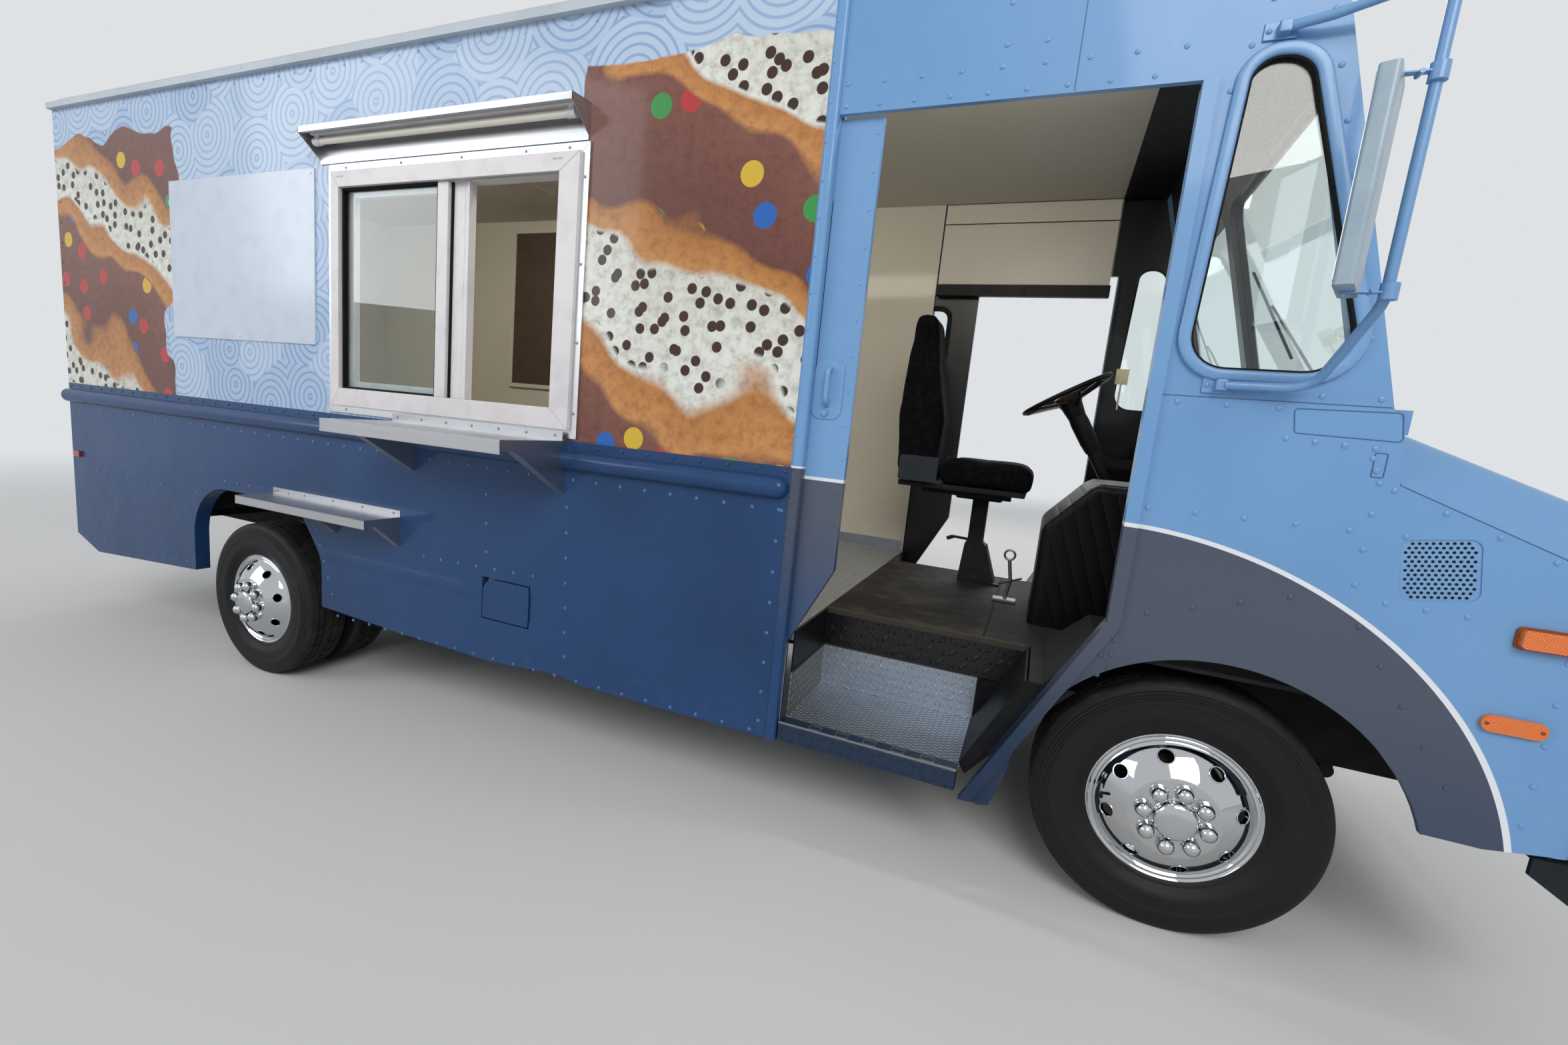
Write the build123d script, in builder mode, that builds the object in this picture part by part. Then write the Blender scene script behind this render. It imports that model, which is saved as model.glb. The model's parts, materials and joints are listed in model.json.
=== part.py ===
from build123d import *
from math import atan2, cos, degrees, radians, sin, tan
import os

os.makedirs("parts", exist_ok=True)

# Food truck on a step van body: sliding cab doors, serving window on the kerb side.
# Working axes: +X forward from the front axle, +Y to the driver's side,
# +Z up, in millimetres, with the frame rails level.
# At the end the truck is set down on its wheels, which tips the nose down a little.

# Chassis
wheelbase = 3988.0
rear_overhang = 1802.0
front_hub_height = 385.0
rear_hub_drop = 101.0
front_wheel_inset = 202.0
rear_wheel_inset = 68.0
kingpin_offset = 152.0
dual_spacing = 250.0
rail_half_spacing = 430.0
rail_top = 640.0
rail_height = 200.0
rail_flange = 70.0
rail_wall = 8.0

# Wheels and tyres
tyre_radius = 386.0
tyre_half_width = 108.0
rim_radius = 224.0
rim_half_width = 83.0
lug_circle = 82.5
lug_count = 8
lug_radius = 21.0
lug_height = 22.0
hand_hole_circle = 170.0
hand_hole_radius = 20.0
wheel_phase = -8.0

# Body shell
half_width = 1070.0
wall = 70.0
skin = 20.0
post_x = -1200.0
jamb_x = -262.0
nose_x = 787.0
nose_corner = 70.0
body_bottom = 305.0
gutter = 2743.0
header = 2332.0
ceiling_drop = 31.0
floor_top = 690.0
floor_thickness = 38.0
roof_edge_radius = 95.0
roof_crown = 36.0
roof_nose_radius = 80.0

# Wheel arches
front_arch_x = 30.0
front_arch_radius = 486.0
rear_arch_top = 800.0
rear_arch_behind = 597.0
rear_arch_ahead = 419.0

# Windscreen plane, leaning back from the cowl
cowl_x = 252.0
cowl_z = 1562.0
screen_lean = 15.0
screen_thickness = 38.0

# Serving window, with the sliding pane parked behind the fixed one
window_from_post = 909.0
window_width = 1381.0
window_z0 = 1265.0
window_z1 = 2320.0
window_casing = 34.0
window_left_border = 80.0
window_right_border = 123.0
window_head_border = 98.0
window_sill_border = 110.0
window_proud = 24.0
stile_width = 56.0
fixed_pane_width = 565.0

# Cab steps
step_x0 = -1190.0
step_x1 = -592.0
step_tread = 375.0
step_width = 450.0
step_plate = 6.0

# Sliding cab doors
door_length = 1000.0
door_thickness = 26.0
door_gap = 5.0
door_front_right = -1067.0
door_front_left = -955.0
door_bottom = 392.0
door_top = 2326.0

# Places that follow from the sizes above
clear = 6.0
rear_axle_x = -wheelbase
tail_x = rear_axle_x - rear_overhang
front_hub_y = half_width - front_wheel_inset
rear_hub_y = half_width - rear_wheel_inset
kingpin_y = front_hub_y - kingpin_offset
rear_arch_back = rear_axle_x - rear_arch_behind
rear_arch_front = rear_axle_x + rear_arch_ahead
ceiling = gutter - ceiling_drop
window_x1 = post_x - window_from_post
window_x0 = window_x1 - window_width
step_inner_y = half_width - step_width
door_inner_y = half_width - skin - door_gap - door_thickness


def slab(x, y, z, mode=Mode.ADD):
    """A plain block between pairs of coordinates."""
    with Locations(((x[0] + x[1]) / 2, (y[0] + y[1]) / 2, (z[0] + z[1]) / 2)):
        Box(x[1] - x[0], y[1] - y[0], z[1] - z[0], mode=mode)


def side_form(points, y, mode=Mode.ADD, radii=None):
    """A side outline of (x, z) points, carried across the truck from y[0] to y[1]."""
    with BuildSketch(Plane.XZ.offset(-y[1])) as outline:
        with BuildLine():
            if radii is None:
                Polyline(*points, close=True)
            else:
                FilletPolyline(*points, radius=radii, close=True)
        make_face()
    extrude(outline.sketch, amount=y[1] - y[0], mode=mode)


def side_round(x, z, radius, y, mode=Mode.ADD):
    """A round bar or hole that runs across the truck."""
    with BuildSketch(Plane.XZ.offset(-y[1])) as disc:
        with Locations((x, z)):
            Circle(radius)
    extrude(disc.sketch, amount=y[1] - y[0], mode=mode)


def cross_form(points, x, mode=Mode.ADD, radii=None):
    """A cross-section outline of (y, z) points, carried along the truck from x[0] to x[1]."""
    with BuildSketch(Plane.YZ.offset(x[0])) as outline:
        with BuildLine():
            if radii is None:
                Polyline(*points, close=True)
            else:
                FilletPolyline(*points, radius=radii, close=True)
        make_face()
    extrude(outline.sketch, amount=x[1] - x[0], mode=mode)


def tube(path_points, radius, bend):
    """A bent round tube through the given points."""
    with BuildLine() as path:
        FilletPolyline(*path_points, radius=bend)
    start = path.line @ 0
    heading = path.line % 0
    with BuildSketch(Plane(origin=start, z_dir=heading)) as section:
        Circle(radius)
    sweep(section.sketch, path=path.line)


# Stance: the rails slope so that both axles' tyres touch the floor
rake = degrees(atan2(rear_hub_drop, wheelbase))
bumper_front = 905.0
bumper_back = tail_x - 120.0
bumper_rear_z = 460.0
tow_hole_radius = 12.7
tow_hole_setback = 50.0
front_reach = bumper_front * cos(radians(rake)) + (615.0 - front_hub_height) * sin(radians(rake))
rear_reach = bumper_back * cos(radians(rake)) + (bumper_rear_z - 60 - front_hub_height) * sin(radians(rake))
stance = (
    Pos(-(front_reach + rear_reach) / 2, 0, tyre_radius)
    * Rot(0, rake, 0)
    * Pos(0, 0, -front_hub_height)
)


def save(builder, name):
    """Sets a finished piece down on its stance and writes it."""
    piece = stance * builder.part
    piece.label = name
    export_step(piece, f"parts/{name}.step")


# Frame rails: a pair of channels
rail_back = tail_x + 60
rail_front = 760.0
with BuildPart() as frame_rails:
    rail_section = (
        (0, 0), (-rail_flange, 0), (-rail_flange, rail_wall), (-rail_wall, rail_wall),
        (-rail_wall, rail_height - rail_wall), (-rail_flange, rail_height - rail_wall),
        (-rail_flange, rail_height), (0, rail_height),
    )
    for side in (1, -1):
        cross_form(
            [(side * (rail_half_spacing + y), rail_top - rail_height + z) for y, z in rail_section],
            (rail_back, rail_front),
        )
save(frame_rails, "frame_rails")

# Cross members between the rails, and outriggers that carry the body's side sills
member_width = 80.0
outrigger_width = 50.0
with BuildPart() as cross_members:
    for member_x in (tail_x + 140, rear_axle_x - 912, rear_axle_x + 938, -2100, -1150, 700):
        slab(
            (member_x - member_width / 2, member_x + member_width / 2),
            (-rail_half_spacing + rail_wall, rail_half_spacing - rail_wall),
            (rail_top - 150, rail_top - 60),
        )
    for outrigger_x in (tail_x + 490, rear_axle_x - 862, rear_axle_x + 688, -2700, -2050, -1350):
        for side in (1, -1):
            slab(
                (outrigger_x - outrigger_width / 2, outrigger_x + outrigger_width / 2),
                sorted((side * rail_half_spacing, side * (half_width - wall - 20))),
                (rail_top - 70, rail_top),
            )
save(cross_members, "cross_members")

# Front axle: dropped beam with an eye for each kingpin
beam_drop = 95.0
kingpin_radius = 24.0
with BuildPart() as front_axle:
    cross_form(
        (
            (-kingpin_y + 34, front_hub_height - 38), (-560, front_hub_height - beam_drop - 40),
            (560, front_hub_height - beam_drop - 40), (kingpin_y - 34, front_hub_height - 38),
            (kingpin_y - 34, front_hub_height + 38), (540, front_hub_height - beam_drop + 40),
            (-540, front_hub_height - beam_drop + 40), (-kingpin_y + 34, front_hub_height + 38),
        ),
        (-38, 38),
    )
    for side in (1, -1):
        with Locations((0, side * kingpin_y, front_hub_height)):
            Cylinder(40, 84)
            Cylinder(kingpin_radius + 1.5, 90, mode=Mode.SUBTRACT)
save(front_axle, "front_axle")

# Rear axle: tube housing with the final drive bowl
rear_hub_height = front_hub_height - rear_hub_drop
rear_inner_hub_y = rear_hub_y - dual_spacing
spindle_radius = 44.0
with BuildPart() as rear_axle:
    with BuildSketch(Plane.YZ.offset(rear_axle_x)) as housing:
        with BuildLine():
            Polyline(
                (0, rear_hub_height), (0, rear_hub_height + 190), (110, rear_hub_height + 170),
                (190, rear_hub_height + 62), (rear_inner_hub_y - 150, rear_hub_height + 55),
                (rear_inner_hub_y - 150, rear_hub_height), close=True,
            )
        make_face()
    revolve(housing.sketch, axis=Axis((rear_axle_x, 0, rear_hub_height), (0, 1, 0)))
    mirror(about=Plane.XZ)
    with BuildSketch(Plane.YZ.offset(rear_axle_x)) as pinion_section:
        with Locations((0, rear_hub_height)):
            Circle(62)
    extrude(pinion_section.sketch, amount=300)
    # Spindles that the wheels turn on
    for side in (1, -1):
        ends = sorted((side * (rear_inner_hub_y - 160), side * (rear_hub_y + 60)))
        side_round(rear_axle_x, rear_hub_height, spindle_radius, ends)
        drum = sorted((side * (rear_inner_hub_y - 150), side * (rear_inner_hub_y - 95)))
        side_round(rear_axle_x, rear_hub_height, 150, drum)
        seat = sorted((side * (rail_half_spacing - 67), side * (rail_half_spacing - 3)))
        slab((rear_axle_x - 60, rear_axle_x + 60), seat, (rear_hub_height + 20, rear_hub_height + 62))
save(rear_axle, "rear_axle")

# Leaf springs: (centre x, half length, seat height, eye height, y)
spring_width = 64.0
with BuildPart() as leaf_springs:
    spring_table = (
        (0.0, 520.0, front_hub_height - beam_drop + 40.0, 408.0, rail_half_spacing - 35.0),
        (rear_axle_x, 660.0, rear_hub_height + 62.0, 400.0, rail_half_spacing - 35.0),
    )
    for centre_x, half_length, seat, eye, spring_y in spring_table:
        for side in (1, -1):
            across = sorted((side * spring_y - spring_width / 2, side * spring_y + spring_width / 2))
            side_form(
                (
                    (centre_x - half_length, eye), (centre_x - 90, seat),
                    (centre_x + 90, seat), (centre_x + half_length, eye),
                    (centre_x + half_length, eye + 16), (centre_x + 90, seat + 62),
                    (centre_x - 90, seat + 62), (centre_x - half_length, eye + 16),
                ),
                across,
            )
            for end in (-1, 1):
                side_round(centre_x + end * half_length, eye + 8, 24, across)
                slab(
                    (centre_x + end * half_length - 18, centre_x + end * half_length + 18),
                    across,
                    (eye + 8, rail_top - rail_height),
                )
save(leaf_springs, "leaf_springs")

# Engine, one plain block between the rails under the cab cover
with BuildPart() as engine:
    slab((-360, 330), (-235, 235), (455, 1010))
save(engine, "engine")

# Driveshaft from the gearbox end to the final drive
with BuildPart() as driveshaft:
    shaft_start = (-700.0, 0.0, 470.0)
    shaft_end = (rear_axle_x + 305, 0.0, rear_hub_height)
    shaft_run = Vector(*shaft_end) - Vector(*shaft_start)
    with BuildSketch(Plane(origin=shaft_start, z_dir=shaft_run)) as shaft_section:
        Circle(42)
    extrude(shaft_section.sketch, amount=shaft_run.length)
    slab((-700, -361), (-120, 120), (380, 560))
save(driveshaft, "driveshaft")

# Fuel tank behind the step, outside the rail
tank_x = (-2640.0, -2080.0)
tank_y = (rail_half_spacing + 65, half_width - wall - 105)
tank_z = (325.0, 615.0)
with BuildPart() as fuel_tank:
    with BuildSketch(Plane.YZ.offset(tank_x[0])) as tank_section:
        with Locations((-(tank_y[0] + tank_y[1]) / 2, (tank_z[0] + tank_z[1]) / 2)):
            RectangleRounded(tank_y[1] - tank_y[0], tank_z[1] - tank_z[0], 60)
    extrude(tank_section.sketch, amount=tank_x[1] - tank_x[0])
    for strap_x in (tank_x[0] + 110, tank_x[1] - 150):
        with BuildSketch(Plane.YZ.offset(strap_x)) as strap:
            with Locations((-(tank_y[0] + tank_y[1]) / 2, (tank_z[0] + tank_z[1]) / 2)):
                RectangleRounded(tank_y[1] - tank_y[0] + 8, tank_z[1] - tank_z[0] + 8, 64)
        extrude(strap.sketch, amount=40)
save(fuel_tank, "fuel_tank")

# Exhaust with its silencer on the driver's side of the frame
silencer_x = (rear_axle_x + 1288, rear_axle_x + 1908)
pipe_y = 250.0
pipe_z = 395.0
pipe_radius = 28.0
tail_pipe_x = rear_axle_x + 928
with BuildPart() as exhaust:
    with BuildSketch(Plane.YZ.offset(silencer_x[0])) as silencer:
        with Locations((pipe_y, pipe_z)):
            Ellipse(110, 70)
    extrude(silencer.sketch, amount=silencer_x[1] - silencer_x[0])
    tube(
        [(silencer_x[1] - 5, pipe_y, pipe_z), (-900, pipe_y, pipe_z), (-600, 268, 540), (-250, 268, 560)],
        pipe_radius, 90,
    )
    tube(
        [
            (silencer_x[0] + 5, pipe_y, pipe_z), (tail_pipe_x + 130, pipe_y, pipe_z),
            (tail_pipe_x, 420, 385), (tail_pipe_x, half_width - 85, 370),
        ],
        pipe_radius, 90,
    )
save(exhaust, "exhaust")

# Floors of the cab and the load space, cut round the steps, the engine and the wheel boxes
cover_half = 285.0
cover_back = -456.0
floor_seam_x = step_x0 - 3
front_well_x = (-390.0, 512.0)
front_well_y = kingpin_y - 186
front_well_top = 826.0
toe_run = 130.0
rear_well_x = (rear_arch_back - 15, rear_arch_front + 15)
rear_well_y = rear_inner_hub_y - tyre_half_width - 40
rear_well_top = rear_arch_top + 20
inner_half = half_width - wall - 1
floor_z = (floor_top - floor_thickness, floor_top)
# Each box over a wheel: its length, inner side, top and the run of its sloping back
well_table = (
    (front_well_x, front_well_y, front_well_top, toe_run),
    (rear_well_x, rear_well_y, rear_well_top, 0.0),
)
with BuildPart() as cab_floor:
    slab((floor_seam_x, cowl_x - 13), (-inner_half, inner_half), floor_z)
    slab(
        (cover_back, cowl_x), (-cover_half + 20, cover_half - 20),
        (floor_top - 50, floor_top + 10), Mode.SUBTRACT,
    )
    for side in (1, -1):
        slab(
            (floor_seam_x - 1, step_x1 + 160), sorted((side * (step_inner_y - 2), side * half_width)),
            (floor_top - 50, floor_top + 10), Mode.SUBTRACT,
        )
        slab(
            front_well_x, sorted((side * front_well_y, side * half_width)),
            (floor_top - 50, floor_top + 10), Mode.SUBTRACT,
        )
save(cab_floor, "cab_floor")

with BuildPart() as load_floor:
    slab((tail_x + 52, floor_seam_x - 0.5), (-inner_half, inner_half), floor_z)
    for side in (1, -1):
        slab(
            rear_well_x, sorted((side * rear_well_y, side * half_width)),
            (floor_top - 50, floor_top + 10), Mode.SUBTRACT,
        )
save(load_floor, "load_floor")

# Boxes over the wheels
box_wall = 12.0
with BuildPart() as wheel_boxes:
    for side in (1, -1):
        for well_x, well_y, well_top, run in well_table:
            side_form(
                (
                    (well_x[0], floor_z[0]), (well_x[0], floor_top + 8), (well_x[0] + run, well_top),
                    (well_x[1], well_top), (well_x[1], floor_z[0]),
                ),
                sorted((side * well_y, side * inner_half)),
            )
            inner_top = well_top - box_wall
            side_form(
                (
                    (well_x[0] + box_wall, floor_z[0] - 5), (well_x[0] + box_wall, floor_top + 8),
                    (well_x[0] + run + box_wall, inner_top), (well_x[1] - box_wall, inner_top),
                    (well_x[1] - box_wall, floor_z[0] - 5),
                ),
                sorted((side * (well_y + box_wall), side * (half_width + 1))),
                Mode.SUBTRACT,
            )
save(wheel_boxes, "wheel_boxes")

# Step wells of bright tread plate, one each side
tilt = (floor_top - step_tread) * 0.49
with BuildPart() as step_wells:
    for side in (1, -1):
        tread = sorted((side * step_inner_y, side * (half_width - 22)))
        slab((step_x0, step_x1), tread, (step_tread - step_plate, step_tread))
        across = sorted((side * step_inner_y, side * (door_inner_y - clear)))
        riser = sorted((side * step_inner_y, side * (step_inner_y + step_plate)))
        slab((step_x0, step_x1), riser, (step_tread, floor_top))
        slab((step_x0, step_x0 + step_plate), across, (step_tread, floor_top))
        side_form(
            (
                (step_x1 - step_plate, step_tread), (step_x1, step_tread),
                (step_x1 + tilt, floor_top), (step_x1 + tilt - step_plate, floor_top),
            ),
            across,
        )
        # Sill with its raised track lip
        sill = sorted((side * (half_width - 60), side * half_width))
        slab((step_x0 - 8, step_x1 - 4), sill, (body_bottom, step_tread - step_plate))
        lip = sorted((side * (half_width - 8), side * half_width))
        slab((step_x0 - 8, step_x1 - 4), lip, (step_tread - step_plate, step_tread + 4))
save(step_wells, "step_wells")


# Side walls of the load space: outer skin and lining with the door pocket between them
rear_arch_points = (
    (rear_arch_back, 200), (rear_arch_back, rear_arch_top), (rear_arch_front - 171, rear_arch_top),
    (rear_arch_front + 5, 560), (rear_arch_front + 5, 200),
)
rear_arch_radii = (0, 270, 200, 180, 0)
# The kerb side's lower edge, bent by knocks
bottom_edge = (
    (post_x, body_bottom), (rear_axle_x + 1948, 299), (rear_axle_x + 1844, 319),
    (rear_axle_x + 1482, 291), (rear_axle_x + 947, 303), (rear_arch_front + 12, 324),
    (rear_arch_back - 6, 329), (tail_x + 228, 271), (tail_x, 357),
)
pocket_back = post_x - 908.0
fuel_door_x = (post_x - 1350, post_x - 1108)
fuel_door_z = (480.0, 648.0)
pocket_y = (half_width - skin, half_width - skin - door_thickness - 2 * door_gap)
with BuildPart() as load_wall_right:
    side_form(
        ((tail_x, gutter), (post_x, gutter)) + bottom_edge,
        (-half_width, -half_width + wall),
    )
    side_form(rear_arch_points, (-half_width - 1, -half_width + wall + 1), Mode.SUBTRACT, rear_arch_radii)
    slab((pocket_back, post_x + 1), (-pocket_y[0], -pocket_y[1]), (body_bottom + 30, header + 10), Mode.SUBTRACT)
    slab((step_x0 - 20, post_x + 1), (-pocket_y[1] - 1, -half_width + wall + 1), (0, header), Mode.SUBTRACT)
    slab(
        (window_x0 + window_casing + 6, window_x1 - window_casing - 6),
        (-half_width - 1, -half_width + wall + 1),
        (window_z0 + window_casing + 6, window_z1 - window_casing - 6), Mode.SUBTRACT,
    )
    slab(
        (fuel_door_x[0] - clear, fuel_door_x[1] + clear), (-half_width - 1, -half_width + 36),
        (fuel_door_z[0] - clear, fuel_door_z[1] + clear), Mode.SUBTRACT,
    )
    # Corner post at the door opening, standing proud of the skin
    with BuildSketch(Plane.XY.offset(body_bottom)) as post_section:
        with Locations((post_x - 20, -half_width)):
            SlotOverall(40, 26)
        with Locations((post_x - 20, -half_width + 20)):
            Rectangle(60, 40, mode=Mode.SUBTRACT)
    extrude(post_section.sketch, amount=gutter - body_bottom)
save(load_wall_right, "load_wall_right")

with BuildPart() as load_wall_left:
    side_form(
        ((tail_x, gutter), (post_x, gutter), (post_x, body_bottom), (tail_x, body_bottom)),
        (half_width - wall, half_width),
    )
    side_form(rear_arch_points, (half_width - wall - 1, half_width + 1), Mode.SUBTRACT, rear_arch_radii)
    slab((pocket_back, post_x + 1), (pocket_y[1], pocket_y[0]), (body_bottom + 30, header + 10), Mode.SUBTRACT)
    with BuildSketch(Plane.XY.offset(body_bottom)) as left_post_section:
        with Locations((post_x - 20, half_width)):
            SlotOverall(40, 26)
        with Locations((post_x - 20, half_width - 20)):
            Rectangle(60, 40, mode=Mode.SUBTRACT)
    extrude(left_post_section.sketch, amount=gutter - body_bottom)
save(load_wall_left, "load_wall_left")

# Cab sides: header over the door, front quarter and fender skin in one panel
fender_seam = ((296.0, 1383.0), (nose_x - nose_corner, 1209.0))
screen_slope = tan(radians(screen_lean))
roof_join_x = cowl_x - (gutter - cowl_z) * screen_slope
jamb_points = (
    (post_x, gutter), (post_x, header), (jamb_x, header), (jamb_x, 929.0), (-582.0, 291.0), (-520.0, 286.0),
)
front_points = (
    (496.0, 540.0), (604.0, 540.0), (nose_x - nose_corner, 560.0), fender_seam[1], fender_seam[0],
    (280.0, 1522.0), (cowl_x, cowl_z), (roof_join_x, gutter),
)
quarter_window = ((-171.0, 2369.0), (-45.0, 2369.0), (153.0, 1700.0), (60.0, 1627.0), (-181.0, 1700.0))
quarter_radii = (55, 70, 75, 60, 70)
vent_place = (405.0, 1192.0)
vent_size = 148.0
vent_turn = 9.0
vent_depth = 5.0
with BuildPart() as cab_side_right:
    side_form(jamb_points + front_points, (-half_width, -half_width + skin))
    side_round(
        front_arch_x, front_hub_height, front_arch_radius,
        (-half_width - 1, -half_width + skin + 1), Mode.SUBTRACT,
    )
    side_form(
        ((-520, 200), (-430, 500), (-300, 700), (-100, 850), (100, 500), (0, 100)),
        (-half_width - 1, -half_width + skin + 1), Mode.SUBTRACT,
    )
    side_form(quarter_window, (-half_width - 1, -half_width + skin + 1), Mode.SUBTRACT, quarter_radii)
    # Return that the closed door's edge meets
    side_form(
        (
            (jamb_x + 2, header - 4), (jamb_x + 14, header - 4), (jamb_x + 14, 926),
            (-500, 440), (-512, 440), (jamb_x + 2, 928),
        ),
        (-half_width + skin, -half_width + 58),
    )
    # Shallow recess of the perforated air vent
    with BuildSketch(Plane.XZ.offset(half_width - vent_depth)) as vent:
        with Locations(Location((vent_place[0], vent_place[1], 0), (0, 0, vent_turn))):
            RectangleRounded(vent_size, vent_size, 24)
    extrude(vent.sketch, amount=vent_depth + 1, mode=Mode.SUBTRACT)
    # Rounded rail along the door jamb
    side_form(
        (
            (jamb_x, header), (jamb_x + 34, header), (jamb_x + 34, 920), (-545, 292),
            (-582, 291), (jamb_x, 929),
        ),
        (-half_width - 12, -half_width),
    )
save(cab_side_right, "cab_side_right")

with BuildPart() as cab_side_left:
    mirror(cab_side_right.part, about=Plane.XZ)
save(cab_side_left, "cab_side_left")

# Windscreen frame and front cap, a raked panel with two openings
screen = Plane(
    origin=(cowl_x, 0, cowl_z),
    x_dir=(0, 1, 0),
    z_dir=(cos(radians(screen_lean)), 0, sin(radians(screen_lean))),
)
screen_rise = (gutter - cowl_z) / cos(radians(screen_lean))
inside_half = half_width - skin - 1
centre_post = 70.0
pane_margin = 104.0
pane_width = inside_half - centre_post / 2 - pane_margin
pane_y = (centre_post + pane_width) / 2
pane_height = 720.0
pane_mid = 90.0 + pane_height / 2
with BuildPart() as windscreen_frame:
    with BuildSketch(screen) as screen_outline:
        with Locations((0, screen_rise / 2)):
            Rectangle(2 * inside_half, screen_rise)
        with Locations((-pane_y, pane_mid), (pane_y, pane_mid)):
            RectangleRounded(pane_width, pane_height, 70, mode=Mode.SUBTRACT)
    extrude(screen_outline.sketch, amount=-screen_thickness)
    # Cowl ledge down to the hood and the firewall behind it
    slab((cowl_x - 50, cowl_x + 44), (-inside_half, inside_half), (cowl_z - 60, cowl_z - 2))
    slab((cowl_x - 12, cowl_x), (-inner_half, inner_half), (front_well_top + 2, cowl_z - 60))
    slab((cowl_x - 12, cowl_x), (-front_well_y + 6, front_well_y - 6), (floor_top - 40, front_well_top + 2))
    slab((cowl_x - 60, cowl_x + 1), (-cover_half + 18, cover_half - 18), (600, 1258), Mode.SUBTRACT)
    split(bisect_by=Plane.XY.offset(ceiling - 1), keep=Keep.BOTTOM)
save(windscreen_frame, "windscreen_frame")

# Roof: outer skin, ribs and ceiling as one panel with a coved inside
roof_top = gutter + roof_edge_radius
roof_front_x = roof_join_x + 2
crown_half = half_width - roof_edge_radius
crown_radius = (crown_half ** 2 + roof_crown ** 2) / (2 * roof_crown)
with BuildPart() as roof:
    with BuildSketch(Plane.YZ.offset(tail_x)) as roof_section:
        with BuildLine():
            inner_wall = half_width - wall - 1
            Polyline((0, ceiling), (inner_wall, ceiling), (inner_wall, gutter), (half_width, gutter))
            RadiusArc(
                (half_width, gutter), (crown_half, roof_top), -roof_edge_radius,
            )
            RadiusArc((crown_half, roof_top), (0, roof_top + roof_crown), -crown_radius)
            Line((0, roof_top + roof_crown), (0, ceiling))
        make_face()
    extrude(roof_section.sketch, amount=roof_front_x - tail_x)
    mirror(about=Plane.XZ)
    # The front end rounds over above the windscreen
    side_form(
        (
            (tail_x, ceiling), (roof_front_x, ceiling), (roof_front_x, roof_top + roof_crown + 1),
            (tail_x, roof_top + roof_crown + 1),
        ),
        (-half_width, half_width), Mode.INTERSECT, (0, 0, roof_nose_radius, 0),
    )
    # Rain gutter along both sides
    for side in (1, -1):
        lip = sorted((side * (half_width - 6), side * (half_width + 26)))
        slab((tail_x, roof_join_x - 30), lip, (gutter, gutter + 7))
        edge = sorted((side * (half_width + 20), side * (half_width + 26)))
        slab((tail_x, roof_join_x - 30), edge, (gutter + 7, gutter + 30))
save(roof, "roof")

# Rear frame round the double doors
rear_open_half = 720.0
rear_open_top = 2420.0
rear_wall = 50.0
rear_sill = floor_top - floor_thickness
with BuildPart() as rear_frame:
    slab(
        (tail_x, tail_x + rear_wall), (-half_width + wall + 1, half_width - wall - 1),
        (bumper_rear_z + 20, ceiling - 2),
    )
    slab(
        (tail_x - 1, tail_x + rear_wall + 1), (-rear_open_half, rear_open_half),
        (rear_sill, rear_open_top), Mode.SUBTRACT,
    )
save(rear_frame, "rear_frame")

# Rear doors: hung leaves with pressed panels and hinge barrels on their outer edges
leaf_thickness = 36.0
hinge_radius = 9.0
hinge_length = 110.0
hinge_x = tail_x - hinge_radius - 2
hinge_y = rear_open_half + 4
press_depth = 11.0
for name, side in (("rear_door_right", -1), ("rear_door_left", 1)):
    with BuildPart() as leaf:
        across = sorted((side * 4, side * (rear_open_half - clear)))
        slab((tail_x + 2, tail_x + 2 + leaf_thickness), across, (rear_sill + clear, rear_open_top - clear))
        pressed = sorted((side * 90, side * (rear_open_half - 90)))
        for panel_z in ((rear_sill + 110, rear_sill + 728), (rear_sill + 848, rear_open_top - 110)):
            slab((tail_x + 1, tail_x + 2 + press_depth), pressed, panel_z, Mode.SUBTRACT)
        for barrel_z in (rear_sill + 170, (rear_sill + rear_open_top) / 2, rear_open_top - 170):
            with Locations((hinge_x, side * hinge_y, barrel_z)):
                Cylinder(hinge_radius, hinge_length)
            barrel_ends = (barrel_z - hinge_length / 2, barrel_z + hinge_length / 2)
            strap = sorted((side * (rear_open_half - 80), side * hinge_y))
            slab((tail_x - 7, tail_x - 2), strap, barrel_ends)
            foot = sorted((side * (rear_open_half - 80), side * (rear_open_half - 12)))
            slab((tail_x - 2, tail_x + 4), foot, barrel_ends)
    save(leaf, name)

# Nose: front panel, rounded corners and sloping shoulders round the hood
shoulder_y = 940.0
hood_back = (cowl_x + 46, 1523.0)
hood_front = (nose_x, 1335.0)
nose_wall = 18.0


def nose_section(plane, seam_z, top_z, inset):
    """Half-rounded cross-section of the nose from the fender seam up."""
    with BuildSketch(plane) as section:
        with BuildLine():
            Polyline(
                (-half_width + inset, 500.0),
                (-half_width + inset, seam_z),
                (-shoulder_y + inset, top_z - inset),
                (shoulder_y - inset, top_z - inset),
                (half_width - inset, seam_z),
                (half_width - inset, 500.0),
                close=True,
            )
        make_face()
        fillet(section.vertices().group_by(Axis.Y)[-1], 70)
    return section.sketch


seam_slope = (fender_seam[1][1] - fender_seam[0][1]) / (fender_seam[1][0] - fender_seam[0][0])
seam_at_cowl = fender_seam[0][1] + seam_slope * (hood_back[0] - fender_seam[0][0])
seam_at_nose = fender_seam[0][1] + seam_slope * (nose_x - fender_seam[0][0])


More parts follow.
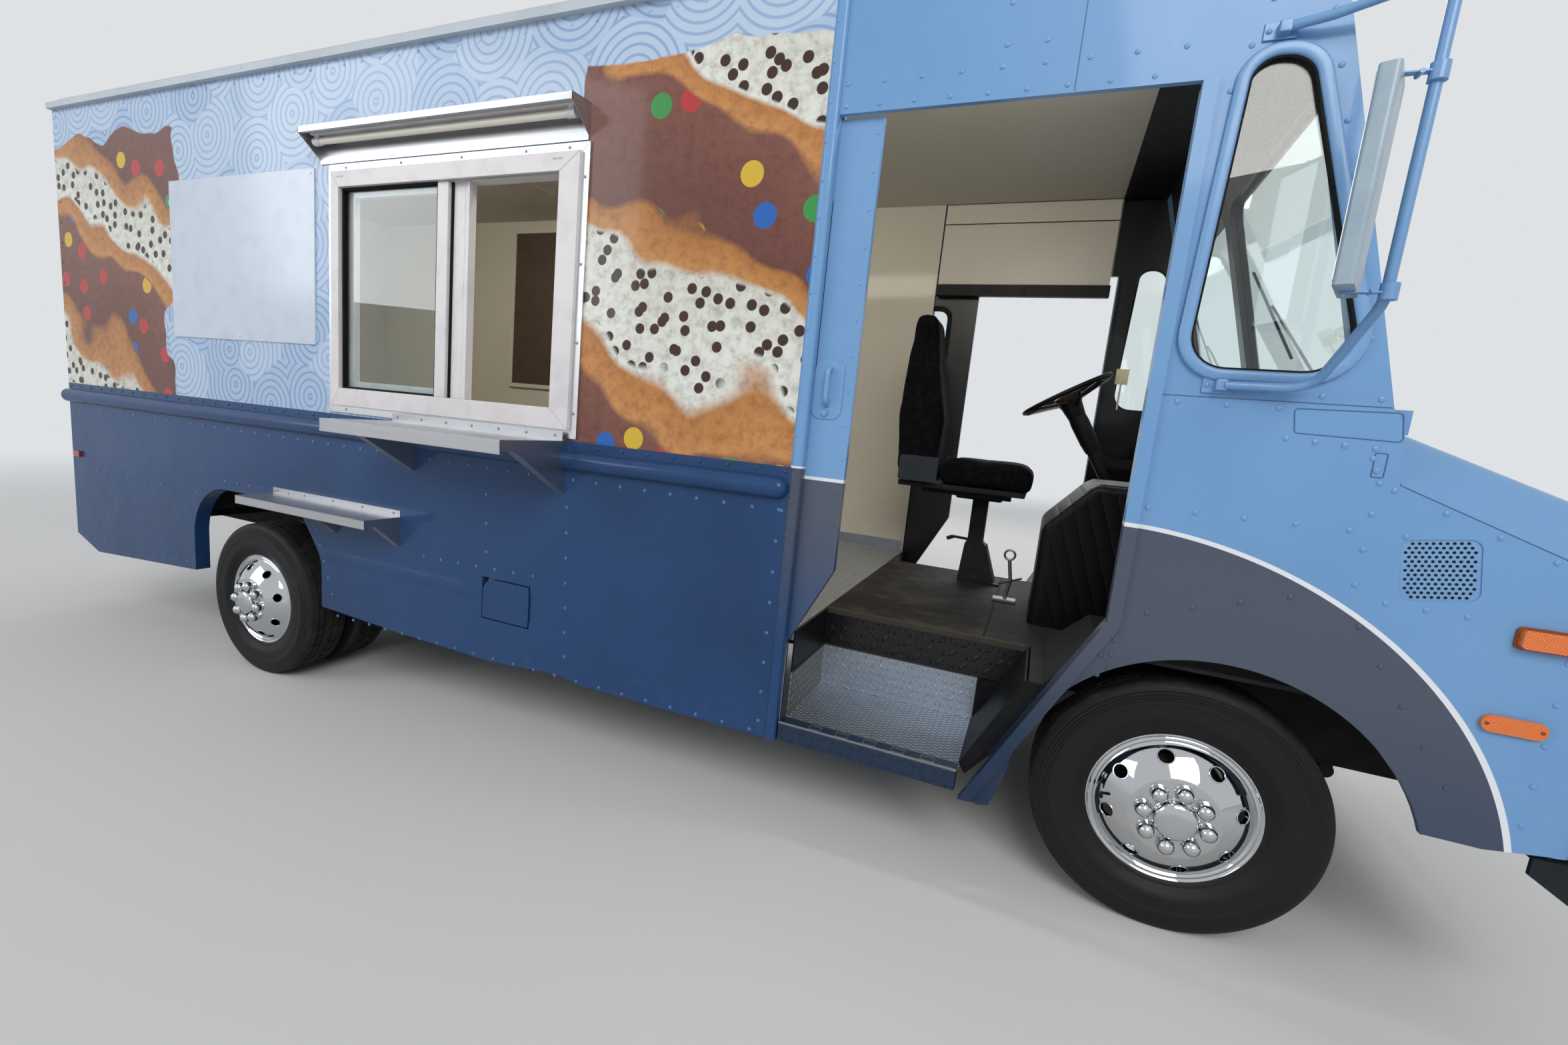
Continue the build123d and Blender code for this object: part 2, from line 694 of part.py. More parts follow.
def nose_block(inset):
    """The nose as a closed block, or its inside when inset."""
    with BuildPart() as block:
        back = nose_section(Plane.YZ.offset(hood_back[0] - inset), seam_at_cowl, hood_back[1], inset)
        front = nose_section(Plane.YZ.offset(nose_x - inset), seam_at_nose, hood_front[1], inset)
        loft([back, front])
        edges = block.edges().filter_by(
            lambda e: abs(e.center().X - (nose_x - inset)) < 1.0 and e.center().Z > 540
        )
        fillet(edges, nose_corner - inset)
    return block.part


nose_outer = nose_block(0)
nose_inner = nose_block(nose_wall)
hood_x = (cowl_x + 60, nose_x - 110)
hood_half = 560.0
hood_slope = (hood_front[1] - hood_back[1]) / (hood_front[0] - hood_back[0])
hood_hinge_z = hood_back[1] + hood_slope * (hood_x[0] - hood_back[0]) + 14
grille_half = 400.0
grille_z = (770.0, 1080.0)
lamp_y = half_width - 380
lamp_z = 925.0
lamp_radius = 92.0
with BuildPart() as nose_panel:
    add(nose_outer)
    add(nose_inner, mode=Mode.SUBTRACT)
    slab((0, 1200), (-1200, 1200), (400, 560), Mode.SUBTRACT)
    # The fender skins of the cab sides take the place of the side walls
    for side in (1, -1):
        across = sorted((side * (half_width - skin - 1), side * (half_width + 1)))
        side_form(
            (
                (0, 500), (nose_x - nose_corner, 500), (nose_x - nose_corner, fender_seam[1][1]),
                (0, fender_seam[1][1] - seam_slope * (nose_x - nose_corner)),
            ),
            across, Mode.SUBTRACT,
        )
    slab(hood_x, (-hood_half, hood_half), (1250, 1600), Mode.SUBTRACT)
    slab((700, 900), (-grille_half, grille_half), grille_z, Mode.SUBTRACT)
    with BuildSketch(Plane.YZ.offset(700)) as lamp_holes:
        with Locations((-lamp_y, lamp_z), (lamp_y, lamp_z)):
            Circle(lamp_radius)
    extrude(lamp_holes.sketch, amount=200, mode=Mode.SUBTRACT)
save(nose_panel, "nose_panel")

with BuildPart() as hood:
    add(nose_outer)
    add(nose_inner, mode=Mode.SUBTRACT)
    with Locations(((hood_x[0] + hood_x[1]) / 2, 0, 1425)):
        Box(
            hood_x[1] - hood_x[0] - 2 * clear, 2 * (hood_half - clear), 350,
            mode=Mode.INTERSECT,
        )
    # Hinge barrels over the seam at the back, each on a strap
    for hinge_place in (-hood_half + 150, hood_half - 150):
        barrel_y = (hinge_place - 60, hinge_place + 60)
        side_round(hood_x[0], hood_hinge_z, 8, barrel_y)
        side_form(
            (
                (hood_x[0], hood_hinge_z - 7), (hood_x[0], hood_hinge_z),
                (hood_x[0] + 54, hood_hinge_z - 24), (hood_x[0] + 54, hood_hinge_z - 38),
                (hood_x[0] + 14, hood_hinge_z - 24), (hood_x[0] + 14, hood_hinge_z - 10),
            ),
            barrel_y,
        )
save(hood, "hood")

# Grille of level bars in a frame
grille_bars = 7
with BuildPart() as grille:
    bar_x = (nose_x - 40, nose_x - 22)
    slab(bar_x, (-grille_half + 1, grille_half - 1), (grille_z[0] + 1, grille_z[1] - 1))
    slab(
        (bar_x[0] - 1, bar_x[1] + 1), (-grille_half + 26, grille_half - 26),
        (grille_z[0] + 26, grille_z[1] - 26), Mode.SUBTRACT,
    )
    pitch = (grille_z[1] - grille_z[0] - 52) / (grille_bars + 1)
    for bar in range(grille_bars):
        bar_z = grille_z[0] + 26 + pitch * (bar + 1)
        slab(bar_x, (-grille_half + 20, grille_half - 20), (bar_z - 8, bar_z + 8))
save(grille, "grille")

# Headlamps: sealed round lamps
with BuildPart() as headlamps:
    for side in (1, -1):
        with BuildSketch(Plane.XY) as lamp_profile:
            with BuildLine():
                Polyline(
                    (nose_x - 90, 0), (nose_x - 60, 60), (nose_x - 20, lamp_radius - 4),
                    (nose_x + 4, lamp_radius - 4),
                )
                Line((nose_x + 4, lamp_radius - 4), (nose_x + 4, lamp_radius - 16))
                Polyline(
                    (nose_x + 4, lamp_radius - 16), (nose_x + 13, lamp_radius / 2 - 8),
                    (nose_x + 16, 0), (nose_x - 90, 0),
                )
            make_face()
        turned = revolve(lamp_profile.sketch, axis=Axis.X, mode=Mode.PRIVATE)
        add(turned.moved(Location((0, side * lamp_y, lamp_z))))
save(headlamps, "headlamps")

# Amber side lamps near the front corners: a square-ended one and an oval one below it
with BuildPart() as amber_lamps:
    for side in (1, -1):
        lamp_table = (
            ((565, 1041), (691, 1085), 24.0, 12.0),
            ((539, 832), (656, 873), 12.0, 20.0),
        )
        for low, high, proud, corner in lamp_table:
            across = sorted((side * half_width, side * (half_width + proud)))
            side_form(
                (low, (high[0], low[1]), high, (low[0], high[1])), across, Mode.ADD,
                (corner, corner, corner, corner),
            )
save(amber_lamps, "amber_lamps")

# Red lamps at the tail, on the sides and the rear frame
with BuildPart() as tail_lamps:
    for side in (1, -1):
        slab(
            (tail_x + 35, tail_x + 100), sorted((side * half_width, side * (half_width + 14))),
            (826, 860),
        )
        slab(
            (tail_x - 22, tail_x), sorted((side * (half_width - 270), side * (half_width - 120))),
            (1120, 1270),
        )
save(tail_lamps, "tail_lamps")

# Bumpers: the front one wraps the corners, with ends that taper under the nose
bumper_z = (400.0, 615.0)
bumper_plate = 12.0
bumper_half = half_width - 10
bumper_end_x = 700.0
with BuildPart() as bumpers:
    with BuildSketch(Plane.XY.offset(bumper_z[0])) as bumper_plan:
        with BuildLine():
            FilletPolyline(
                (bumper_end_x, -bumper_half), (bumper_front, -bumper_half),
                (bumper_front, bumper_half), (bumper_end_x, bumper_half),
                (bumper_end_x, bumper_half - bumper_plate),
                (bumper_front - bumper_plate, bumper_half - bumper_plate),
                (bumper_front - bumper_plate, -bumper_half + bumper_plate),
                (bumper_end_x, -bumper_half + bumper_plate),
                radius=(0, 110, 110, 0, 0, 98, 98, 0), close=True,
            )
        make_face()
    extrude(bumper_plan.sketch, amount=bumper_z[1] - bumper_z[0])
    side_form(
        (
            (bumper_end_x, 500), (bumper_end_x, 545), (nose_x + 15, 545),
            (nose_x + 15, bumper_z[1]), (bumper_front, bumper_z[1]), (bumper_front, bumper_z[0]),
            (bumper_front - 50, bumper_z[0]),
        ),
        (-half_width, half_width), Mode.INTERSECT,
    )
    for side in (1, -1):
        horn = sorted((side * (rail_half_spacing - rail_flange), side * rail_half_spacing))
        slab((rail_front, bumper_front - bumper_plate), horn, (rail_top - 190, rail_top - 120))
    # Rear step: a folded plate with a stiffened hole for a tow ball
    step_half = half_width - 170
    slab((bumper_back, tail_x - 2), (-step_half, step_half), (bumper_rear_z - 60, bumper_rear_z))
    slab(
        (bumper_back + 6, tail_x - 1), (-step_half + 6, step_half - 6),
        (bumper_rear_z - 61, bumper_rear_z - 6), Mode.SUBTRACT,
    )
    for side in (1, -1):
        horn = sorted((side * (rail_half_spacing - rail_flange + 2), side * rail_half_spacing))
        slab((tail_x - 20, rail_back), horn, (bumper_rear_z - 60, bumper_rear_z - 6))
    slab((bumper_back + 3, tail_x - 10), (-70, 70), (bumper_rear_z - 22, bumper_rear_z - 3))
    with Locations((bumper_back + tow_hole_setback, 0, bumper_rear_z - 11)):
        Cylinder(tow_hole_radius, 40, mode=Mode.SUBTRACT)
save(bumpers, "bumpers")

# Serving window: casing on the skin, frame, and the stiles of its two panes
fixed_pane_x = (window_x0 + window_left_border, window_x0 + window_left_border + fixed_pane_width)
opening_x = (fixed_pane_x[1] + 150, window_x1 - window_right_border)
pane_z = (window_z0 + window_sill_border, window_z1 - window_head_border)
with BuildPart() as serving_window_frame:
    slab(
        (window_x0 + window_casing + 7, window_x1 - window_casing - 7), (-half_width, -half_width + wall),
        (window_z0 + window_casing + 7, window_z1 - window_casing - 7),
    )
    # Casing with mitred slopes, then the frame that stands proud inside it
    with BuildSketch(Plane.XZ.offset(half_width)) as casing:
        with Locations(((window_x0 + window_x1) / 2, (window_z0 + window_z1) / 2)):
            Rectangle(window_width, window_z1 - window_z0)
    extrude(casing.sketch, amount=window_proud / 2, taper=20)
    slab(
        (window_x0 + window_casing, window_x1 - window_casing), (-half_width - window_proud, -half_width),
        (window_z0 + window_casing, window_z1 - window_casing),
    )
    for clear_x in (fixed_pane_x, opening_x):
        slab(clear_x, (-half_width - window_proud - 1, -half_width + wall + 1), pane_z, Mode.SUBTRACT)
    # Between the panes the fixed one's stile stands forward of the sliding one's
    slab(
        (fixed_pane_x[1] + stile_width, opening_x[0]),
        (-half_width - window_proud - 1, -half_width + 12), pane_z, Mode.SUBTRACT,
    )
    slab(
        (fixed_pane_x[1], fixed_pane_x[1] + stile_width),
        (-half_width - window_proud - 1, -half_width - 4), pane_z, Mode.SUBTRACT,
    )
save(serving_window_frame, "serving_window_frame")

# Glass: windscreen panes, quarter windows and the serving window's fixed pane
glass = 6.0
with BuildPart() as window_glass:
    with BuildSketch(screen.offset(-screen_thickness / 2)) as pane_outline:
        with Locations((-pane_y, pane_mid), (pane_y, pane_mid)):
            RectangleRounded(pane_width, pane_height, 70)
    extrude(pane_outline.sketch, amount=glass)
    for side in (1, -1):
        across = sorted((side * (half_width - 12), side * (half_width - 12 + glass)))
        side_form(quarter_window, across, Mode.ADD, quarter_radii)
    slab(fixed_pane_x, (-half_width + 12, -half_width + 12 + glass), pane_z)
save(window_glass, "window_glass")

# Awning: a shallow stainless wedge with a tube lamp under it
awning_x = (window_x0 - 57, window_x1 - 13)
awning_reach = 104.0
awning_foot = window_z1 + 17
awning_top = awning_foot + 113
awning_fall = 7.0
awning_lip = 25.0
lamp_radius = 14.0
sheet = 3.0
with BuildPart() as awning:
    wall_y = -half_width
    tip_y = -half_width - awning_reach
    tip_z = awning_top - awning_fall
    lip_z = tip_z - awning_lip
    cross_form(
        (
            (wall_y, awning_foot), (wall_y, awning_top), (tip_y, tip_z), (tip_y, lip_z),
            (tip_y + sheet, lip_z), (tip_y + sheet, tip_z - sheet), (wall_y - sheet, awning_top - sheet),
            (wall_y - sheet, awning_foot),
        ),
        awning_x,
    )
    for end in (awning_x[0], awning_x[1] - sheet):
        cross_form(
            ((wall_y, awning_foot), (wall_y, awning_top), (tip_y, tip_z), (tip_y, lip_z)),
            (end, end + sheet),
        )
    with BuildSketch(Plane.YZ.offset(awning_x[0])) as tube_section:
        with Locations((wall_y - 45, awning_top - 45)):
            Circle(lamp_radius)
    extrude(tube_section.sketch, amount=awning_x[1] - awning_x[0])
save(awning, "awning")

# Serving shelf and the small shelf over the rear wheel, whose columns are
# (x0, x1, top, reach, lip drop, back rise, back stand-off, bracket foot, bracket places)
rub_z = 1183.0
rub_radius = 38.0
bracket_width = 42.0
shelf_table = (
    (
        window_x1 - 954, window_x1 - 46, window_z0 - 9, 350.0, 50.0, 34.0, window_proud, 1050.0,
        (window_x1 - 870, window_x1 - 67),
    ),
    (
        rear_axle_x + 74, rear_axle_x + 948, 836.0, 176.0, 40.0, 28.0, 0.0, 700.0,
        (rear_axle_x + 510, rear_axle_x + 927),
    ),
)
with BuildPart() as shelves:
    for x0, x1, top, reach, lip_drop, back_rise, stand_off, bracket_z, bracket_xs in shelf_table:
        tip_y = -half_width - reach
        face_y = -half_width
        slab((x0, x1), (tip_y, face_y), (top - 3, top))
        slab((x0, x1), (tip_y, tip_y + 3), (top - lip_drop, top - 3))
        slab((x0, x1), (face_y - stand_off - 3, face_y - stand_off), (top, top + back_rise))
        # Brackets: channels with a sloping web
        for bracket_x in bracket_xs:
            bracket = (bracket_x - bracket_width / 2, bracket_x + bracket_width / 2)
            cross_form(
                ((face_y, top - 3), (tip_y + 40, top - 3), (tip_y + 40, top - 22), (face_y, bracket_z)),
                bracket,
            )
            cross_form(
                (
                    (face_y + 1, top - 3), (tip_y + 44, top - 3), (tip_y + 44, top - 17),
                    (face_y + 1, bracket_z + 12),
                ),
                (bracket[0] + 3, bracket[1] - 3), Mode.SUBTRACT,
            )
    # Room for the rub rail behind the brackets
    slab(
        (window_x0, window_x1), (-half_width - rub_radius - 3, -half_width + 1),
        (rub_z - rub_radius - 3, rub_z + rub_radius + 3), Mode.SUBTRACT,
    )
save(shelves, "shelves")

# Rub rails: half-round bars along the belt
rub_front = post_x - 43
with BuildPart() as rub_rails:
    for side in (1, -1):
        with BuildSketch(Plane.YZ.offset(tail_x)) as rub_section:
            with Locations((side * half_width, rub_z)):
                Circle(rub_radius)
        extrude(rub_section.sketch, amount=rub_front - rub_radius - tail_x)
        with Locations((rub_front - rub_radius, side * half_width, rub_z)):
            Sphere(rub_radius)
    slab((tail_x - 1, 0), (-half_width, half_width), (rub_z - 60, rub_z + 60), Mode.SUBTRACT)
save(rub_rails, "rub_rails")

# Menu board, blank
with BuildPart() as menu_board:
    slab((window_x0 - 1200, window_x0 - 100), (-half_width - 6, -half_width), (1558, window_z1 - 5))
save(menu_board, "menu_board")

# Fuel door in its recess, hung on a small barrel at its front edge
with BuildPart() as fuel_door:
    side_form(
        (
            (fuel_door_x[0], fuel_door_z[0]), (fuel_door_x[1], fuel_door_z[0]),
            (fuel_door_x[1], fuel_door_z[1]), (fuel_door_x[0], fuel_door_z[1]),
        ),
        (-half_width - 2, -half_width + 10), Mode.ADD, (6, 6, 6, 60),
    )
    fuel_hinge_x = fuel_door_x[1] + 3
    fuel_hinge_z = (fuel_door_z[0] + 24, fuel_door_z[1] - 24)
    with Locations((fuel_hinge_x, -half_width - 6, sum(fuel_hinge_z) / 2)):
        Cylinder(4, fuel_hinge_z[1] - fuel_hinge_z[0])
    slab((fuel_door_x[1] - 14, fuel_hinge_x), (-half_width - 6, -half_width - 2), fuel_hinge_z)
save(fuel_door, "fuel_door")

# Sliding cab doors with a rounded window and a pull handle
door_outer_y = half_width - skin - door_gap
door_slope = 0.5016
for name, side, front_x in (("cab_door_right", -1, door_front_right), ("cab_door_left", 1, door_front_left)):
    across = sorted((side * door_outer_y, side * (door_outer_y - door_thickness)))
    cut = 929.0 - door_bottom
    back_x = front_x - door_length
    window_points = (
        (back_x + 170, 1480), (front_x - 150, 1480), (front_x - 150, door_top - 186),
        (back_x + 170, door_top - 186),
    )
    with BuildPart() as door:
        side_form(
            (
                (back_x, door_bottom), (front_x - door_slope * cut, door_bottom), (front_x, 929),
                (front_x, door_top), (back_x, door_top),
            ),
            across,
        )
        side_form(window_points, (across[0] - 1, across[1] + 1), Mode.SUBTRACT, (60, 60, 60, 60))
    save(door, name)
    with BuildPart() as door_glass:
        middle = side * (door_outer_y - door_thickness / 2)
        side_form(window_points, (middle - 3, middle + 3), Mode.ADD, (60, 60, 60, 60))
    save(door_glass, name.replace("cab_door", "door_glass"))

# Dashboard with the steering column, which runs down to a flange on the floor
wheel_centre = (-430.0, 450.0, 1655.0)
wheel_tilt = 31.0
column_radius = 30.0
column_dir = (cos(radians(90 - wheel_tilt)), 0, -sin(radians(90 - wheel_tilt)))
column_plane = Plane(origin=wheel_centre, x_dir=(0, 1, 0), z_dir=column_dir)
column_length = (wheel_centre[2] - floor_top - column_radius * sin(radians(wheel_tilt))) / -column_dir[2]
column_foot_x = wheel_centre[0] + column_length * column_dir[0]
column_top = 30.0
dash_bottom = 1290.0
bracket_z = 1350.0
bracket_x = wheel_centre[0] + (wheel_centre[2] - bracket_z) / -column_dir[2] * column_dir[0]
with BuildPart() as dashboard:
    side_form(
        (
            (cowl_x - 14, cowl_z - 62), (60, cowl_z - 62), (-70, 1440), (-50, 1330), (120, dash_bottom),
            (cowl_x - 14, dash_bottom),
        ),
        (-inner_half + 30, inner_half - 30), Mode.ADD, (0, 30, 40, 30, 0, 0),
    )
    with BuildSketch(column_plane.offset(column_top)) as column_section:
        Circle(column_radius)
    extrude(column_section.sketch, amount=column_length - column_top)
    with BuildSketch(column_plane.offset(column_top)) as shroud:
        Circle(52)
    extrude(shroud.sketch, amount=130, taper=8)
    slab(
        (column_foot_x - 70, column_foot_x + 60), (wheel_centre[1] - 50, wheel_centre[1] + 50),
        (floor_top, floor_top + 12),
    )
    slab((bracket_x, -40), (wheel_centre[1] - 16, wheel_centre[1] + 16), (bracket_z - 20, bracket_z + 20))
save(dashboard, "dashboard")

# Steering wheel: rim, three spokes and a hub
wheel_rim_radius = 200.0
with BuildPart() as steering_wheel:
    with BuildSketch(Plane.XZ) as ring:
        with Locations((wheel_rim_radius, 0)):
            Circle(13)
    wheel_ring = revolve(ring.sketch, axis=Axis.Z, mode=Mode.PRIVATE)
    add(wheel_ring.moved(column_plane.location))
    with BuildSketch(column_plane.offset(-8)) as hub_section:
        Circle(50)
    extrude(hub_section.sketch, amount=32)
    with BuildSketch(column_plane.offset(-5)) as spokes:
        for angle in (90, 210, 330):
            with Locations(Location((0, 0, 0), (0, 0, angle))):
                with Locations((wheel_rim_radius / 2 + 5, 0)):
                    Rectangle(wheel_rim_radius - 10, 40)
    extrude(spokes.sketch, amount=10)
save(steering_wheel, "steering_wheel")

# Driver's seat
seat_y = 450.0
with BuildPart() as seat_pedestal:
    slab((-800, -600), (seat_y - 90, seat_y + 90), (floor_top, floor_top + 10))
    with BuildSketch(Plane.XY.offset(floor_top + 10)) as foot:
        with Locations((-716, seat_y)):
            Rectangle(176, 140)
    with BuildSketch(Plane.XY.offset(floor_top + 190)) as neck:
        with Locations((-740, seat_y)):
            Rectangle(104, 100)
    loft([foot.sketch, neck.sketch])
    slab((-782, -708), (seat_y - 37, seat_y + 37), (floor_top + 190, 1150))
    slab((-1140, -560), (seat_y - 190, seat_y + 190), (1150, 1172))
save(seat_pedestal, "seat_pedestal")

with BuildPart() as seat_cushion:
    side_form(
        ((-948, 1174), (-500, 1174), (-490, 1290), (-948, 1312)),
        (seat_y - 245, seat_y + 245), Mode.ADD, (20, 50, 50, 20),
    )
save(seat_cushion, "seat_cushion")

with BuildPart() as seat_back:
    side_form(
        ((-1150, 1174), (-956, 1174), (-940, 1480), (-1060, 2012), (-1160, 2012), (-1182, 1500)),
        (seat_y - 230, seat_y + 230), Mode.ADD, (20, 20, 90, 40, 40, 90),
    )
save(seat_back, "seat_back")

# Engine cover in the cab, a rounded hood over the engine
cover_sheet = 18.0
cover_top = 1275.0
cover_knee = (-290.0, 1270.0)
cover_heel_z = 1085.0
with BuildPart() as engine_cover:
    side_form(
        (
            (cover_back + 2, floor_top + 1), (cover_back + 2, cover_heel_z), cover_knee,
            (cowl_x - 16, cover_top), (cowl_x - 16, floor_top + 1),
        ),
        (-cover_half, cover_half), Mode.ADD, (0, 60, 60, 0, 0),
    )
    shoulders = engine_cover.edges().filter_by(
        lambda e: abs(abs(e.center().Y) - cover_half) < 1 and e.center().Z > floor_top + 10
        and e.center().X < cowl_x - 20
    )
    fillet(shoulders, 28)
    side_form(
        (
            (cover_back + 2 + cover_sheet, 600), (cover_back + 2 + cover_sheet, cover_heel_z - 7),
            (cover_knee[0] + 8, cover_knee[1] - cover_sheet), (cowl_x + 20, cover_top - cover_sheet),
            (cowl_x + 20, 600),
        ),
        (-cover_half + cover_sheet, cover_half - cover_sheet), Mode.SUBTRACT, (0, 44, 44, 0, 0),
    )
save(engine_cover, "engine_cover")

# Mirrors: a boxed head strapped to a bent tube, its glass turned towards the driver
mirror_out = half_width + 230
mirror_tube = 11.0
mirror_tube_x = 118.0
head_x = 45.0
head_z = (1780.0, 2203.0)
head_depth = 37.0
head_width = 150.0
head_turn = 21.0
with BuildPart() as mirrors:
    with BuildPart(mode=Mode.PRIVATE) as one_mirror:
        tube(
            [
                (-98, -half_width - 24, 1592), (75, -half_width - 40, 1592),
                (mirror_tube_x, -mirror_out + 10, 1760), (mirror_tube_x, -mirror_out, 2440),
                (112, -mirror_out + 150, 2452),
            ],
            mirror_tube, 60,
        )
        tube(
            [
                (-112, -half_width - 16, 2424), (-30, -half_width - 40, 2428),
                (112, -mirror_out + 150, 2452),
            ],
            mirror_tube, 40,
        )
        with Locations((112, -mirror_out + 150, 2452)):
            Sphere(22)
        slab((-128, -82), (-half_width - 36, -half_width), (1574, 1610))
        slab((-158, -74), (-half_width - 30, -half_width), (2402, 2446))
        with BuildSketch(Plane.XY.offset(head_z[0])) as head_section:
            with Locations((head_x, -mirror_out)):
                RectangleRounded(head_depth, head_width, 12, rotation=-head_turn)
        extrude(head_section.sketch, amount=head_z[1] - head_z[0])
        for strap_z in head_z:
            slab(
                (head_x - 8, mirror_tube_x), (-mirror_out - 9, -mirror_out + 9),
                (strap_z - 4, strap_z + 4),
            )
            with Locations((mirror_tube_x, -mirror_out, strap_z)):
                Cylinder(mirror_tube + 5, 34)
    add(one_mirror.part)
    mirror(one_mirror.part, about=Plane.XZ)
save(mirrors, "mirrors")


def wheel_profile(origin, points):
    """A closed outline of (outward, radius) points turned about the wheel's axle."""
    side = 1 if origin[1] > 0 else -1
    plane = Plane(origin=origin, x_dir=(0, side, 0), z_dir=(side, 0, 0))
    with BuildSketch(plane) as outline:
        with BuildLine():
            Polyline(*points, close=True)
        make_face()
    return revolve(outline.sketch, axis=Axis(origin, (0, side, 0)))


tyre_outline = (
    (-78, 216), (-90, 236), (-tyre_half_width, 290), (-tyre_half_width + 6, tyre_radius - 36),
    (-tyre_half_width + 26, tyre_radius), (tyre_half_width - 26, tyre_radius),
    (tyre_half_width - 6, tyre_radius - 36), (tyre_half_width, 290), (90, 236), (78, 216),
)
wheel_face = 148.0
rim_outline = (
    (-90, 200), (-90, 226), (-86, 226), (-86, 213), (80, 213), (84, 226), (90, 226), (93, 218),
    (88, 208), (80, 200), (84, 194), (116, 170), (138, 142), (wheel_face - 6, 122),
    (wheel_face, 116), (wheel_face, 60), (wheel_face - 12, 60), (wheel_face - 14, 112),
    (124, 138), (102, 164), (68, 192), (50, 200),
)


def lug_caps(origin, face, cap_radius):
    """Domed lug caps on a circle, with the domed centre cap."""
    side = 1 if origin[1] > 0 else -1
    plane = Plane(origin=origin, x_dir=(0, 0, 1), z_dir=(0, side, 0))
    with BuildSketch(plane.offset(face - 1)) as caps:
        with PolarLocations(lug_circle, lug_count, start_angle=wheel_phase):
            Circle(lug_radius)
    extrude(caps.sketch, amount=lug_height / 2)
    with BuildSketch(plane.offset(face - 1 + lug_height / 2)) as domes:
        with PolarLocations(lug_circle, lug_count, start_angle=wheel_phase):
            Circle(lug_radius)
    extrude(domes.sketch, amount=lug_height / 2, taper=40)
    with BuildSketch(plane.offset(face - 6)) as centre:
        Circle(cap_radius)
    extrude(centre.sketch, amount=34, taper=25)


hand_hole_phase = wheel_phase + 180 / lug_count
for name, side in (("right", -1), ("left", 1)):
    front_hub = (0, side * front_hub_y, front_hub_height)
    rear_hub = (-wheelbase, side * rear_hub_y, rear_hub_height)
    inner_hub = (-wheelbase, side * rear_inner_hub_y, rear_hub_height)
    with BuildPart() as front_tyre:
        wheel_profile(front_hub, tyre_outline)
    save(front_tyre, f"front_tyre_{name}")
    with BuildPart() as front_rim:
        wheel_profile(front_hub, rim_outline)
        lug_caps(front_hub, wheel_face, 61)
        hole_plane = Plane(origin=front_hub, x_dir=(0, 0, 1), z_dir=(0, side, 0))
        with BuildSketch(hole_plane) as hand_holes:
            with PolarLocations(hand_hole_circle, lug_count, start_angle=hand_hole_phase):
                Circle(hand_hole_radius)
        extrude(hand_holes.sketch, amount=wheel_face, mode=Mode.SUBTRACT)
    save(front_rim, f"front_rim_{name}")
    with BuildPart() as rear_tyres:
        wheel_profile(rear_hub, tyre_outline)
        wheel_profile(inner_hub, tyre_outline)
    save(rear_tyres, f"rear_tyres_{name}")
    with BuildPart() as rear_rims:
        wheel_profile(rear_hub, rim_outline)
        lug_caps(rear_hub, wheel_face, 61)
        hole_plane = Plane(origin=rear_hub, x_dir=(0, 0, 1), z_dir=(0, side, 0))
        with BuildSketch(hole_plane) as hand_holes:
            with PolarLocations(hand_hole_circle, lug_count, start_angle=hand_hole_phase):
                Circle(hand_hole_radius)
        extrude(hand_holes.sketch, amount=wheel_face, mode=Mode.SUBTRACT)
        # The inner wheel of the pair, joined to the outer one by the hub
        plane = Plane(origin=inner_hub, x_dir=(0, 0, 1), z_dir=(0, side, 0))
        with BuildSketch(plane.offset(-rim_half_width)) as barrel:
            Circle(rim_radius - 8)
            Circle(rim_radius - 22, mode=Mode.SUBTRACT)
        extrude(barrel.sketch, amount=2 * rim_half_width)
        with BuildSketch(plane.offset(20)) as disc:
            Circle(rim_radius - 15)
            Circle(60, mode=Mode.SUBTRACT)
        extrude(disc.sketch, amount=14)
        with BuildSketch(plane.offset(30)) as hub_tube:
            Circle(104)
            Circle(spindle_radius + 6, mode=Mode.SUBTRACT)
        extrude(hub_tube.sketch, amount=dual_spacing + wheel_face - 36)
    save(rear_rims, f"rear_rims_{name}")
    with BuildPart() as knuckle:
        with Locations((0, side * kingpin_y, front_hub_height)):
            Cylinder(kingpin_radius, 170)
        for top in (1, -1):
            with Locations((0, side * kingpin_y, front_hub_height + top * 65)):
                Cylinder(36, 38)
            arm_z = sorted((front_hub_height + top * 46, front_hub_height + top * 84))
            slab((-36, 36), sorted((side * kingpin_y, side * (kingpin_y + 60))), arm_z)
        web = sorted((side * (kingpin_y + 44), side * (kingpin_y + 60)))
        slab((-36, 36), web, (front_hub_height - 84, front_hub_height + 84))
        side_round(0, front_hub_height, 50, sorted((side * (kingpin_y + 60), side * (front_hub_y + 40))))
    save(knuckle, f"knuckle_{name}")
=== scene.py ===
import json
from math import atan2, cos, pi, radians, sin, sqrt

import bmesh
import bpy
from mathutils import Matrix, Vector, noise
from mathutils.kdtree import KDTree


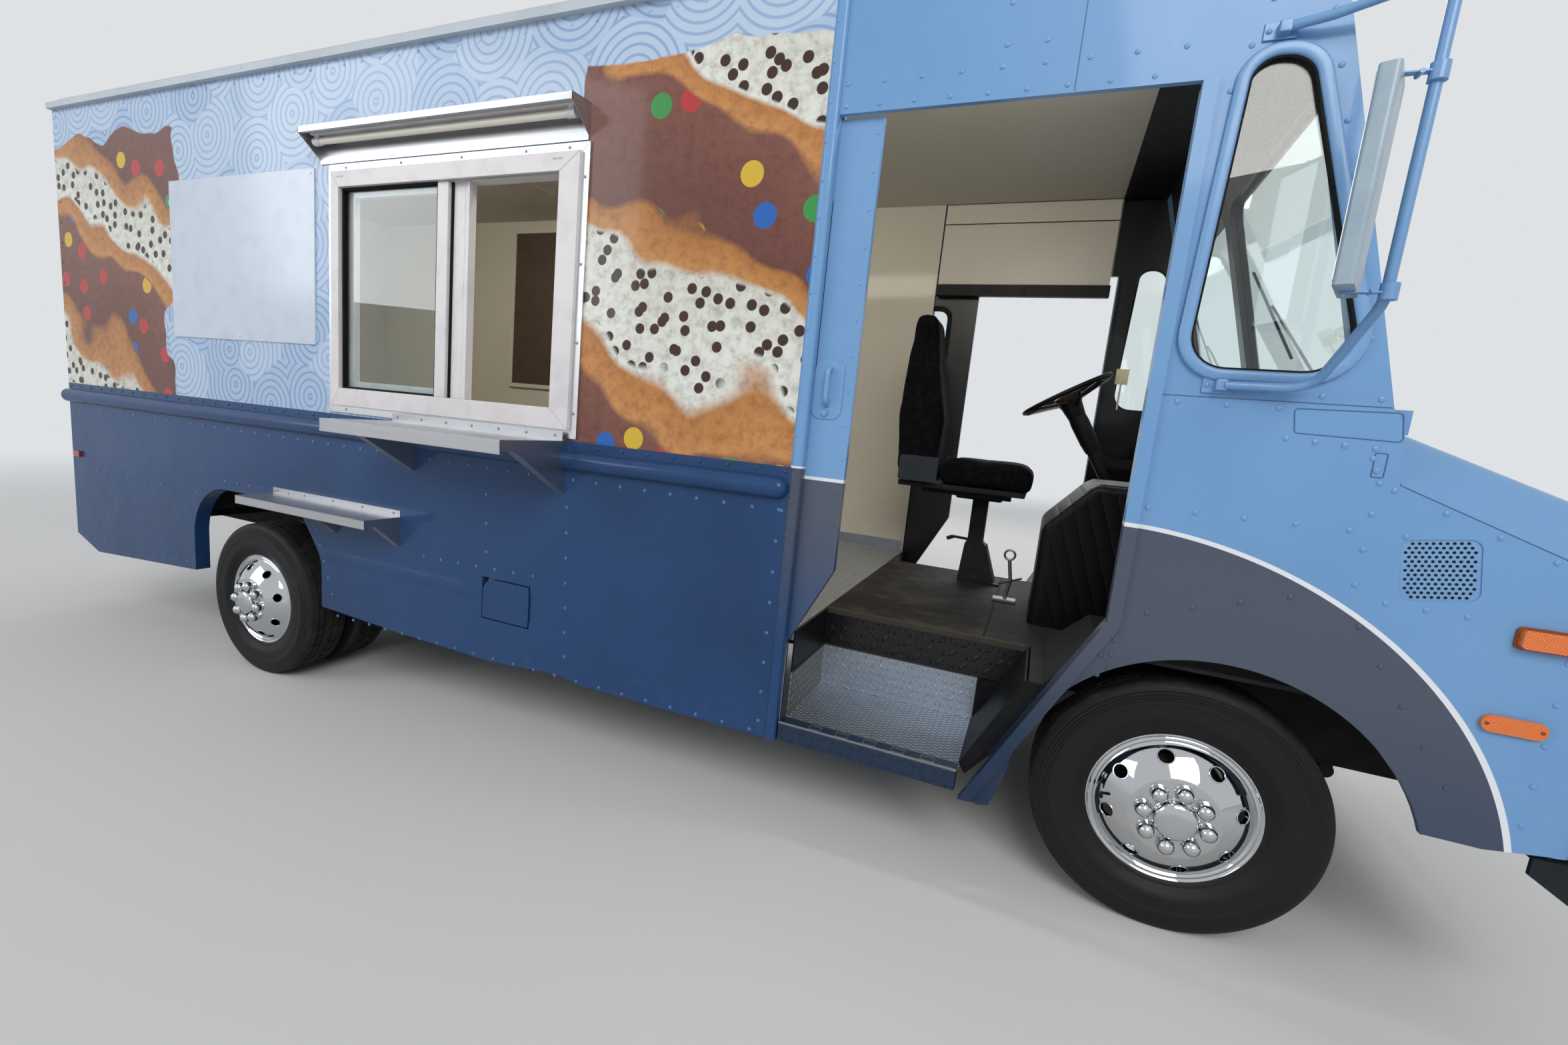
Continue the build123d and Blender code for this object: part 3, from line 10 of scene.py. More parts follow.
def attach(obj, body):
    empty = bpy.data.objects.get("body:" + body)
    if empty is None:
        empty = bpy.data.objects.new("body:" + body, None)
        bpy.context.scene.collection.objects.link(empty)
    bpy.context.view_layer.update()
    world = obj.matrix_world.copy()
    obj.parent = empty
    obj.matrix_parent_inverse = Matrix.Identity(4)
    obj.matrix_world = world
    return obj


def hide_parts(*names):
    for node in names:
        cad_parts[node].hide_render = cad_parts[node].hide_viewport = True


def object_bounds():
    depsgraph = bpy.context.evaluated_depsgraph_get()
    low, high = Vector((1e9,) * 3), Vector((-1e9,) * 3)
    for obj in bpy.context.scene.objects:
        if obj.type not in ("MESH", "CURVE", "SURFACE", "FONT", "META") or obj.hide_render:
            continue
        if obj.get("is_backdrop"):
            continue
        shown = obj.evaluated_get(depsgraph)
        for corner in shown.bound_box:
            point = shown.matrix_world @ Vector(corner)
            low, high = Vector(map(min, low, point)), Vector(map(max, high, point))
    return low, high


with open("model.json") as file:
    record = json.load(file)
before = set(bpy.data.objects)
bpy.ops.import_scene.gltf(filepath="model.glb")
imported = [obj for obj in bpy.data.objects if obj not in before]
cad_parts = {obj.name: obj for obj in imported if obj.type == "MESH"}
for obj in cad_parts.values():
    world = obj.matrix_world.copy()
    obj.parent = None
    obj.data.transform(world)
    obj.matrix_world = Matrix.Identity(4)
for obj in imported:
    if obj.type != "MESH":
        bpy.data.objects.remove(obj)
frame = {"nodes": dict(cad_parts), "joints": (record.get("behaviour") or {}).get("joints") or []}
cad_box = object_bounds()
nodes = frame["nodes"]
joints = {joint["name"]: joint for joint in frame["joints"]}

# The truck's own level rails: X forward from the front axle, Y to the driver's side, Z up.
# Its stance on the floor is read from the steering and the hubs.
FRONT_HUB_HEIGHT = 0.385
rails_up = Vector(joints["steer_right"]["axis"])
rails_side = Vector((0, 1, 0))
rails_forward = rails_side.cross(rails_up)
axle_middle = Vector(joints["steer_right"]["pos_m"])
axle_middle.y = 0
stance = Matrix((rails_forward, rails_side, rails_up)).transposed().to_4x4()
stance.translation = axle_middle - rails_up * FRONT_HUB_HEIGHT
to_rails = stance.inverted()


def on_rails(point):
    """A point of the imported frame, measured along the truck's own rails."""
    return to_rails @ Vector(point)


def node_box(name):
    """Lowest and highest corners of a CAD node along the truck's own rails."""
    points = [to_rails @ v.co for v in nodes[name].data.vertices]
    low = Vector([min(p[i] for p in points) for i in range(3)])
    high = Vector([max(p[i] for p in points) for i in range(3)])
    return low, high


# Sizes that many pieces share, in metres; KERB is the flank that the photograph shows
HALF_WIDTH = 1.070
KERB = -HALF_WIDTH
RIVET_PITCH = 0.108
BAND_TOP = 1.256
POST_X = -1.200
NOSE_X = 0.787
FLOOR_TOP = 0.690
TAIL_X = node_box("rear_frame")[0].x
COWL = (0.252, 1.562)
SCREEN_LEAN = radians(15)
CEILING = 2.712
DOOR_FACE = 1.045
SIDES = (("right", -1), ("left", 1))


def span(side, a, b):
    """Two distances from the middle as a low and a high Y on one side."""
    return sorted((side * a, side * b))


# Shapes, all made along the truck's own rails and put on its stance at the end

PLANES = {
    "XZ": lambda a, b, c: (a, c, b),
    "XY": lambda a, b, c: (a, b, c),
    "YZ": lambda a, b, c: (c, a, b),
}
SHARP_CORNER = 0.7


def bevelled(bm, edges, width, segments=2):
    """Rounds edges off."""
    bmesh.ops.bevel(
        bm, geom=list(edges), offset=width, segments=segments, profile=0.5, affect="EDGES", material=-1,
        clamp_overlap=True,
    )


def block(bm, low, high, bevel=0.0, segments=2, turn=None):
    """A bevelled block between two corners, turned about its middle by a rotation matrix."""
    low, high = Vector(low), Vector(high)
    size = high - low
    matrix = Matrix.Translation((low + high) / 2)
    if turn is not None:
        matrix = matrix @ turn.to_4x4()
    matrix = matrix @ Matrix.Diagonal((abs(size.x), abs(size.y), abs(size.z), 1))
    made = bmesh.ops.create_cube(bm, size=1.0, matrix=matrix)
    if bevel:
        bevelled(bm, {e for v in made["verts"] for e in v.link_edges}, bevel, segments)


def slab(bm, x, y, z, bevel=0.0, segments=2):
    """A bevelled block between three pairs of limits."""
    block(bm, (x[0], y[0], z[0]), (x[1], y[1], z[1]), bevel, segments)


def ring_section(radius, wide, high, step):
    """The section of a round bar bent to a ring, as (along, radius) pairs for turned()."""
    return [(high * sin(radians(a)), radius + wide * cos(radians(a))) for a in range(0, 360, step)]


def rod(bm, start, end, radius, end_radius=None, segments=16):
    """A round bar, or a cone when its end has a radius of its own."""
    start, end = Vector(start), Vector(end)
    run = end - start
    matrix = Matrix.Translation((start + end) / 2) @ run.to_track_quat("Z", "Y").to_matrix().to_4x4()
    bmesh.ops.create_cone(
        bm, cap_ends=True, segments=segments, radius1=radius,
        radius2=radius if end_radius is None else end_radius, depth=run.length, matrix=matrix,
    )


def turned(bm, profile, matrix=Matrix.Identity(4), steps=48, closed=False):
    """A profile of (along, radius) pairs spun about the local Z axis."""
    verts = [bm.verts.new((r, 0, z)) for z, r in profile]
    edges = [bm.edges.new(pair) for pair in zip(verts, verts[1:])]
    if closed:
        edges.append(bm.edges.new((verts[-1], verts[0])))
    before = set(bm.verts) - set(verts)
    bmesh.ops.spin(
        bm, geom=verts + edges, axis=(0, 0, 1), cent=(0, 0, 0), angle=2 * pi, steps=steps, use_merge=True,
    )
    made = [v for v in bm.verts if v not in before]
    bmesh.ops.remove_doubles(bm, verts=made, dist=1e-6)
    made = [v for v in bm.verts if v not in before]
    faces = list({f for v in made for f in v.link_faces})
    bmesh.ops.recalc_face_normals(bm, faces=faces)
    bmesh.ops.transform(bm, matrix=matrix, verts=made)
    return made


def carried(bm, faces, before, along, plane):
    """Carries flat faces from along[0] to along[1] across their plane, and returns the new points."""
    grown = bmesh.ops.extrude_face_region(bm, geom=faces)
    moved = [g for g in grown["geom"] if isinstance(g, bmesh.types.BMVert)]
    step = Vector(PLANES[plane](0, 0, along[1])) - Vector(PLANES[plane](0, 0, along[0]))
    bmesh.ops.translate(bm, vec=step, verts=moved)
    made = [v for v in bm.verts if v not in before]
    bmesh.ops.recalc_face_normals(bm, faces=list({f for v in made for f in v.link_faces}))
    return made


def outline_plate(bm, points, along, bevel=0.0, plane="XZ", segments=2):
    """A flat outline carried across its plane."""
    before = set(bm.verts)
    face = bm.faces.new([bm.verts.new(PLANES[plane](a, b, along[0])) for a, b in points])
    made = carried(bm, [face], before, along, plane)
    if bevel:
        bevelled(bm, {e for v in made for e in v.link_edges}, bevel, segments)


def grown(corners, amount):
    """Corners of a convex outline, moved outwards by an amount."""
    middle = sum((Vector(c) for c in corners), Vector((0, 0))) / len(corners)
    points = []
    for i, corner in enumerate(corners):
        here = Vector(corner)
        a = (here - Vector(corners[i - 1])).normalized()
        b = (Vector(corners[(i + 1) % len(corners)]) - here).normalized()
        na, nb = Vector((a.y, -a.x)), Vector((b.y, -b.x))
        if na.dot(here - middle) < 0:
            na, nb = -na, -nb
        points.append(tuple(here + (na + nb) / (1 + na.dot(nb)) * amount))
    return points


def ring_plate(bm, outer, inner, along, plane="XZ", bevel=0.0):
    """A flat ring between two outlines with as many points, carried across its plane."""
    before = set(bm.verts)
    loops = []
    for points in (outer, inner):
        verts = [bm.verts.new(PLANES[plane](a, b, along[0])) for a, b in points]
        loops += [bm.edges.new((verts[i - 1], verts[i])) for i in range(len(verts))]
    bridged = bmesh.ops.bridge_loops(bm, edges=loops)
    made = carried(bm, bridged["faces"], before, along, plane)
    if bevel:
        bevelled(bm, [e for e in {e for v in made for e in v.link_edges} if e.calc_face_angle(0) > SHARP_CORNER], bevel)


def rounded(corners, radius, steps=6):
    """Corner points of an outline, each replaced by an arc."""
    radii = radius if isinstance(radius, (tuple, list)) else [radius] * len(corners)
    points = []
    for i, corner in enumerate(corners):
        here = Vector(corner)
        back = (Vector(corners[i - 1]) - here).normalized()
        ahead = (Vector(corners[(i + 1) % len(corners)]) - here).normalized()
        half = back.angle(ahead) / 2
        centre = here + (back + ahead).normalized() * radii[i] / sin(half)
        first = here + back * (radii[i] / (sin(half) / cos(half)))
        last = here + ahead * (radii[i] / (sin(half) / cos(half)))
        start, sweep = first - centre, (first - centre).angle_signed(last - centre)
        for s in range(steps + 1):
            turn = Matrix.Rotation(-sweep * s / steps, 2)
            points.append(tuple(centre + turn @ start))
    return points


def rectangle(x0, x1, z0, z1):
    """The four corners of an upright rectangle."""
    return [(x0, z0), (x1, z0), (x1, z1), (x0, z1)]


def bent_tube(name, points, radius, bend=0.06, segments=6):
    """A tube along straight runs with arcs at the corners, as a bmesh."""
    corners = [Vector(p) for p in points]
    path = [corners[0]]
    for before, here, after in zip(corners, corners[1:], corners[2:]):
        back, ahead = (before - here), (after - here)
        half = back.angle(ahead) / 2
        reach = min(bend * cos(half) / sin(half), 0.45 * back.length, 0.45 * ahead.length)
        first, last = here + back.normalized() * reach, here + ahead.normalized() * reach
        for s in range(segments + 1):
            t = s / segments
            path.append(first * (1 - t) ** 2 + here * 2 * t * (1 - t) + last * t * t)
    path.append(corners[-1])
    curve = bpy.data.curves.new(name, "CURVE")
    curve.dimensions = "3D"
    curve.bevel_depth = radius
    curve.bevel_resolution = 4
    curve.use_fill_caps = True
    spline = curve.splines.new("POLY")
    spline.points.add(len(path) - 1)
    for point, co in zip(spline.points, path):
        point.co = (*co, 1)
    holder = bpy.data.objects.new(name, curve)
    bm = bmesh.new()
    bm.from_mesh(holder.to_mesh())
    bpy.data.objects.remove(holder)
    bmesh.ops.remove_doubles(bm, verts=bm.verts[:], dist=1e-6)
    return bm


def mirrored(bm):
    """Adds the same shapes on the driver's side."""
    copy = bmesh.ops.duplicate(bm, geom=bm.verts[:] + bm.edges[:] + bm.faces[:])["geom"]
    verts = [g for g in copy if isinstance(g, bmesh.types.BMVert)]
    faces = [g for g in copy if isinstance(g, bmesh.types.BMFace)]
    bmesh.ops.scale(bm, vec=(1, -1, 1), verts=verts)
    bmesh.ops.reverse_faces(bm, faces=faces)


def placed(name, data):
    """A new object in the scene."""
    obj = bpy.data.objects.new(name, data)
    bpy.context.scene.collection.objects.link(obj)
    return obj


def mesh_of(bm, name):
    """A mesh that takes over a bmesh."""
    mesh = bpy.data.meshes.new(name)
    bm.to_mesh(mesh)
    bm.free()
    return mesh


def applied(obj):
    """The mesh of an object with its modifiers applied."""
    return bpy.data.meshes.new_from_object(obj.evaluated_get(bpy.context.evaluated_depsgraph_get()))


def smoothed(mesh, angle):
    """Smooth shading with sharp edges above an angle in degrees."""
    mesh.polygons.foreach_set("use_smooth", [True] * len(mesh.polygons))
    mesh.set_sharp_from_angle(angle=radians(angle))


def piece(name, bm, body, finish, smooth=35, stands_for=(), rails=True, padding=None):
    """Finishes a bmesh as a named piece that rides on a body."""
    if rails:
        bmesh.ops.transform(bm, matrix=stance, verts=bm.verts[:])
    mesh = mesh_of(bm, name)
    mesh.materials.append(finish.material)
    smoothed(mesh, smooth)
    obj = placed(name, mesh)
    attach(obj, body)
    if smooth < 40:
        obj.modifiers.new("even_shading", "WEIGHTED_NORMAL").keep_sharp = True
    if stands_for:
        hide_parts(*stands_for)
    if padding is not None:
        rounding = obj.modifiers.new("rounding", "SUBSURF")
        rounding.levels = rounding.render_levels = 1
    return obj


def slab_piece(name, finish, x, y, z, bevel, segments=2, stands_for=()):
    """A piece of the body that is a single slab."""
    bm = bmesh.new()
    slab(bm, x, y, z, bevel, segments)
    piece(name, bm, "body", finish, stands_for=stands_for)


# Finishes

def tint(code):
    """A screen colour such as 5c99d4 as the linear colour a shader takes."""
    parts = [int(code[i:i + 2], 16) / 255 for i in (0, 2, 4)]
    linear = [p / 12.92 if p <= 0.04045 else ((p + 0.055) / 1.055) ** 2.4 for p in parts]
    return (*linear, 1.0)


class Finish:
    """A procedural material that reads places in metres along the truck's own rails."""

    def __init__(self, name, slot, colour="808080", roughness=0.5, metallic=0.0, **sockets):
        self.slot = slot
        self.material = bpy.data.materials.new(name)
        self.material.use_nodes = True
        self.tree = self.material.node_tree
        self.shader = self.tree.nodes["Principled BSDF"]
        self.coordinates = self.node("ShaderNodeTexCoord")
        self.where = self.node(
            "ShaderNodeMapping", Vector=self.coordinates.outputs["Object"], Location=to_rails.translation,
            Rotation=to_rails.to_euler(),
        ).outputs["Vector"]
        split = self.node("ShaderNodeSeparateXYZ", Vector=self.where)
        self.x, self.y, self.z = split.outputs
        self.normal = None
        self.put(Base_Color=tint(colour), Roughness=roughness, Metallic=metallic, **sockets)

    def node(self, kind, **inputs):
        """A new node, its inputs named with _ for a space."""
        made = self.tree.nodes.new(kind)
        for key, value in inputs.items():
            self.feed(made.inputs[key.replace("_", " ")], value)
        return made

    def feed(self, socket, value):
        """Links an output to a socket, or sets the socket's own value."""
        if isinstance(value, bpy.types.NodeSocket):
            self.tree.links.new(value, socket)
        else:
            socket.default_value = value

    def put(self, **inputs):
        """Feeds the shader's own sockets."""
        for key, value in inputs.items():
            self.feed(self.shader.inputs[key.replace("_", " ")], value)

    def math(self, operation, *values):
        made = self.node("ShaderNodeMath")
        made.operation = operation
        for socket, value in zip(made.inputs, values):
            self.feed(socket, value)
        return made.outputs[0]

    def add(self, a, b):
        return self.math("ADD", a, b)

    def take(self, a, b):
        return self.math("SUBTRACT", a, b)

    def times(self, a, b):
        return self.math("MULTIPLY", a, b)

    def step(self, value, low, high):
        """0 below low, 1 above high, and a smooth rise between them."""
        made = self.node("ShaderNodeMapRange", Value=value, From_Min=low, From_Max=high)
        made.interpolation_type = "SMOOTHSTEP"
        return made.outputs["Result"]

    def below(self, value, low, high):
        """1 below low, 0 above high, and a smooth fall between them."""
        return self.take(1.0, self.step(value, low, high))

    def absolute(self, value):
        return self.math("ABSOLUTE", value)

    def partly(self, mask, share, colour, other):
        """A colour with a share of another one where the mask is 1."""
        return self.mix(self.times(mask, share), colour, other)

    def inside(self, value, low, high, soft=0.0008):
        """1 between low and high, 0 outside."""
        return self.times(self.step(value, low - soft, low), self.below(value, high, high + soft))

    def sideways(self):
        """1 on faces that look to either side of the truck."""
        parts = self.node("ShaderNodeSeparateXYZ", Vector=self.coordinates.outputs["Normal"])
        return self.step(self.absolute(parts.outputs[1]), 0.45, 0.55)

    def forwards(self):
        """1 on faces that look to the front of the truck."""
        parts = self.node("ShaderNodeSeparateXYZ", Vector=self.coordinates.outputs["Normal"])
        return self.step(parts.outputs[0], 0.45, 0.55)

    def mix(self, factor, a, b):
        made = self.node("ShaderNodeMix")
        made.data_type = "RGBA"
        self.feed(made.inputs[0], factor)
        self.feed(made.inputs[6], a)
        self.feed(made.inputs[7], b)
        return made.outputs[2]

    def stretched(self, x, y, z):
        """The place, scaled differently along each axis."""
        return self.node("ShaderNodeMapping", Vector=self.where, Scale=(x, y, z)).outputs["Vector"]

    def noise(self, scale, detail=3.0, rough=0.55, vector=None):
        made = self.node(
            "ShaderNodeTexNoise", Vector=self.where if vector is None else vector, Scale=scale, Detail=detail,
            Roughness=rough,
        )
        return made.outputs["Fac"]

    def cells(self, scale, vector, randomness=1.0):
        """Cells over a place whose first two numbers run along and up a face."""
        made = self.node("ShaderNodeTexVoronoi", Vector=vector, Scale=scale, Randomness=randomness)
        made.voronoi_dimensions = "2D"
        return made

    def ramp(self, value, *stops):
        """A colour ramp over (place, colour code) stops."""
        made = self.node("ShaderNodeValToRGB", Fac=value)
        elements = made.color_ramp.elements
        while len(elements) < len(stops):
            elements.new(1.0)
        for element, (place, code) in zip(elements, stops):
            element.position = place
            element.color = tint(code)
        return made.outputs["Color"]

    def bump(self, height, distance, strength=1.0):
        """Raises the surface by a height in metres times distance, on top of any bump before."""
        made = self.node("ShaderNodeBump", Strength=strength, Distance=distance, Height=height)
        if self.normal is not None:
            self.feed(made.inputs["Normal"], self.normal)
        self.normal = made.outputs["Normal"]
        self.put(Normal=self.normal)

    def grain(self, distance, strength, *noise):
        """Raises the surface by noise."""
        self.bump(self.noise(*noise), distance, strength)

    def rough(self, low, high, *noise):
        """Roughness that noise varies from low to high."""
        self.put(Roughness=self.spread(self.noise(*noise), low, high))

    def spread(self, value, low, high):
        """Stretches a 0 to 1 value to run from low to high."""
        return self.add(self.times(value, high - low), low)

    def varied(self, colour, dark, scale, share):
        """A colour that drifts towards a darker one in soft patches."""
        patch = self.step(self.noise(scale, 4.0), 0.42, 0.72)
        return self.partly(patch, share, colour, dark)

    def crosshatch(self, u, v, pitch):
        """Height of a fine mesh of raised lines that cross at a slant."""
        u, v = self.math("DIVIDE", u, pitch), self.math("DIVIDE", v, pitch * 0.55)
        one, other = self.math("FRACT", self.add(u, v)), self.math("FRACT", self.take(u, v))
        return self.math("MAXIMUM", self.inside(one, 0.40, 0.56, 0.12), self.inside(other, 0.40, 0.56, 0.12))

    def diamonds(self, u, v, pitch=0.030):
        """Height of tread plate: short raised bars that lean left and right in turn."""
        u, v = self.math("DIVIDE", u, pitch), self.math("DIVIDE", v, pitch)
        parity = self.math("MODULO", self.add(self.math("FLOOR", u), self.math("FLOOR", v)), 2.0)
        parity = self.absolute(parity)
        du = self.take(self.math("FRACT", u), 0.5)
        dv = self.take(self.math("FRACT", v), 0.5)
        rising, falling = self.add(du, dv), self.take(du, dv)
        long_way = self.add(self.times(rising, parity), self.times(falling, self.take(1.0, parity)))
        short_way = self.add(self.times(falling, parity), self.times(rising, self.take(1.0, parity)))
        reach = self.add(
            self.math("POWER", self.absolute(self.math("DIVIDE", long_way, 0.62)), 2.0),
            self.math("POWER", self.absolute(self.math("DIVIDE", short_way, 0.20)), 2.0),
        )
        return self.below(reach, 0.45, 1.0)


BLUE = tint("6f9ccb")
BLUE_DEEP = tint("6391c2")
SLATE = tint("20426f")
SLATE_DEEP = tint("193558")
# The grey slates are the band's slate with a painted sheen of the sky, not paints of their own.
SLATE_SKY_SHEEN = tint("485061")
SLATE_FRONT_SHEEN = tint("3a475e")
STRIPE = tint("dfe4ea")
INSIDE_BLACK = tint("0e0f13")
INSIDE_WHITE = tint("c6c1b4")
DIRT = tint("6b6152")

STRIPE_CENTRE = (-0.285, 0.376)
STRIPE_REACH = (0.949, 0.828)
STRIPE_WIDTH = 0.011
STRIPE_FOOT = 1.222
CAB_SKIN_BACK = HALF_WIDTH - 0.019
DOOR_BACK_FACE = 1.021
WALL_BACK = 1.049
DOOR_HEAD = 2.263
PILLAR_X = -0.291
DOORWAY_X = -1.191


def fender_bands(finish, light, band):
    """Light paint above the fender's curved stripe and the band's paint below it."""
    across = finish.math("DIVIDE", finish.take(finish.x, STRIPE_CENTRE[0]), STRIPE_REACH[0])
    rise = finish.math("DIVIDE", finish.take(finish.z, STRIPE_CENTRE[1]), STRIPE_REACH[1])
    across = finish.math("MAXIMUM", across, 0.0)
    rise = finish.math("MAXIMUM", rise, 0.0)
    reach = finish.math("SQRT", finish.add(finish.times(across, across), finish.times(rise, rise)))
    behind = finish.step(finish.x, -0.2645, -0.2635)
    edge = finish.spread(behind, (STRIPE_FOOT - STRIPE_CENTRE[1]) / STRIPE_REACH[1], 1.0)
    off = finish.take(reach, edge)
    outside = finish.step(off, -0.0006, 0.0006)
    stripe = finish.inside(off, 0.0, STRIPE_WIDTH / STRIPE_REACH[1])
    colour = finish.mix(outside, band, light)
    return finish.mix(stripe, colour, STRIPE)


def chipped(finish, colour, scale=75.0, low=0.70, share=0.5, under="56606b"):
    """Small chips that show what lies under a colour."""
    chips = finish.step(finish.noise(scale, 5.0, 0.7), low, low + 0.03)
    return finish.partly(chips, share, colour, tint(under))


def worn_coat(finish, peel=0.25):
    """Brush marks, soft dents and fine scratches of a hand-painted steel panel."""
    finish.grain(0.02, 0.16, 1.6, 2.0)
    finish.grain(0.0010, peel, 55.0, 3.0)
    streaks = finish.noise(30.0, 2.0, vector=finish.stretched(1.0, 1.0, 0.12))
    finish.put(Roughness=finish.spread(streaks, 0.28, 0.46))


def low_dirt(finish, colour):
    """Road dust that gathers towards the lower edge."""
    height = finish.below(finish.z, 0.25, 0.50)
    patch = finish.step(finish.noise(14.0, 6.0, 0.7), 0.50, 0.80)
    return finish.partly(finish.times(height, patch), 0.35, colour, DIRT)


def make_cab_paint():
    """Light-blue cab paint with the slate fender band, dark inside."""
    made = Finish("cab_paint", "blue_paint", Coat_Weight=0.3, Coat_Roughness=0.08, Specular_IOR_Level=0.25)
    light = made.varied(BLUE, BLUE_DEEP, 1.4, 0.55)
    # The fender band's slate runs from a dark navy at the rear and bottom to grey towards the front and the top:
    # painted shade at the rear and a painted sheen of the sky on one slate paint.
    low = made.mix(made.step(made.x, -0.30, 0.10), tint("142b49"), SLATE_FRONT_SHEEN)
    grey = made.mix(made.step(made.z, 0.45, 0.92), low, SLATE_SKY_SHEEN)
    colour = chipped(made, low_dirt(made, fender_bands(made, light, grey)))
    from_middle = made.absolute(made.y)
    inner_side = made.below(from_middle, CAB_SKIN_BACK - 0.0005, CAB_SKIN_BACK + 0.0005)
    deep_inside = made.below(from_middle, 0.930, 0.940)
    inner_side = made.times(inner_side, made.math("MAXIMUM", made.sideways(), deep_inside))
    # The windscreen frame's inner face lies this far along the outward run of the glass
    across_screen = made.add(made.times(made.x, cos(SCREEN_LEAN)), made.times(made.z, sin(SCREEN_LEAN)))
    screen_face = COWL[0] * cos(SCREEN_LEAN) + COWL[1] * sin(SCREEN_LEAN)
    before_screen = made.step(across_screen, screen_face - 0.012, screen_face - 0.010)
    within = made.times(inner_side, made.take(1.0, before_screen))
    high = made.step(made.z, DOOR_HEAD - 0.001, DOOR_HEAD + 0.001)
    behind_quarter = made.below(made.x, PILLAR_X - 0.001, PILLAR_X + 0.001)
    lining = made.partly(high, behind_quarter, INSIDE_BLACK, INSIDE_WHITE)
    behind_door = made.below(made.x, DOORWAY_X - 0.001, DOORWAY_X + 0.001)
    lining = made.mix(behind_door, lining, INSIDE_WHITE)
    made.put(Base_Color=made.mix(within, colour, lining))
    worn_coat(made)
    return made


def make_door_paint():
    """The sliding doors: light blue above the band, slate below, dark inside."""
    made = Finish("door_paint", "blue_paint", Coat_Weight=0.25, Coat_Roughness=0.15)
    light = made.varied(BLUE, BLUE_DEEP, 2.0, 0.6)
    stripe = made.inside(made.z, STRIPE_FOOT, STRIPE_FOOT + 0.010)
    # The slate turns grey towards the top of the band: a painted sheen of the sky.
    low = made.mix(made.step(made.z, 0.6, 1.2), SLATE, SLATE_SKY_SHEEN)
    colour = made.mix(made.step(made.z, STRIPE_FOOT - 0.001, STRIPE_FOOT), low, light)
    colour = chipped(made, made.mix(stripe, colour, STRIPE))
    inner_side = made.below(made.absolute(made.y), DOOR_BACK_FACE - 0.0005, DOOR_BACK_FACE + 0.0005)
    made.put(Base_Color=made.mix(inner_side, colour, INSIDE_BLACK))
    worn_coat(made)
    return made


def make_wrap(made):
    """A festive print: pale medallions of thin rings, and warm waves with round confetti at both ends."""
    pale, middle, deep = tint("b6c8de"), tint("93aed0"), tint("7295c4")
    across = made.times(made.take(1.0, made.sideways()), made.add(made.y, HALF_WIDTH))
    along = made.add(made.x, across)
    flat = made.node("ShaderNodeCombineXYZ", X=along, Y=made.z).outputs[0]
    medallion = made.cells(3.4, flat, 0.8)
    rings = made.math("FRACT", made.times(medallion.outputs["Distance"], 9.0))
    line = made.inside(rings, 0.30, 0.48, 0.12)
    shade = made.node("ShaderNodeSeparateColor", Color=medallion.outputs["Color"]).outputs[0]
    ground = made.partly(made.step(shade, 0.45, 0.7), 0.45, pale, middle)
    pattern = made.mix(made.times(line, 0.85), ground, made.mix(shade, middle, deep))
    wave = made.noise(1.3, 2.0, vector=flat)
    slope = made.add(made.times(made.z, 1.05), made.times(along, 0.42))
    place = made.math("FRACT", made.add(slope, made.times(wave, 0.95)))
    waves = made.ramp(
        place, (0.0, "70473e"), (0.27, "7d5348"), (0.30, "c68c54"), (0.40, "b67c47"), (0.43, "dfe2da"),
        (0.70, "d3d5cb"), (0.73, "bf8850"), (0.83, "ad7440"), (0.86, "6a423a"), (1.0, "70473e"),
    )
    mottle = made.step(made.noise(26.0, 6.0, 0.7, vector=flat), 0.40, 0.72)
    waves = made.partly(mottle, 0.42, waves, tint("4b2c26"))
    cream = made.inside(place, 0.45, 0.69, 0.02)
    seeds = made.cells(14.0, flat)
    seed = made.below(seeds.outputs["Distance"], 0.24, 0.28)
    waves = made.partly(seed, cream, waves, tint("3d2925"))
    brown = made.take(1.0, made.inside(place, 0.28, 0.85, 0.01))
    confetti = made.cells(5.2, flat, 0.75)
    dot = made.below(confetti.outputs["Distance"], 0.205, 0.220)
    parts = made.node("ShaderNodeSeparateColor", Color=confetti.outputs["Color"])
    dot = made.times(made.times(dot, brown), made.step(parts.outputs[1], 0.40, 0.41))
    chip = made.ramp(
        parts.outputs[0], (0.0, "b23a3c"), (0.24, "b23a3c"), (0.26, "cfae3c"), (0.49, "cfae3c"),
        (0.51, "3f8f4c"), (0.74, "3f8f4c"), (0.76, "2b62b0"), (1.0, "2b62b0"),
    )
    chip.node.color_ramp.interpolation = "CONSTANT"
    warm = made.mix(dot, waves, chip)
    edge_wave = made.times(made.take(made.noise(2.3, 2.0, vector=flat), 0.5), 0.9)
    near_post = made.step(made.add(made.x, made.times(edge_wave, 0.5)), -2.16, -2.15)
    low_sky = made.below(made.add(made.z, made.times(edge_wave, 0.35)), 2.56, 2.57)
    near_tail = made.below(made.add(made.x, edge_wave), -4.66, -4.65)
    return made.partly(made.math("MAXIMUM", near_post, near_tail), low_sky, pattern, warm)


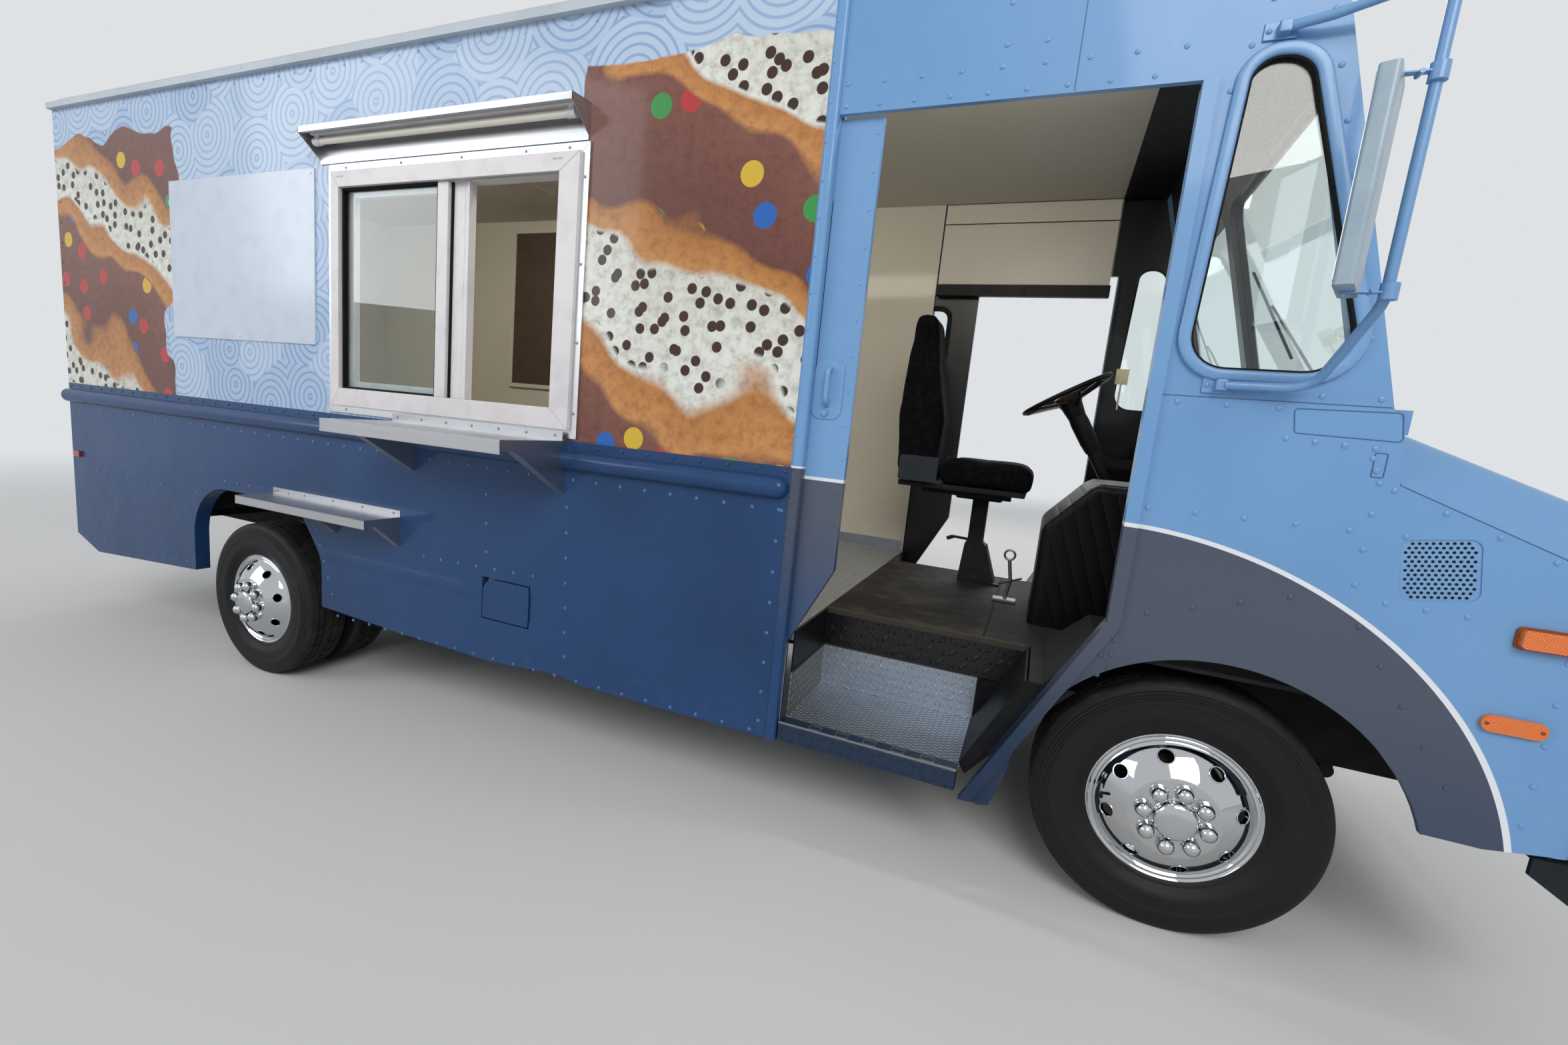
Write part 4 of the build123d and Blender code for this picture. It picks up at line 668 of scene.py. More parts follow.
def make_wall_paint():
    """Load walls: the printed wrap over a slate band, white lining inside."""
    made = Finish("wall_paint", "wrap_paint", Coat_Weight=0.35, Coat_Roughness=0.07, Specular_IOR_Level=0.15)
    wrap = make_wrap(made)
    band = chipped(made, made.varied(SLATE, SLATE_DEEP, 1.1, 0.7), 60.0, 0.72, 0.6, "6f7c8c")
    colour = made.mix(made.step(made.z, BAND_TOP - 0.0006, BAND_TOP + 0.0006), band, wrap)
    post = made.inside(made.x, POST_X - 0.043, POST_X + 0.01, 0.0005)
    # The post's slate turns grey towards the top of the band: a painted sheen of the sky.
    post_band_sheen = made.mix(made.step(made.z, 0.6, 1.2), SLATE, SLATE_SKY_SHEEN)
    post_colour = made.mix(made.step(made.z, BAND_TOP - 0.001, BAND_TOP), post_band_sheen, BLUE)
    post_colour = made.mix(made.inside(made.z, BAND_TOP, BAND_TOP + 0.006), post_colour, STRIPE)
    colour = low_dirt(made, made.mix(post, colour, post_colour))
    inner_side = made.below(made.absolute(made.y), WALL_BACK - 0.0005, WALL_BACK + 0.0005)
    lining = made.varied(INSIDE_WHITE, tint("b4ad9b"), 1.2, 0.4)
    at_tail = made.below(made.x, TAIL_X + 0.20, TAIL_X + 0.21)
    facing_in = made.math("MAXIMUM", made.sideways(), made.times(made.forwards(), at_tail))
    made.put(Base_Color=made.partly(inner_side, facing_in, colour, lining))
    # Knocks and ripples of thin sheet below the rub rail, with one long crease ahead of the rear arch
    low = made.below(made.z, 0.9, 1.25)
    ripples = made.times(made.noise(2.6, 3.0, vector=made.stretched(1.0, 0.3, 1.6)), low)
    made.bump(ripples, 0.05, 0.30)
    along = made.inside(made.x, -3.45, -2.75, 0.30)
    crease = made.times(made.inside(made.z, 0.575, 0.590, 0.030), along)
    made.bump(crease, 0.010, 0.6)
    made.grain(0.02, 0.25, 1.0, 1.0)
    made.grain(0.0007, 0.2, 70.0, 3.0)
    made.rough(0.26, 0.42, 12.0, 4.0)
    return made


def make_slate_paint():
    made = Finish("slate_paint", "slate_paint", Coat_Weight=0.35, Coat_Roughness=0.07, Specular_IOR_Level=0.15)
    made.put(Base_Color=low_dirt(made, made.varied(SLATE, SLATE_DEEP, 4.0, 0.6)))
    worn_coat(made)
    return made


def make_blue_trim():
    made = Finish("blue_trim", "blue_paint", Coat_Weight=0.3, Coat_Roughness=0.15)
    chips = made.step(made.noise(90.0, 5.0, 0.7), 0.66, 0.70)
    colour = made.varied(BLUE, BLUE_DEEP, 6.0, 0.7)
    made.put(Base_Color=made.partly(chips, 0.7, colour, tint("8d8878")))
    worn_coat(made, 0.35)
    return made


def make_roof_paint():
    made = Finish("roof_paint", "roof_white", roughness=0.5)
    outside = made.varied(tint("b9c2ca"), tint("a2a7a9"), 2.2, 0.5)
    spots = made.step(made.noise(26.0, 6.0, 0.7), 0.62, 0.75)
    outside = made.partly(spots, 0.35, outside, tint("8a8274"))
    inside = made.varied(INSIDE_WHITE, tint("b7b09f"), 1.0, 0.4)
    ceiling = made.below(made.z, 2.7125, 2.7135)
    made.put(Base_Color=made.mix(ceiling, outside, inside))
    made.grain(0.02, 0.3, 1.4, 2.0)
    made.grain(0.0008, 0.25, 80.0, 3.0)
    made.rough(0.38, 0.6, 14.0)
    return made


def make_white_lining():
    """Glossy white wall boards of the inside."""
    made = Finish("white_lining", "white_panel", roughness=0.35)
    made.put(Base_Color=made.varied(INSIDE_WHITE, tint("b9b2a1"), 1.5, 0.4))
    made.grain(0.0006, 0.25, 220.0, 2.0)
    return made


def make_metal(name, slot, colour, rough=(0.16, 0.34), along="x"):
    """Sheet metal brushed along one axis, with smudges."""
    scales = {"x": (2.0, 260.0, 260.0), "z": (260.0, 260.0, 2.0), "y": (260.0, 2.0, 260.0)}[along]
    made = Finish(name, slot, colour, metallic=1.0)
    brushed = made.noise(1.0, 2.0, vector=made.stretched(*scales))
    smudge = made.noise(7.0, 4.0)
    made.put(Base_Color=made.partly(smudge, 0.25, tint(colour), tint("8f8f90")))
    made.put(Roughness=made.add(made.spread(brushed, *rough), made.times(smudge, 0.075)))
    made.bump(brushed, 0.0004, 0.35)
    made.grain(0.006, 0.2, 4.0, 2.0)
    return made


def make_chrome():
    made = Finish("chrome", "chrome", "c4c6c9", roughness=0.05, metallic=1.0)
    film = made.step(made.noise(9.0, 5.0, 0.65), 0.50, 0.85)
    made.put(Roughness=made.spread(film, 0.035, 0.10))
    made.grain(0.002, 0.05, 7.0, 2.0)
    return made


def make_tyre():
    """Black rubber whose tread, told by its distance from the hub, is dusty."""
    made = Finish("tyre_rubber", "tyre_rubber", "111214", roughness=0.6, Specular_IOR_Level=0.25)
    reach = made.node("ShaderNodeAttribute")
    reach.attribute_name = "from_hub"
    road = made.step(reach.outputs["Fac"], 0.368, 0.380)
    dust = made.step(made.noise(16.0, 5.0, 0.65), 0.40, 0.78)
    side = made.partly(made.noise(5.0, 3.0), 0.35, tint("101113"), tint("1f1e1e"))
    tread = made.partly(dust, 0.5, tint("1c1c1e"), tint("453f37"))
    made.put(Base_Color=made.mix(road, side, tread))
    made.put(Roughness=made.add(made.spread(made.noise(24.0), 0.48, 0.60), made.times(road, 0.25)))
    made.grain(0.0006, 0.35, 320.0, 2.0)
    return made


def make_dark_metal(name, slot, colour="17181a", rust="3a2a1f", amount=0.5):
    made = Finish(name, slot, colour, roughness=0.6, Specular_IOR_Level=0.2)
    patch = made.step(made.noise(14.0, 6.0, 0.7), 0.48, 0.72)
    made.put(Base_Color=made.partly(patch, amount, tint(colour), tint(rust)))
    made.rough(0.45, 0.85, 20.0)
    made.grain(0.0016, 0.5, 90.0, 5.0, 0.7)
    return made


def make_lens(name, slot, colour):
    made = Finish(name, slot, colour, roughness=0.12, Coat_Weight=0.6, Coat_Roughness=0.05)
    made.put(Subsurface_Weight=0.25, Subsurface_Radius=(0.02, 0.006, 0.002))
    ribs = made.math("SINE", made.times(made.x, 900.0))
    rows = made.math("SINE", made.times(made.z, 900.0))
    made.bump(made.times(ribs, rows), 0.0010, 0.6)
    return made


def make_glass():
    made = Finish("clear_glass", "clear_glass", "f2fbfa", roughness=0.0, IOR=1.45)
    made.put(Transmission_Weight=1.0)
    film = made.step(made.noise(5.0, 5.0, 0.7), 0.45, 0.85)
    made.put(Roughness=made.spread(film, 0.0, 0.04))
    return made


def make_plain(name, slot, colour, low, high, grain=120.0, depth=0.0008, worn=None):
    """Moulded plastic, rubber or paint with a fine grain and a little wear."""
    made = Finish(name, slot, colour, Specular_IOR_Level=0.2 if max(tint(colour)[:3]) < 0.05 else 0.5)
    shade = made.varied(tint(colour), tint(worn or colour), 9.0, 0.6)
    made.put(Base_Color=shade)
    made.rough(low, high, 30.0)
    made.grain(depth, 0.4, grain, 3.0)
    return made


def make_velour():
    made = Finish("black_velour", "black_cloth", "08080b", roughness=0.9, Specular_IOR_Level=0.1)
    made.put(Sheen_Weight=0.18, Sheen_Roughness=0.35, Sheen_Tint=tint("463f58"))
    nap = made.noise(38.0, 4.0, 0.6)
    made.put(Base_Color=made.mix(made.step(nap, 0.45, 0.75), tint("060608"), tint("131118")))
    made.grain(0.0010, 0.5, 500.0, 2.0)
    made.grain(0.004, 0.35, 20.0, 3.0)
    return made


def make_tread_plate(name, slot, colour, axes, metallic, rough, pitch, depth=0.0022):
    """Tread plate whose bars lie in the plane of two of the axes."""
    made = Finish(name, slot, colour, metallic=metallic, Specular_IOR_Level=0.4)
    pick = {"x": made.x, "y": made.y, "z": made.z}
    bars = made.diamonds(pick[axes[0]], pick[axes[1]], pitch)
    scuff = made.noise(18.0, 5.0, 0.65)
    shade = made.partly(made.step(scuff, 0.5, 0.8), 0.35, tint(colour), darker(colour))
    made.put(Base_Color=made.partly(bars, 0.35, shade, tint("c9cacd") if metallic else tint("26272b")))
    made.put(Roughness=made.spread(scuff, *rough))
    made.bump(bars, depth, 1.0)
    return made


def make_mesh_tread():
    """The step's bright plate, embossed with a fine slanted mesh and scuffed dull."""
    made = Finish("mesh_tread", "bright_plate", "a5a9ae", metallic=1.0)
    lines = made.crosshatch(made.x, made.y, 0.040)
    scuff = made.noise(9.0, 5.0, 0.65)
    worn = made.partly(made.step(scuff, 0.45, 0.75), 0.45, tint("b9c3d0"), tint("8b95a3"))
    made.put(Base_Color=made.partly(lines, 0.8, worn, tint("4c535d")))
    made.put(Roughness=made.spread(scuff, 0.36, 0.52))
    made.bump(lines, -0.0015, 0.9)
    return made


def darker(code):
    """A darker shade of a colour code, as a linear colour."""
    r, g, b, a = tint(code)
    return (r * 0.6, g * 0.6, b * 0.6, a)


def make_boards():
    """Worn plywood of the cab floor: seams between boards, a dark mat ahead of the step."""
    made = Finish("cab_boards", "floor_dark", "2c2823", roughness=0.75, Specular_IOR_Level=0.25)
    grain = made.noise(1.0, 6.0, 0.65, vector=made.stretched(6.0, 90.0, 90.0))
    worn = made.step(made.noise(5.0, 6.0, 0.7), 0.42, 0.68)
    bare = made.mix(grain, tint("2a2927"), tint("4e4b48"))
    boards = made.partly(worn, 0.75, tint("1e1c1a"), bare)
    edge = made.inside(made.absolute(made.y), 0.560, 0.640, 0.02)
    boards = made.partly(edge, made.times(worn, 0.6), boards, tint("3f3830"))
    mat = made.step(made.x, -0.594, -0.592)
    rubber = made.mix(made.noise(16.0, 5.0, 0.7), tint("17191c"), tint("33373b"))
    colour = made.mix(mat, boards, rubber)
    across = made.absolute(made.take(made.absolute(made.y), 0.468))
    seam = made.below(across, 0.0015, 0.0030)
    seam = made.math("MAXIMUM", seam, made.inside(made.x, -0.598, -0.592, 0.001))
    made.put(Base_Color=made.mix(seam, colour, tint("070707")))
    made.put(Roughness=made.spread(grain, 0.55, 0.9))
    made.bump(grain, 0.0020, 0.5)
    made.grain(0.004, 0.4, 8.0, 5.0)
    made.bump(seam, -0.004, 1.0)
    return made


def make_quilt():
    """Black padded trim of the engine cover, ribbed at its forward end."""
    made = Finish("quilt", "black_plastic", "0b0b0d", roughness=0.5, Specular_IOR_Level=0.2)
    ribs = made.absolute(made.math("SINE", made.times(made.add(made.x, made.times(made.z, 0.35)), pi / 0.055)))
    forward = made.step(made.x, -0.43, -0.41)
    made.bump(made.times(made.math("POWER", ribs, 0.4), forward), 0.004, 0.6)
    made.grain(0.010, 0.3, 7.0, 3.0)
    made.grain(0.0010, 0.4, 160.0, 3.0)
    made.rough(0.35, 0.62, 40.0)
    return made


cab_paint = make_cab_paint()
door_paint = make_door_paint()
wall_paint = make_wall_paint()
slate_paint = make_slate_paint()
blue_trim = make_blue_trim()
# Rivet heads on the slate band are a lighter blue than the band: a painted highlight.
band_rivet_highlight = make_plain("band_rivet_highlight", "slate_paint", "4a6b9a", 0.18, 0.3, 60.0, 0.0004, "35557f")
roof_paint = make_roof_paint()
white_lining = make_white_lining()
stainless = make_metal("stainless", "stainless", "bcbdc0", (0.22, 0.38))
window_white = make_plain("window_white", "window_alu", "d9d6d8", 0.25, 0.45, worn="c6c3c4")
window_bright = make_metal("window_bright", "window_alu", "d5d7da", (0.22, 0.4), "x")
# The white menu board is coloured a pale blue-grey, patches included: a painted reflection of the sky.
board_sky_tinted = make_plain("board_sky_tinted", "white_panel", "c6cfde", 0.10, 0.22, 20.0, 0.0004, "b9c4d6")
chrome = make_chrome()
tyre_rubber = make_tyre()
frame_black = make_dark_metal("frame_black", "frame_black")
cast_black = make_dark_metal("cast_black", "cast_black", "1c1a19", "4a3020", 0.7)
bumper_black = make_dark_metal("bumper_black", "frame_black", "1b2027", "30302e", 0.4)
amber_lens = make_lens("amber_lens", "amber_lens", "e0701c")
red_lens = make_lens("red_lens", "red_lens", "9c1218")
clear_glass = make_glass()
mirror_grey = make_plain("mirror_grey", "blue_paint", "9db0bd", 0.25, 0.4, 90.0, 0.0006, "869cab")
black_plastic = make_plain("black_plastic", "black_plastic", "0f0f11", 0.35, 0.6, 200.0, 0.0010, "1e1e21")
black_rubber = make_plain("black_rubber", "black_plastic", "0e0e10", 0.6, 0.85, 260.0, 0.0006, "1d1c1c")
cover_grey = make_plain("cover_grey", "black_plastic", "6d7074", 0.4, 0.7, 60.0, 0.0010, "4a4c50")
bronze_plastic = make_plain("bronze_plastic", "black_plastic", "2b211d", 0.25, 0.4, 90.0, 0.0006, "3a2c24")
grey_vinyl = make_plain("grey_vinyl", "black_cloth", "2d3238", 0.35, 0.5, 150.0, 0.0008, "22262b")
mat_grey = make_plain("mat_grey", "floor_dark", "24272b", 0.6, 0.85, 60.0, 0.0015, "191b1e")
tag_beige = make_plain("tag_beige", "white_panel", "cfc4a4", 0.5, 0.7)
brown_panel = make_plain("brown_panel", "floor_dark", "4a3a2c", 0.4, 0.55, 40.0, 0.0006, "3b2e22")
velour = make_velour()
bright_tread = make_mesh_tread()
bright_riser = make_tread_plate("bright_riser", "bright_plate", "a3acb8", "xz", 1.0, (0.34, 0.5), 0.030, 0.0025)
bright_end = make_tread_plate("bright_end", "bright_plate", "8f8b84", "yz", 1.0, (0.34, 0.5), 0.030, 0.0025)
black_riser = make_tread_plate("black_riser", "frame_black", "0b0c0f", "xz", 0.0, (0.20, 0.32), 0.042, 0.006)
grey_floor = make_tread_plate("grey_floor", "roof_white", "9a9da0", "xy", 0.6, (0.35, 0.6), 0.036)
sill_plate = make_tread_plate("sill_plate", "slate_paint", "142a45", "xz", 0.0, (0.24, 0.4), 0.034, 0.0035)
cab_boards = make_boards()
quilt = make_quilt()
steel = make_metal("plain_steel", "bright_plate", "8f9194", (0.3, 0.5))
seam_blue = make_plain("seam_blue", "blue_paint", "35587f", 0.4, 0.6)
well_black = make_plain("well_black", "frame_black", "090a0d", 0.35, 0.5, 30.0, 0.0015, "14171c")
worn_edge = make_plain("worn_edge", "floor_dark", "3f3a34", 0.5, 0.8, 40.0, 0.0015, "211f1d")
mirror_glass = Finish("mirror_glass", "chrome", "cfd6d8", roughness=0.02, metallic=1.0)

node_finishes = {
    cab_paint: ["cab_side_right", "cab_side_left", "windscreen_frame", "nose_panel", "hood"],
    door_paint: ["cab_door_right", "cab_door_left"],
    wall_paint: ["load_wall_right", "load_wall_left", "rear_frame", "rear_door_right", "rear_door_left"],
    slate_paint: ["rub_rails", "fuel_door"],
    roof_paint: ["roof"],
    cab_boards: ["cab_floor"],
    grey_floor: ["load_floor"],
    mat_grey: ["wheel_boxes"],
    clear_glass: ["window_glass", "door_glass_right", "door_glass_left"],
    frame_black: ["frame_rails", "cross_members", "seat_pedestal", "grille", "fuel_tank"],
    bumper_black: ["bumpers"],
    cast_black: [
        "front_axle", "rear_axle", "leaf_springs", "engine", "driveshaft", "exhaust", "knuckle_right",
        "knuckle_left",
    ],
    black_plastic: ["dashboard"],
    quilt: ["engine_cover"],
    board_sky_tinted: ["menu_board"],
    amber_lens: ["amber_lamps"],
    red_lens: ["tail_lamps"],
    stainless: ["awning", "shelves"],
    window_white: ["serving_window_frame"],
    chrome: ["headlamps"],
    bright_tread: ["step_wells"],
    blue_trim: ["mirrors"],
}
for finish, names in node_finishes.items():
    for name in names:
        nodes[name].data.materials.clear()
        nodes[name].data.materials.append(finish.material)


# Wheels

def wheel_place(hub, side):
    """From a wheel's own axes, Z outwards and X up, to the truck's rails."""
    turn = Matrix(((0, side, 0), (0, 0, side), (1, 0, 0)))
    return Matrix.Translation(hub) @ turn.to_4x4()


TYRE_RADIUS = 0.386
GROOVE = 0.009
TREAD_STEPS = 132


def tyre_outline():
    """Half of the tyre's closed section, from the bead out to the middle of the tread."""
    wall = [
        (0.070, 0.206), (0.078, 0.212), (0.086, 0.2215), (0.0895, 0.226), (0.0935, 0.232), (0.0945, 0.2385),
        (0.0985, 0.2420), (0.1035, 0.262), (0.1055, 0.264), (0.1072, 0.283), (0.1080, 0.300), (0.1072, 0.318),
        (0.1080, 0.3195), (0.1066, 0.330), (0.1048, 0.3312), (0.1052, 0.338), (0.1032, 0.3392), (0.1034, 0.346),
        (0.1012, 0.3475), (0.1010, 0.356), (0.0984, 0.3575), (0.0965, 0.367), (0.0920, 0.3765), (0.0860, 0.3825),
    ]
    tread = [(0.0800, 0.3845), (0.0560, 0.3855)]
    for middle in (0.0515, 0.0215):
        tread += [
            (middle + 0.0035, 0.3858), (middle + 0.0025, TYRE_RADIUS - GROOVE),
            (middle - 0.0025, TYRE_RADIUS - GROOVE), (middle - 0.0035, 0.3860),
        ]
    return wall + tread + [(0.0, TYRE_RADIUS)]


def build_tyre(bm, matrix):
    half = tyre_outline()
    whole = half + [(-z, r) for z, r in reversed(half[:-1])]
    inner = [(-0.060, 0.204), (-0.090, 0.290), (0.0, 0.350), (0.090, 0.290), (0.060, 0.204)]
    before = set(bm.faces)
    turned(bm, whole + inner, steps=TREAD_STEPS, closed=True)
    faces = [f for f in bm.faces if f not in before]
    # Cross grooves cut the inner ribs into blocks; the shoulder ribs stay whole
    ribs = []
    for face in faces:
        middle = face.calc_center_median()
        radius = sqrt(middle.x ** 2 + middle.y ** 2)
        slot = round(atan2(middle.y, middle.x) / (2 * pi) * TREAD_STEPS - 0.5)
        if radius > 0.3848 and 0.018 < abs(middle.z) < 0.060 and slot % 3 == 1:
            ribs.append(face)
    bmesh.ops.inset_region(
        bm, faces=ribs, thickness=0.0016, depth=-0.005, use_even_offset=True, use_boundary=True,
    )
    verts = list({v for f in bm.faces if f not in before for v in f.verts})
    bmesh.ops.transform(bm, matrix=matrix, verts=verts)


def mark_reach(obj, place):
    """Stores each point's distance from the axle, which the tyre's finish reads."""
    back = (stance @ place).inverted()
    marks = obj.data.attributes.new("from_hub", "FLOAT", "POINT")
    for mark, vertex in zip(marks.data, obj.data.vertices):
        spot = back @ vertex.co
        mark.value = sqrt(spot.x ** 2 + spot.y ** 2)


DUAL_SPACING = 0.250
WHEEL_FACE = 0.148
LUG_CIRCLE = 0.0825
LUG_COUNT = 8
LUG_START = -8.0
HAND_CIRCLE = 0.170
HAND_RADIUS = 0.020
HAND_HEIGHT = 0.1150
HAND_LEAN = radians(38)
HAND_START = LUG_START + 180 / LUG_COUNT
NUT_HEIGHT, NUT_RADIUS = 0.038, 0.0228
DOME_HEIGHT, DOME_RADIUS = 0.036, 0.057

front_dish = [
    (-0.086, 0.200), (-0.0930, 0.2215), (-0.0935, 0.2255), (-0.0905, 0.2265), (-0.088, 0.2235),
    (-0.080, 0.2140), (-0.060, 0.2055), (0.060, 0.2055), (0.0770, 0.2140), (0.0830, 0.2235), (0.0862, 0.2262),
    (0.0895, 0.2255), (0.0905, 0.2225), (0.0880, 0.2195), (0.0865, 0.2160), (0.0885, 0.2120),
    (0.0892, 0.2090), (0.0870, 0.2060), (0.0850, 0.2030), (0.0870, 0.1990), (0.0960, 0.1925),
    (0.1080, 0.1800), (0.1195, 0.1650), (0.1290, 0.1500), (0.1370, 0.1370), (0.1425, 0.1270),
    (0.1455, 0.1215), (0.1475, 0.1185), (0.1480, 0.1150), (0.1480, 0.0560),
    (0.1380, 0.0560), (0.1375, 0.1120), (0.1280, 0.1330), (0.1090, 0.1620), (0.0860, 0.1860),
    (0.0700, 0.1960), (0.0560, 0.1990), (-0.060, 0.1990),
]


def bored(obj, cutter):
    """Cuts the cutter's rods out of a finished piece, whose faces have to point outwards."""
    own = bmesh.new()
    own.from_mesh(obj.data)
    if own.calc_volume(signed=True) < 0:
        bmesh.ops.reverse_faces(own, faces=own.faces[:])
        own.to_mesh(obj.data)
    own.free()
    if cutter.calc_volume(signed=True) < 0:
        bmesh.ops.reverse_faces(cutter, faces=cutter.faces[:])
    bmesh.ops.transform(cutter, matrix=stance, verts=cutter.verts[:])
    tool = placed("cutter", mesh_of(cutter, "cutter"))
    cut = obj.modifiers.new("cut", "BOOLEAN")
    cut.operation = "DIFFERENCE"
    cut.object = tool
    cut.solver = "EXACT"
    bpy.context.view_layer.update()
    cut_mesh = applied(obj)
    obj.modifiers.clear()
    obj.data = cut_mesh
    bpy.data.objects.remove(tool)
    smoothed(cut_mesh, 35)


def around(count, radius, start):
    """Places evenly round a circle, in degrees from the wheel's own X."""
    for i in range(count):
        angle = radians(start + 360 * i / count)
        yield Vector((cos(angle) * radius, sin(angle) * radius, 0)), angle


def lug_cap_profile():
    """A bullet-shaped nut cap with a skirt, as (along, radius) pairs."""
    skirt = [(0.0, 0.0250), (0.002, 0.0250), (0.003, 0.0236), (NUT_HEIGHT * 0.45, NUT_RADIUS)]
    dome = [
        (NUT_HEIGHT * (0.45 + 0.55 * sin(radians(a))), NUT_RADIUS * cos(radians(a))) for a in (18, 36, 54, 70, 82)
    ]
    return skirt + dome + [(NUT_HEIGHT, 0.0)]


def centre_cap_profile():
    """The domed cap in the middle of the wheel, as (along, radius) pairs."""
    flange = DOME_RADIUS + 0.004
    skirt = [(0.0, flange), (0.003, flange), (0.004, DOME_RADIUS), (DOME_HEIGHT * 0.55, DOME_RADIUS - 0.001)]
    dome = [
        (DOME_HEIGHT * (0.55 + 0.45 * sin(radians(a))), (DOME_RADIUS - 0.001) * cos(radians(a)) ** 0.55)
        for a in (15, 30, 45, 60, 75, 84)
    ]
    return skirt + dome + [(DOME_HEIGHT, 0.0)]


def wheel_fittings(bm, place):
    """Lug caps and the centre cap on a wheel's face."""
    for spot, _ in around(LUG_COUNT, LUG_CIRCLE, LUG_START):
        seat = Matrix.Translation((spot.x, spot.y, WHEEL_FACE - 0.001))
        turned(bm, lug_cap_profile(), place @ seat, 20)
    turned(bm, centre_cap_profile(), place @ Matrix.Translation((0, 0, WHEEL_FACE - 0.001)), 48)


def hand_hole_rings(bm, place):
    """Rolled lips round the hand holes."""
    for spot, angle in around(LUG_COUNT, HAND_CIRCLE, HAND_START):
        spot.z = HAND_HEIGHT
        tip = Matrix.Rotation(angle, 4, "Z") @ Matrix.Rotation(HAND_LEAN, 4, "Y")
        lip = ring_section(HAND_RADIUS + 0.0016, 0.0020, 0.0016, 60)
        turned(bm, lip, place @ Matrix.Translation(spot) @ tip, 24, closed=True)


def dress_wheel(name, place, body, node):
    """The chromed dish, its hand holes and caps, and a valve, on one outer wheel."""
    bm = bmesh.new()
    turned(bm, front_dish, place, 96, closed=True)
    rim = piece(f"{name}_dish", bm, body, chrome, 40, [node])
    cutter = bmesh.new()
    for spot, angle in around(LUG_COUNT, HAND_CIRCLE, HAND_START):
        centre = spot + Vector((0, 0, HAND_HEIGHT))
        normal = Vector((cos(angle) * sin(HAND_LEAN), sin(angle) * sin(HAND_LEAN), cos(HAND_LEAN))) * 0.040
        rod(cutter, place @ (centre - normal), place @ (centre + normal), HAND_RADIUS, segments=24)
    bored(rim, cutter)
    bm = bmesh.new()
    wheel_fittings(bm, place)
    hand_hole_rings(bm, place)
    piece(f"{name}_caps", bm, body, chrome, 50)
    bm = bmesh.new()
    valve = Vector((0, 0.183, 0.094))
    rod(bm, place @ valve, place @ (valve + Vector((0, 0.004, 0.034))), 0.0042, segments=10)
    rod(bm, place @ (valve + Vector((0, 0.003, 0.024))), place @ (valve + Vector((0, 0.004, 0.038))), 0.0052,
        segments=10)
    piece(f"{name}_valve", bm, body, black_rubber)


drum = [(-0.060, 0.04), (-0.060, 0.155), (0.055, 0.158), (0.075, 0.13), (0.075, 0.04)]
inner_dish = [
    (-0.086, 0.200), (-0.090, 0.226), (-0.080, 0.214), (-0.060, 0.2055), (0.060, 0.2055), (0.080, 0.214),
    (0.090, 0.226), (0.086, 0.200), (0.040, 0.197), (0.034, 0.060), (0.300, 0.060), (0.300, 0.052),
    (0.020, 0.052), (0.020, 0.190), (-0.060, 0.197),
]
for side_name, side in SIDES:
    place = wheel_place(on_rails(joints[f"front_wheel_{side_name}_spin"]["pos_m"]), side)
    body = f"front_wheel_{side_name}"
    bm = bmesh.new()
    build_tyre(bm, place)
    mark_reach(piece(f"front_tyre_{side_name}_road", bm, body, tyre_rubber, 40, [f"front_tyre_{side_name}"]), place)
    dress_wheel(f"front_wheel_{side_name}", place, body, f"front_rim_{side_name}")
    bm = bmesh.new()
    turned(bm, drum, place, 40, True)
    piece(f"front_drum_{side_name}", bm, body, cast_black)

    hub = on_rails(joints[f"rear_wheels_{side_name}_spin"]["pos_m"])
    place = wheel_place(hub, side)
    inner_place = wheel_place(hub - Vector((0, side * DUAL_SPACING, 0)), side)
    body = f"rear_wheels_{side_name}"
    bm = bmesh.new()
    build_tyre(bm, place)
    build_tyre(bm, inner_place)
    mark_reach(piece(f"rear_tyres_{side_name}_road", bm, body, tyre_rubber, 40, [f"rear_tyres_{side_name}"]), place)
    dress_wheel(f"rear_wheel_{side_name}", place, body, f"rear_rims_{side_name}")
    bm = bmesh.new()
    turned(bm, inner_dish, inner_place, 64, closed=True)
    piece(f"rear_inner_wheel_{side_name}", bm, body, cast_black)


# Rivets on the skins, in rows at the body builder's pitch

def rivet_head(bm, point, normal, radius=0.0075, height=0.0035):
    """One low domed rivet head."""
    point, normal = Vector(point), Vector(normal)
    rod(bm, point - normal * 0.0005, point + normal * height * 0.6, radius, radius * 0.86, 8)
    rod(bm, point + normal * height * 0.6, point + normal * height, radius * 0.86, radius * 0.40, 8)


def row(start, end, pitch=RIVET_PITCH):
    """Evenly spaced (x, z) places from start to end."""
    start, end = Vector(start), Vector(end)
    count = max(1, round((end - start).length / pitch))
    return [start.lerp(end, i / count) for i in range(count + 1)]


def rows(*runs):
    """Places along several runs, each (x, z, to x, to z) with a pitch of its own where it needs one."""
    return [place for x, z, to_x, to_z, *pitch in runs for place in row((x, z), (to_x, to_z), *pitch)]


def screws(bm, places, y, radius, height):
    """Low round heads at (x, z) places that face the kerb."""
    for x, z in places:
        rivet_head(bm, (x, y, z), (0, -1, 0), radius, height)


def studs(name, places, finish, side, y=HALF_WIDTH, radius=0.0075):
    """Rivets at (x, z) places on one flank."""
    bm = bmesh.new()
    for x, z in places:
        rivet_head(bm, (x, side * y, z), (0, side, 0), radius)
    piece(name, bm, "body", finish, 60)


RIVET_CHANGE = 1.15
BOARD_SEAMS = (-2.40, -3.60, -4.80)
WINDOW_X = (-3.490, -2.109)
WINDOW_Z = (1.265, 2.320)

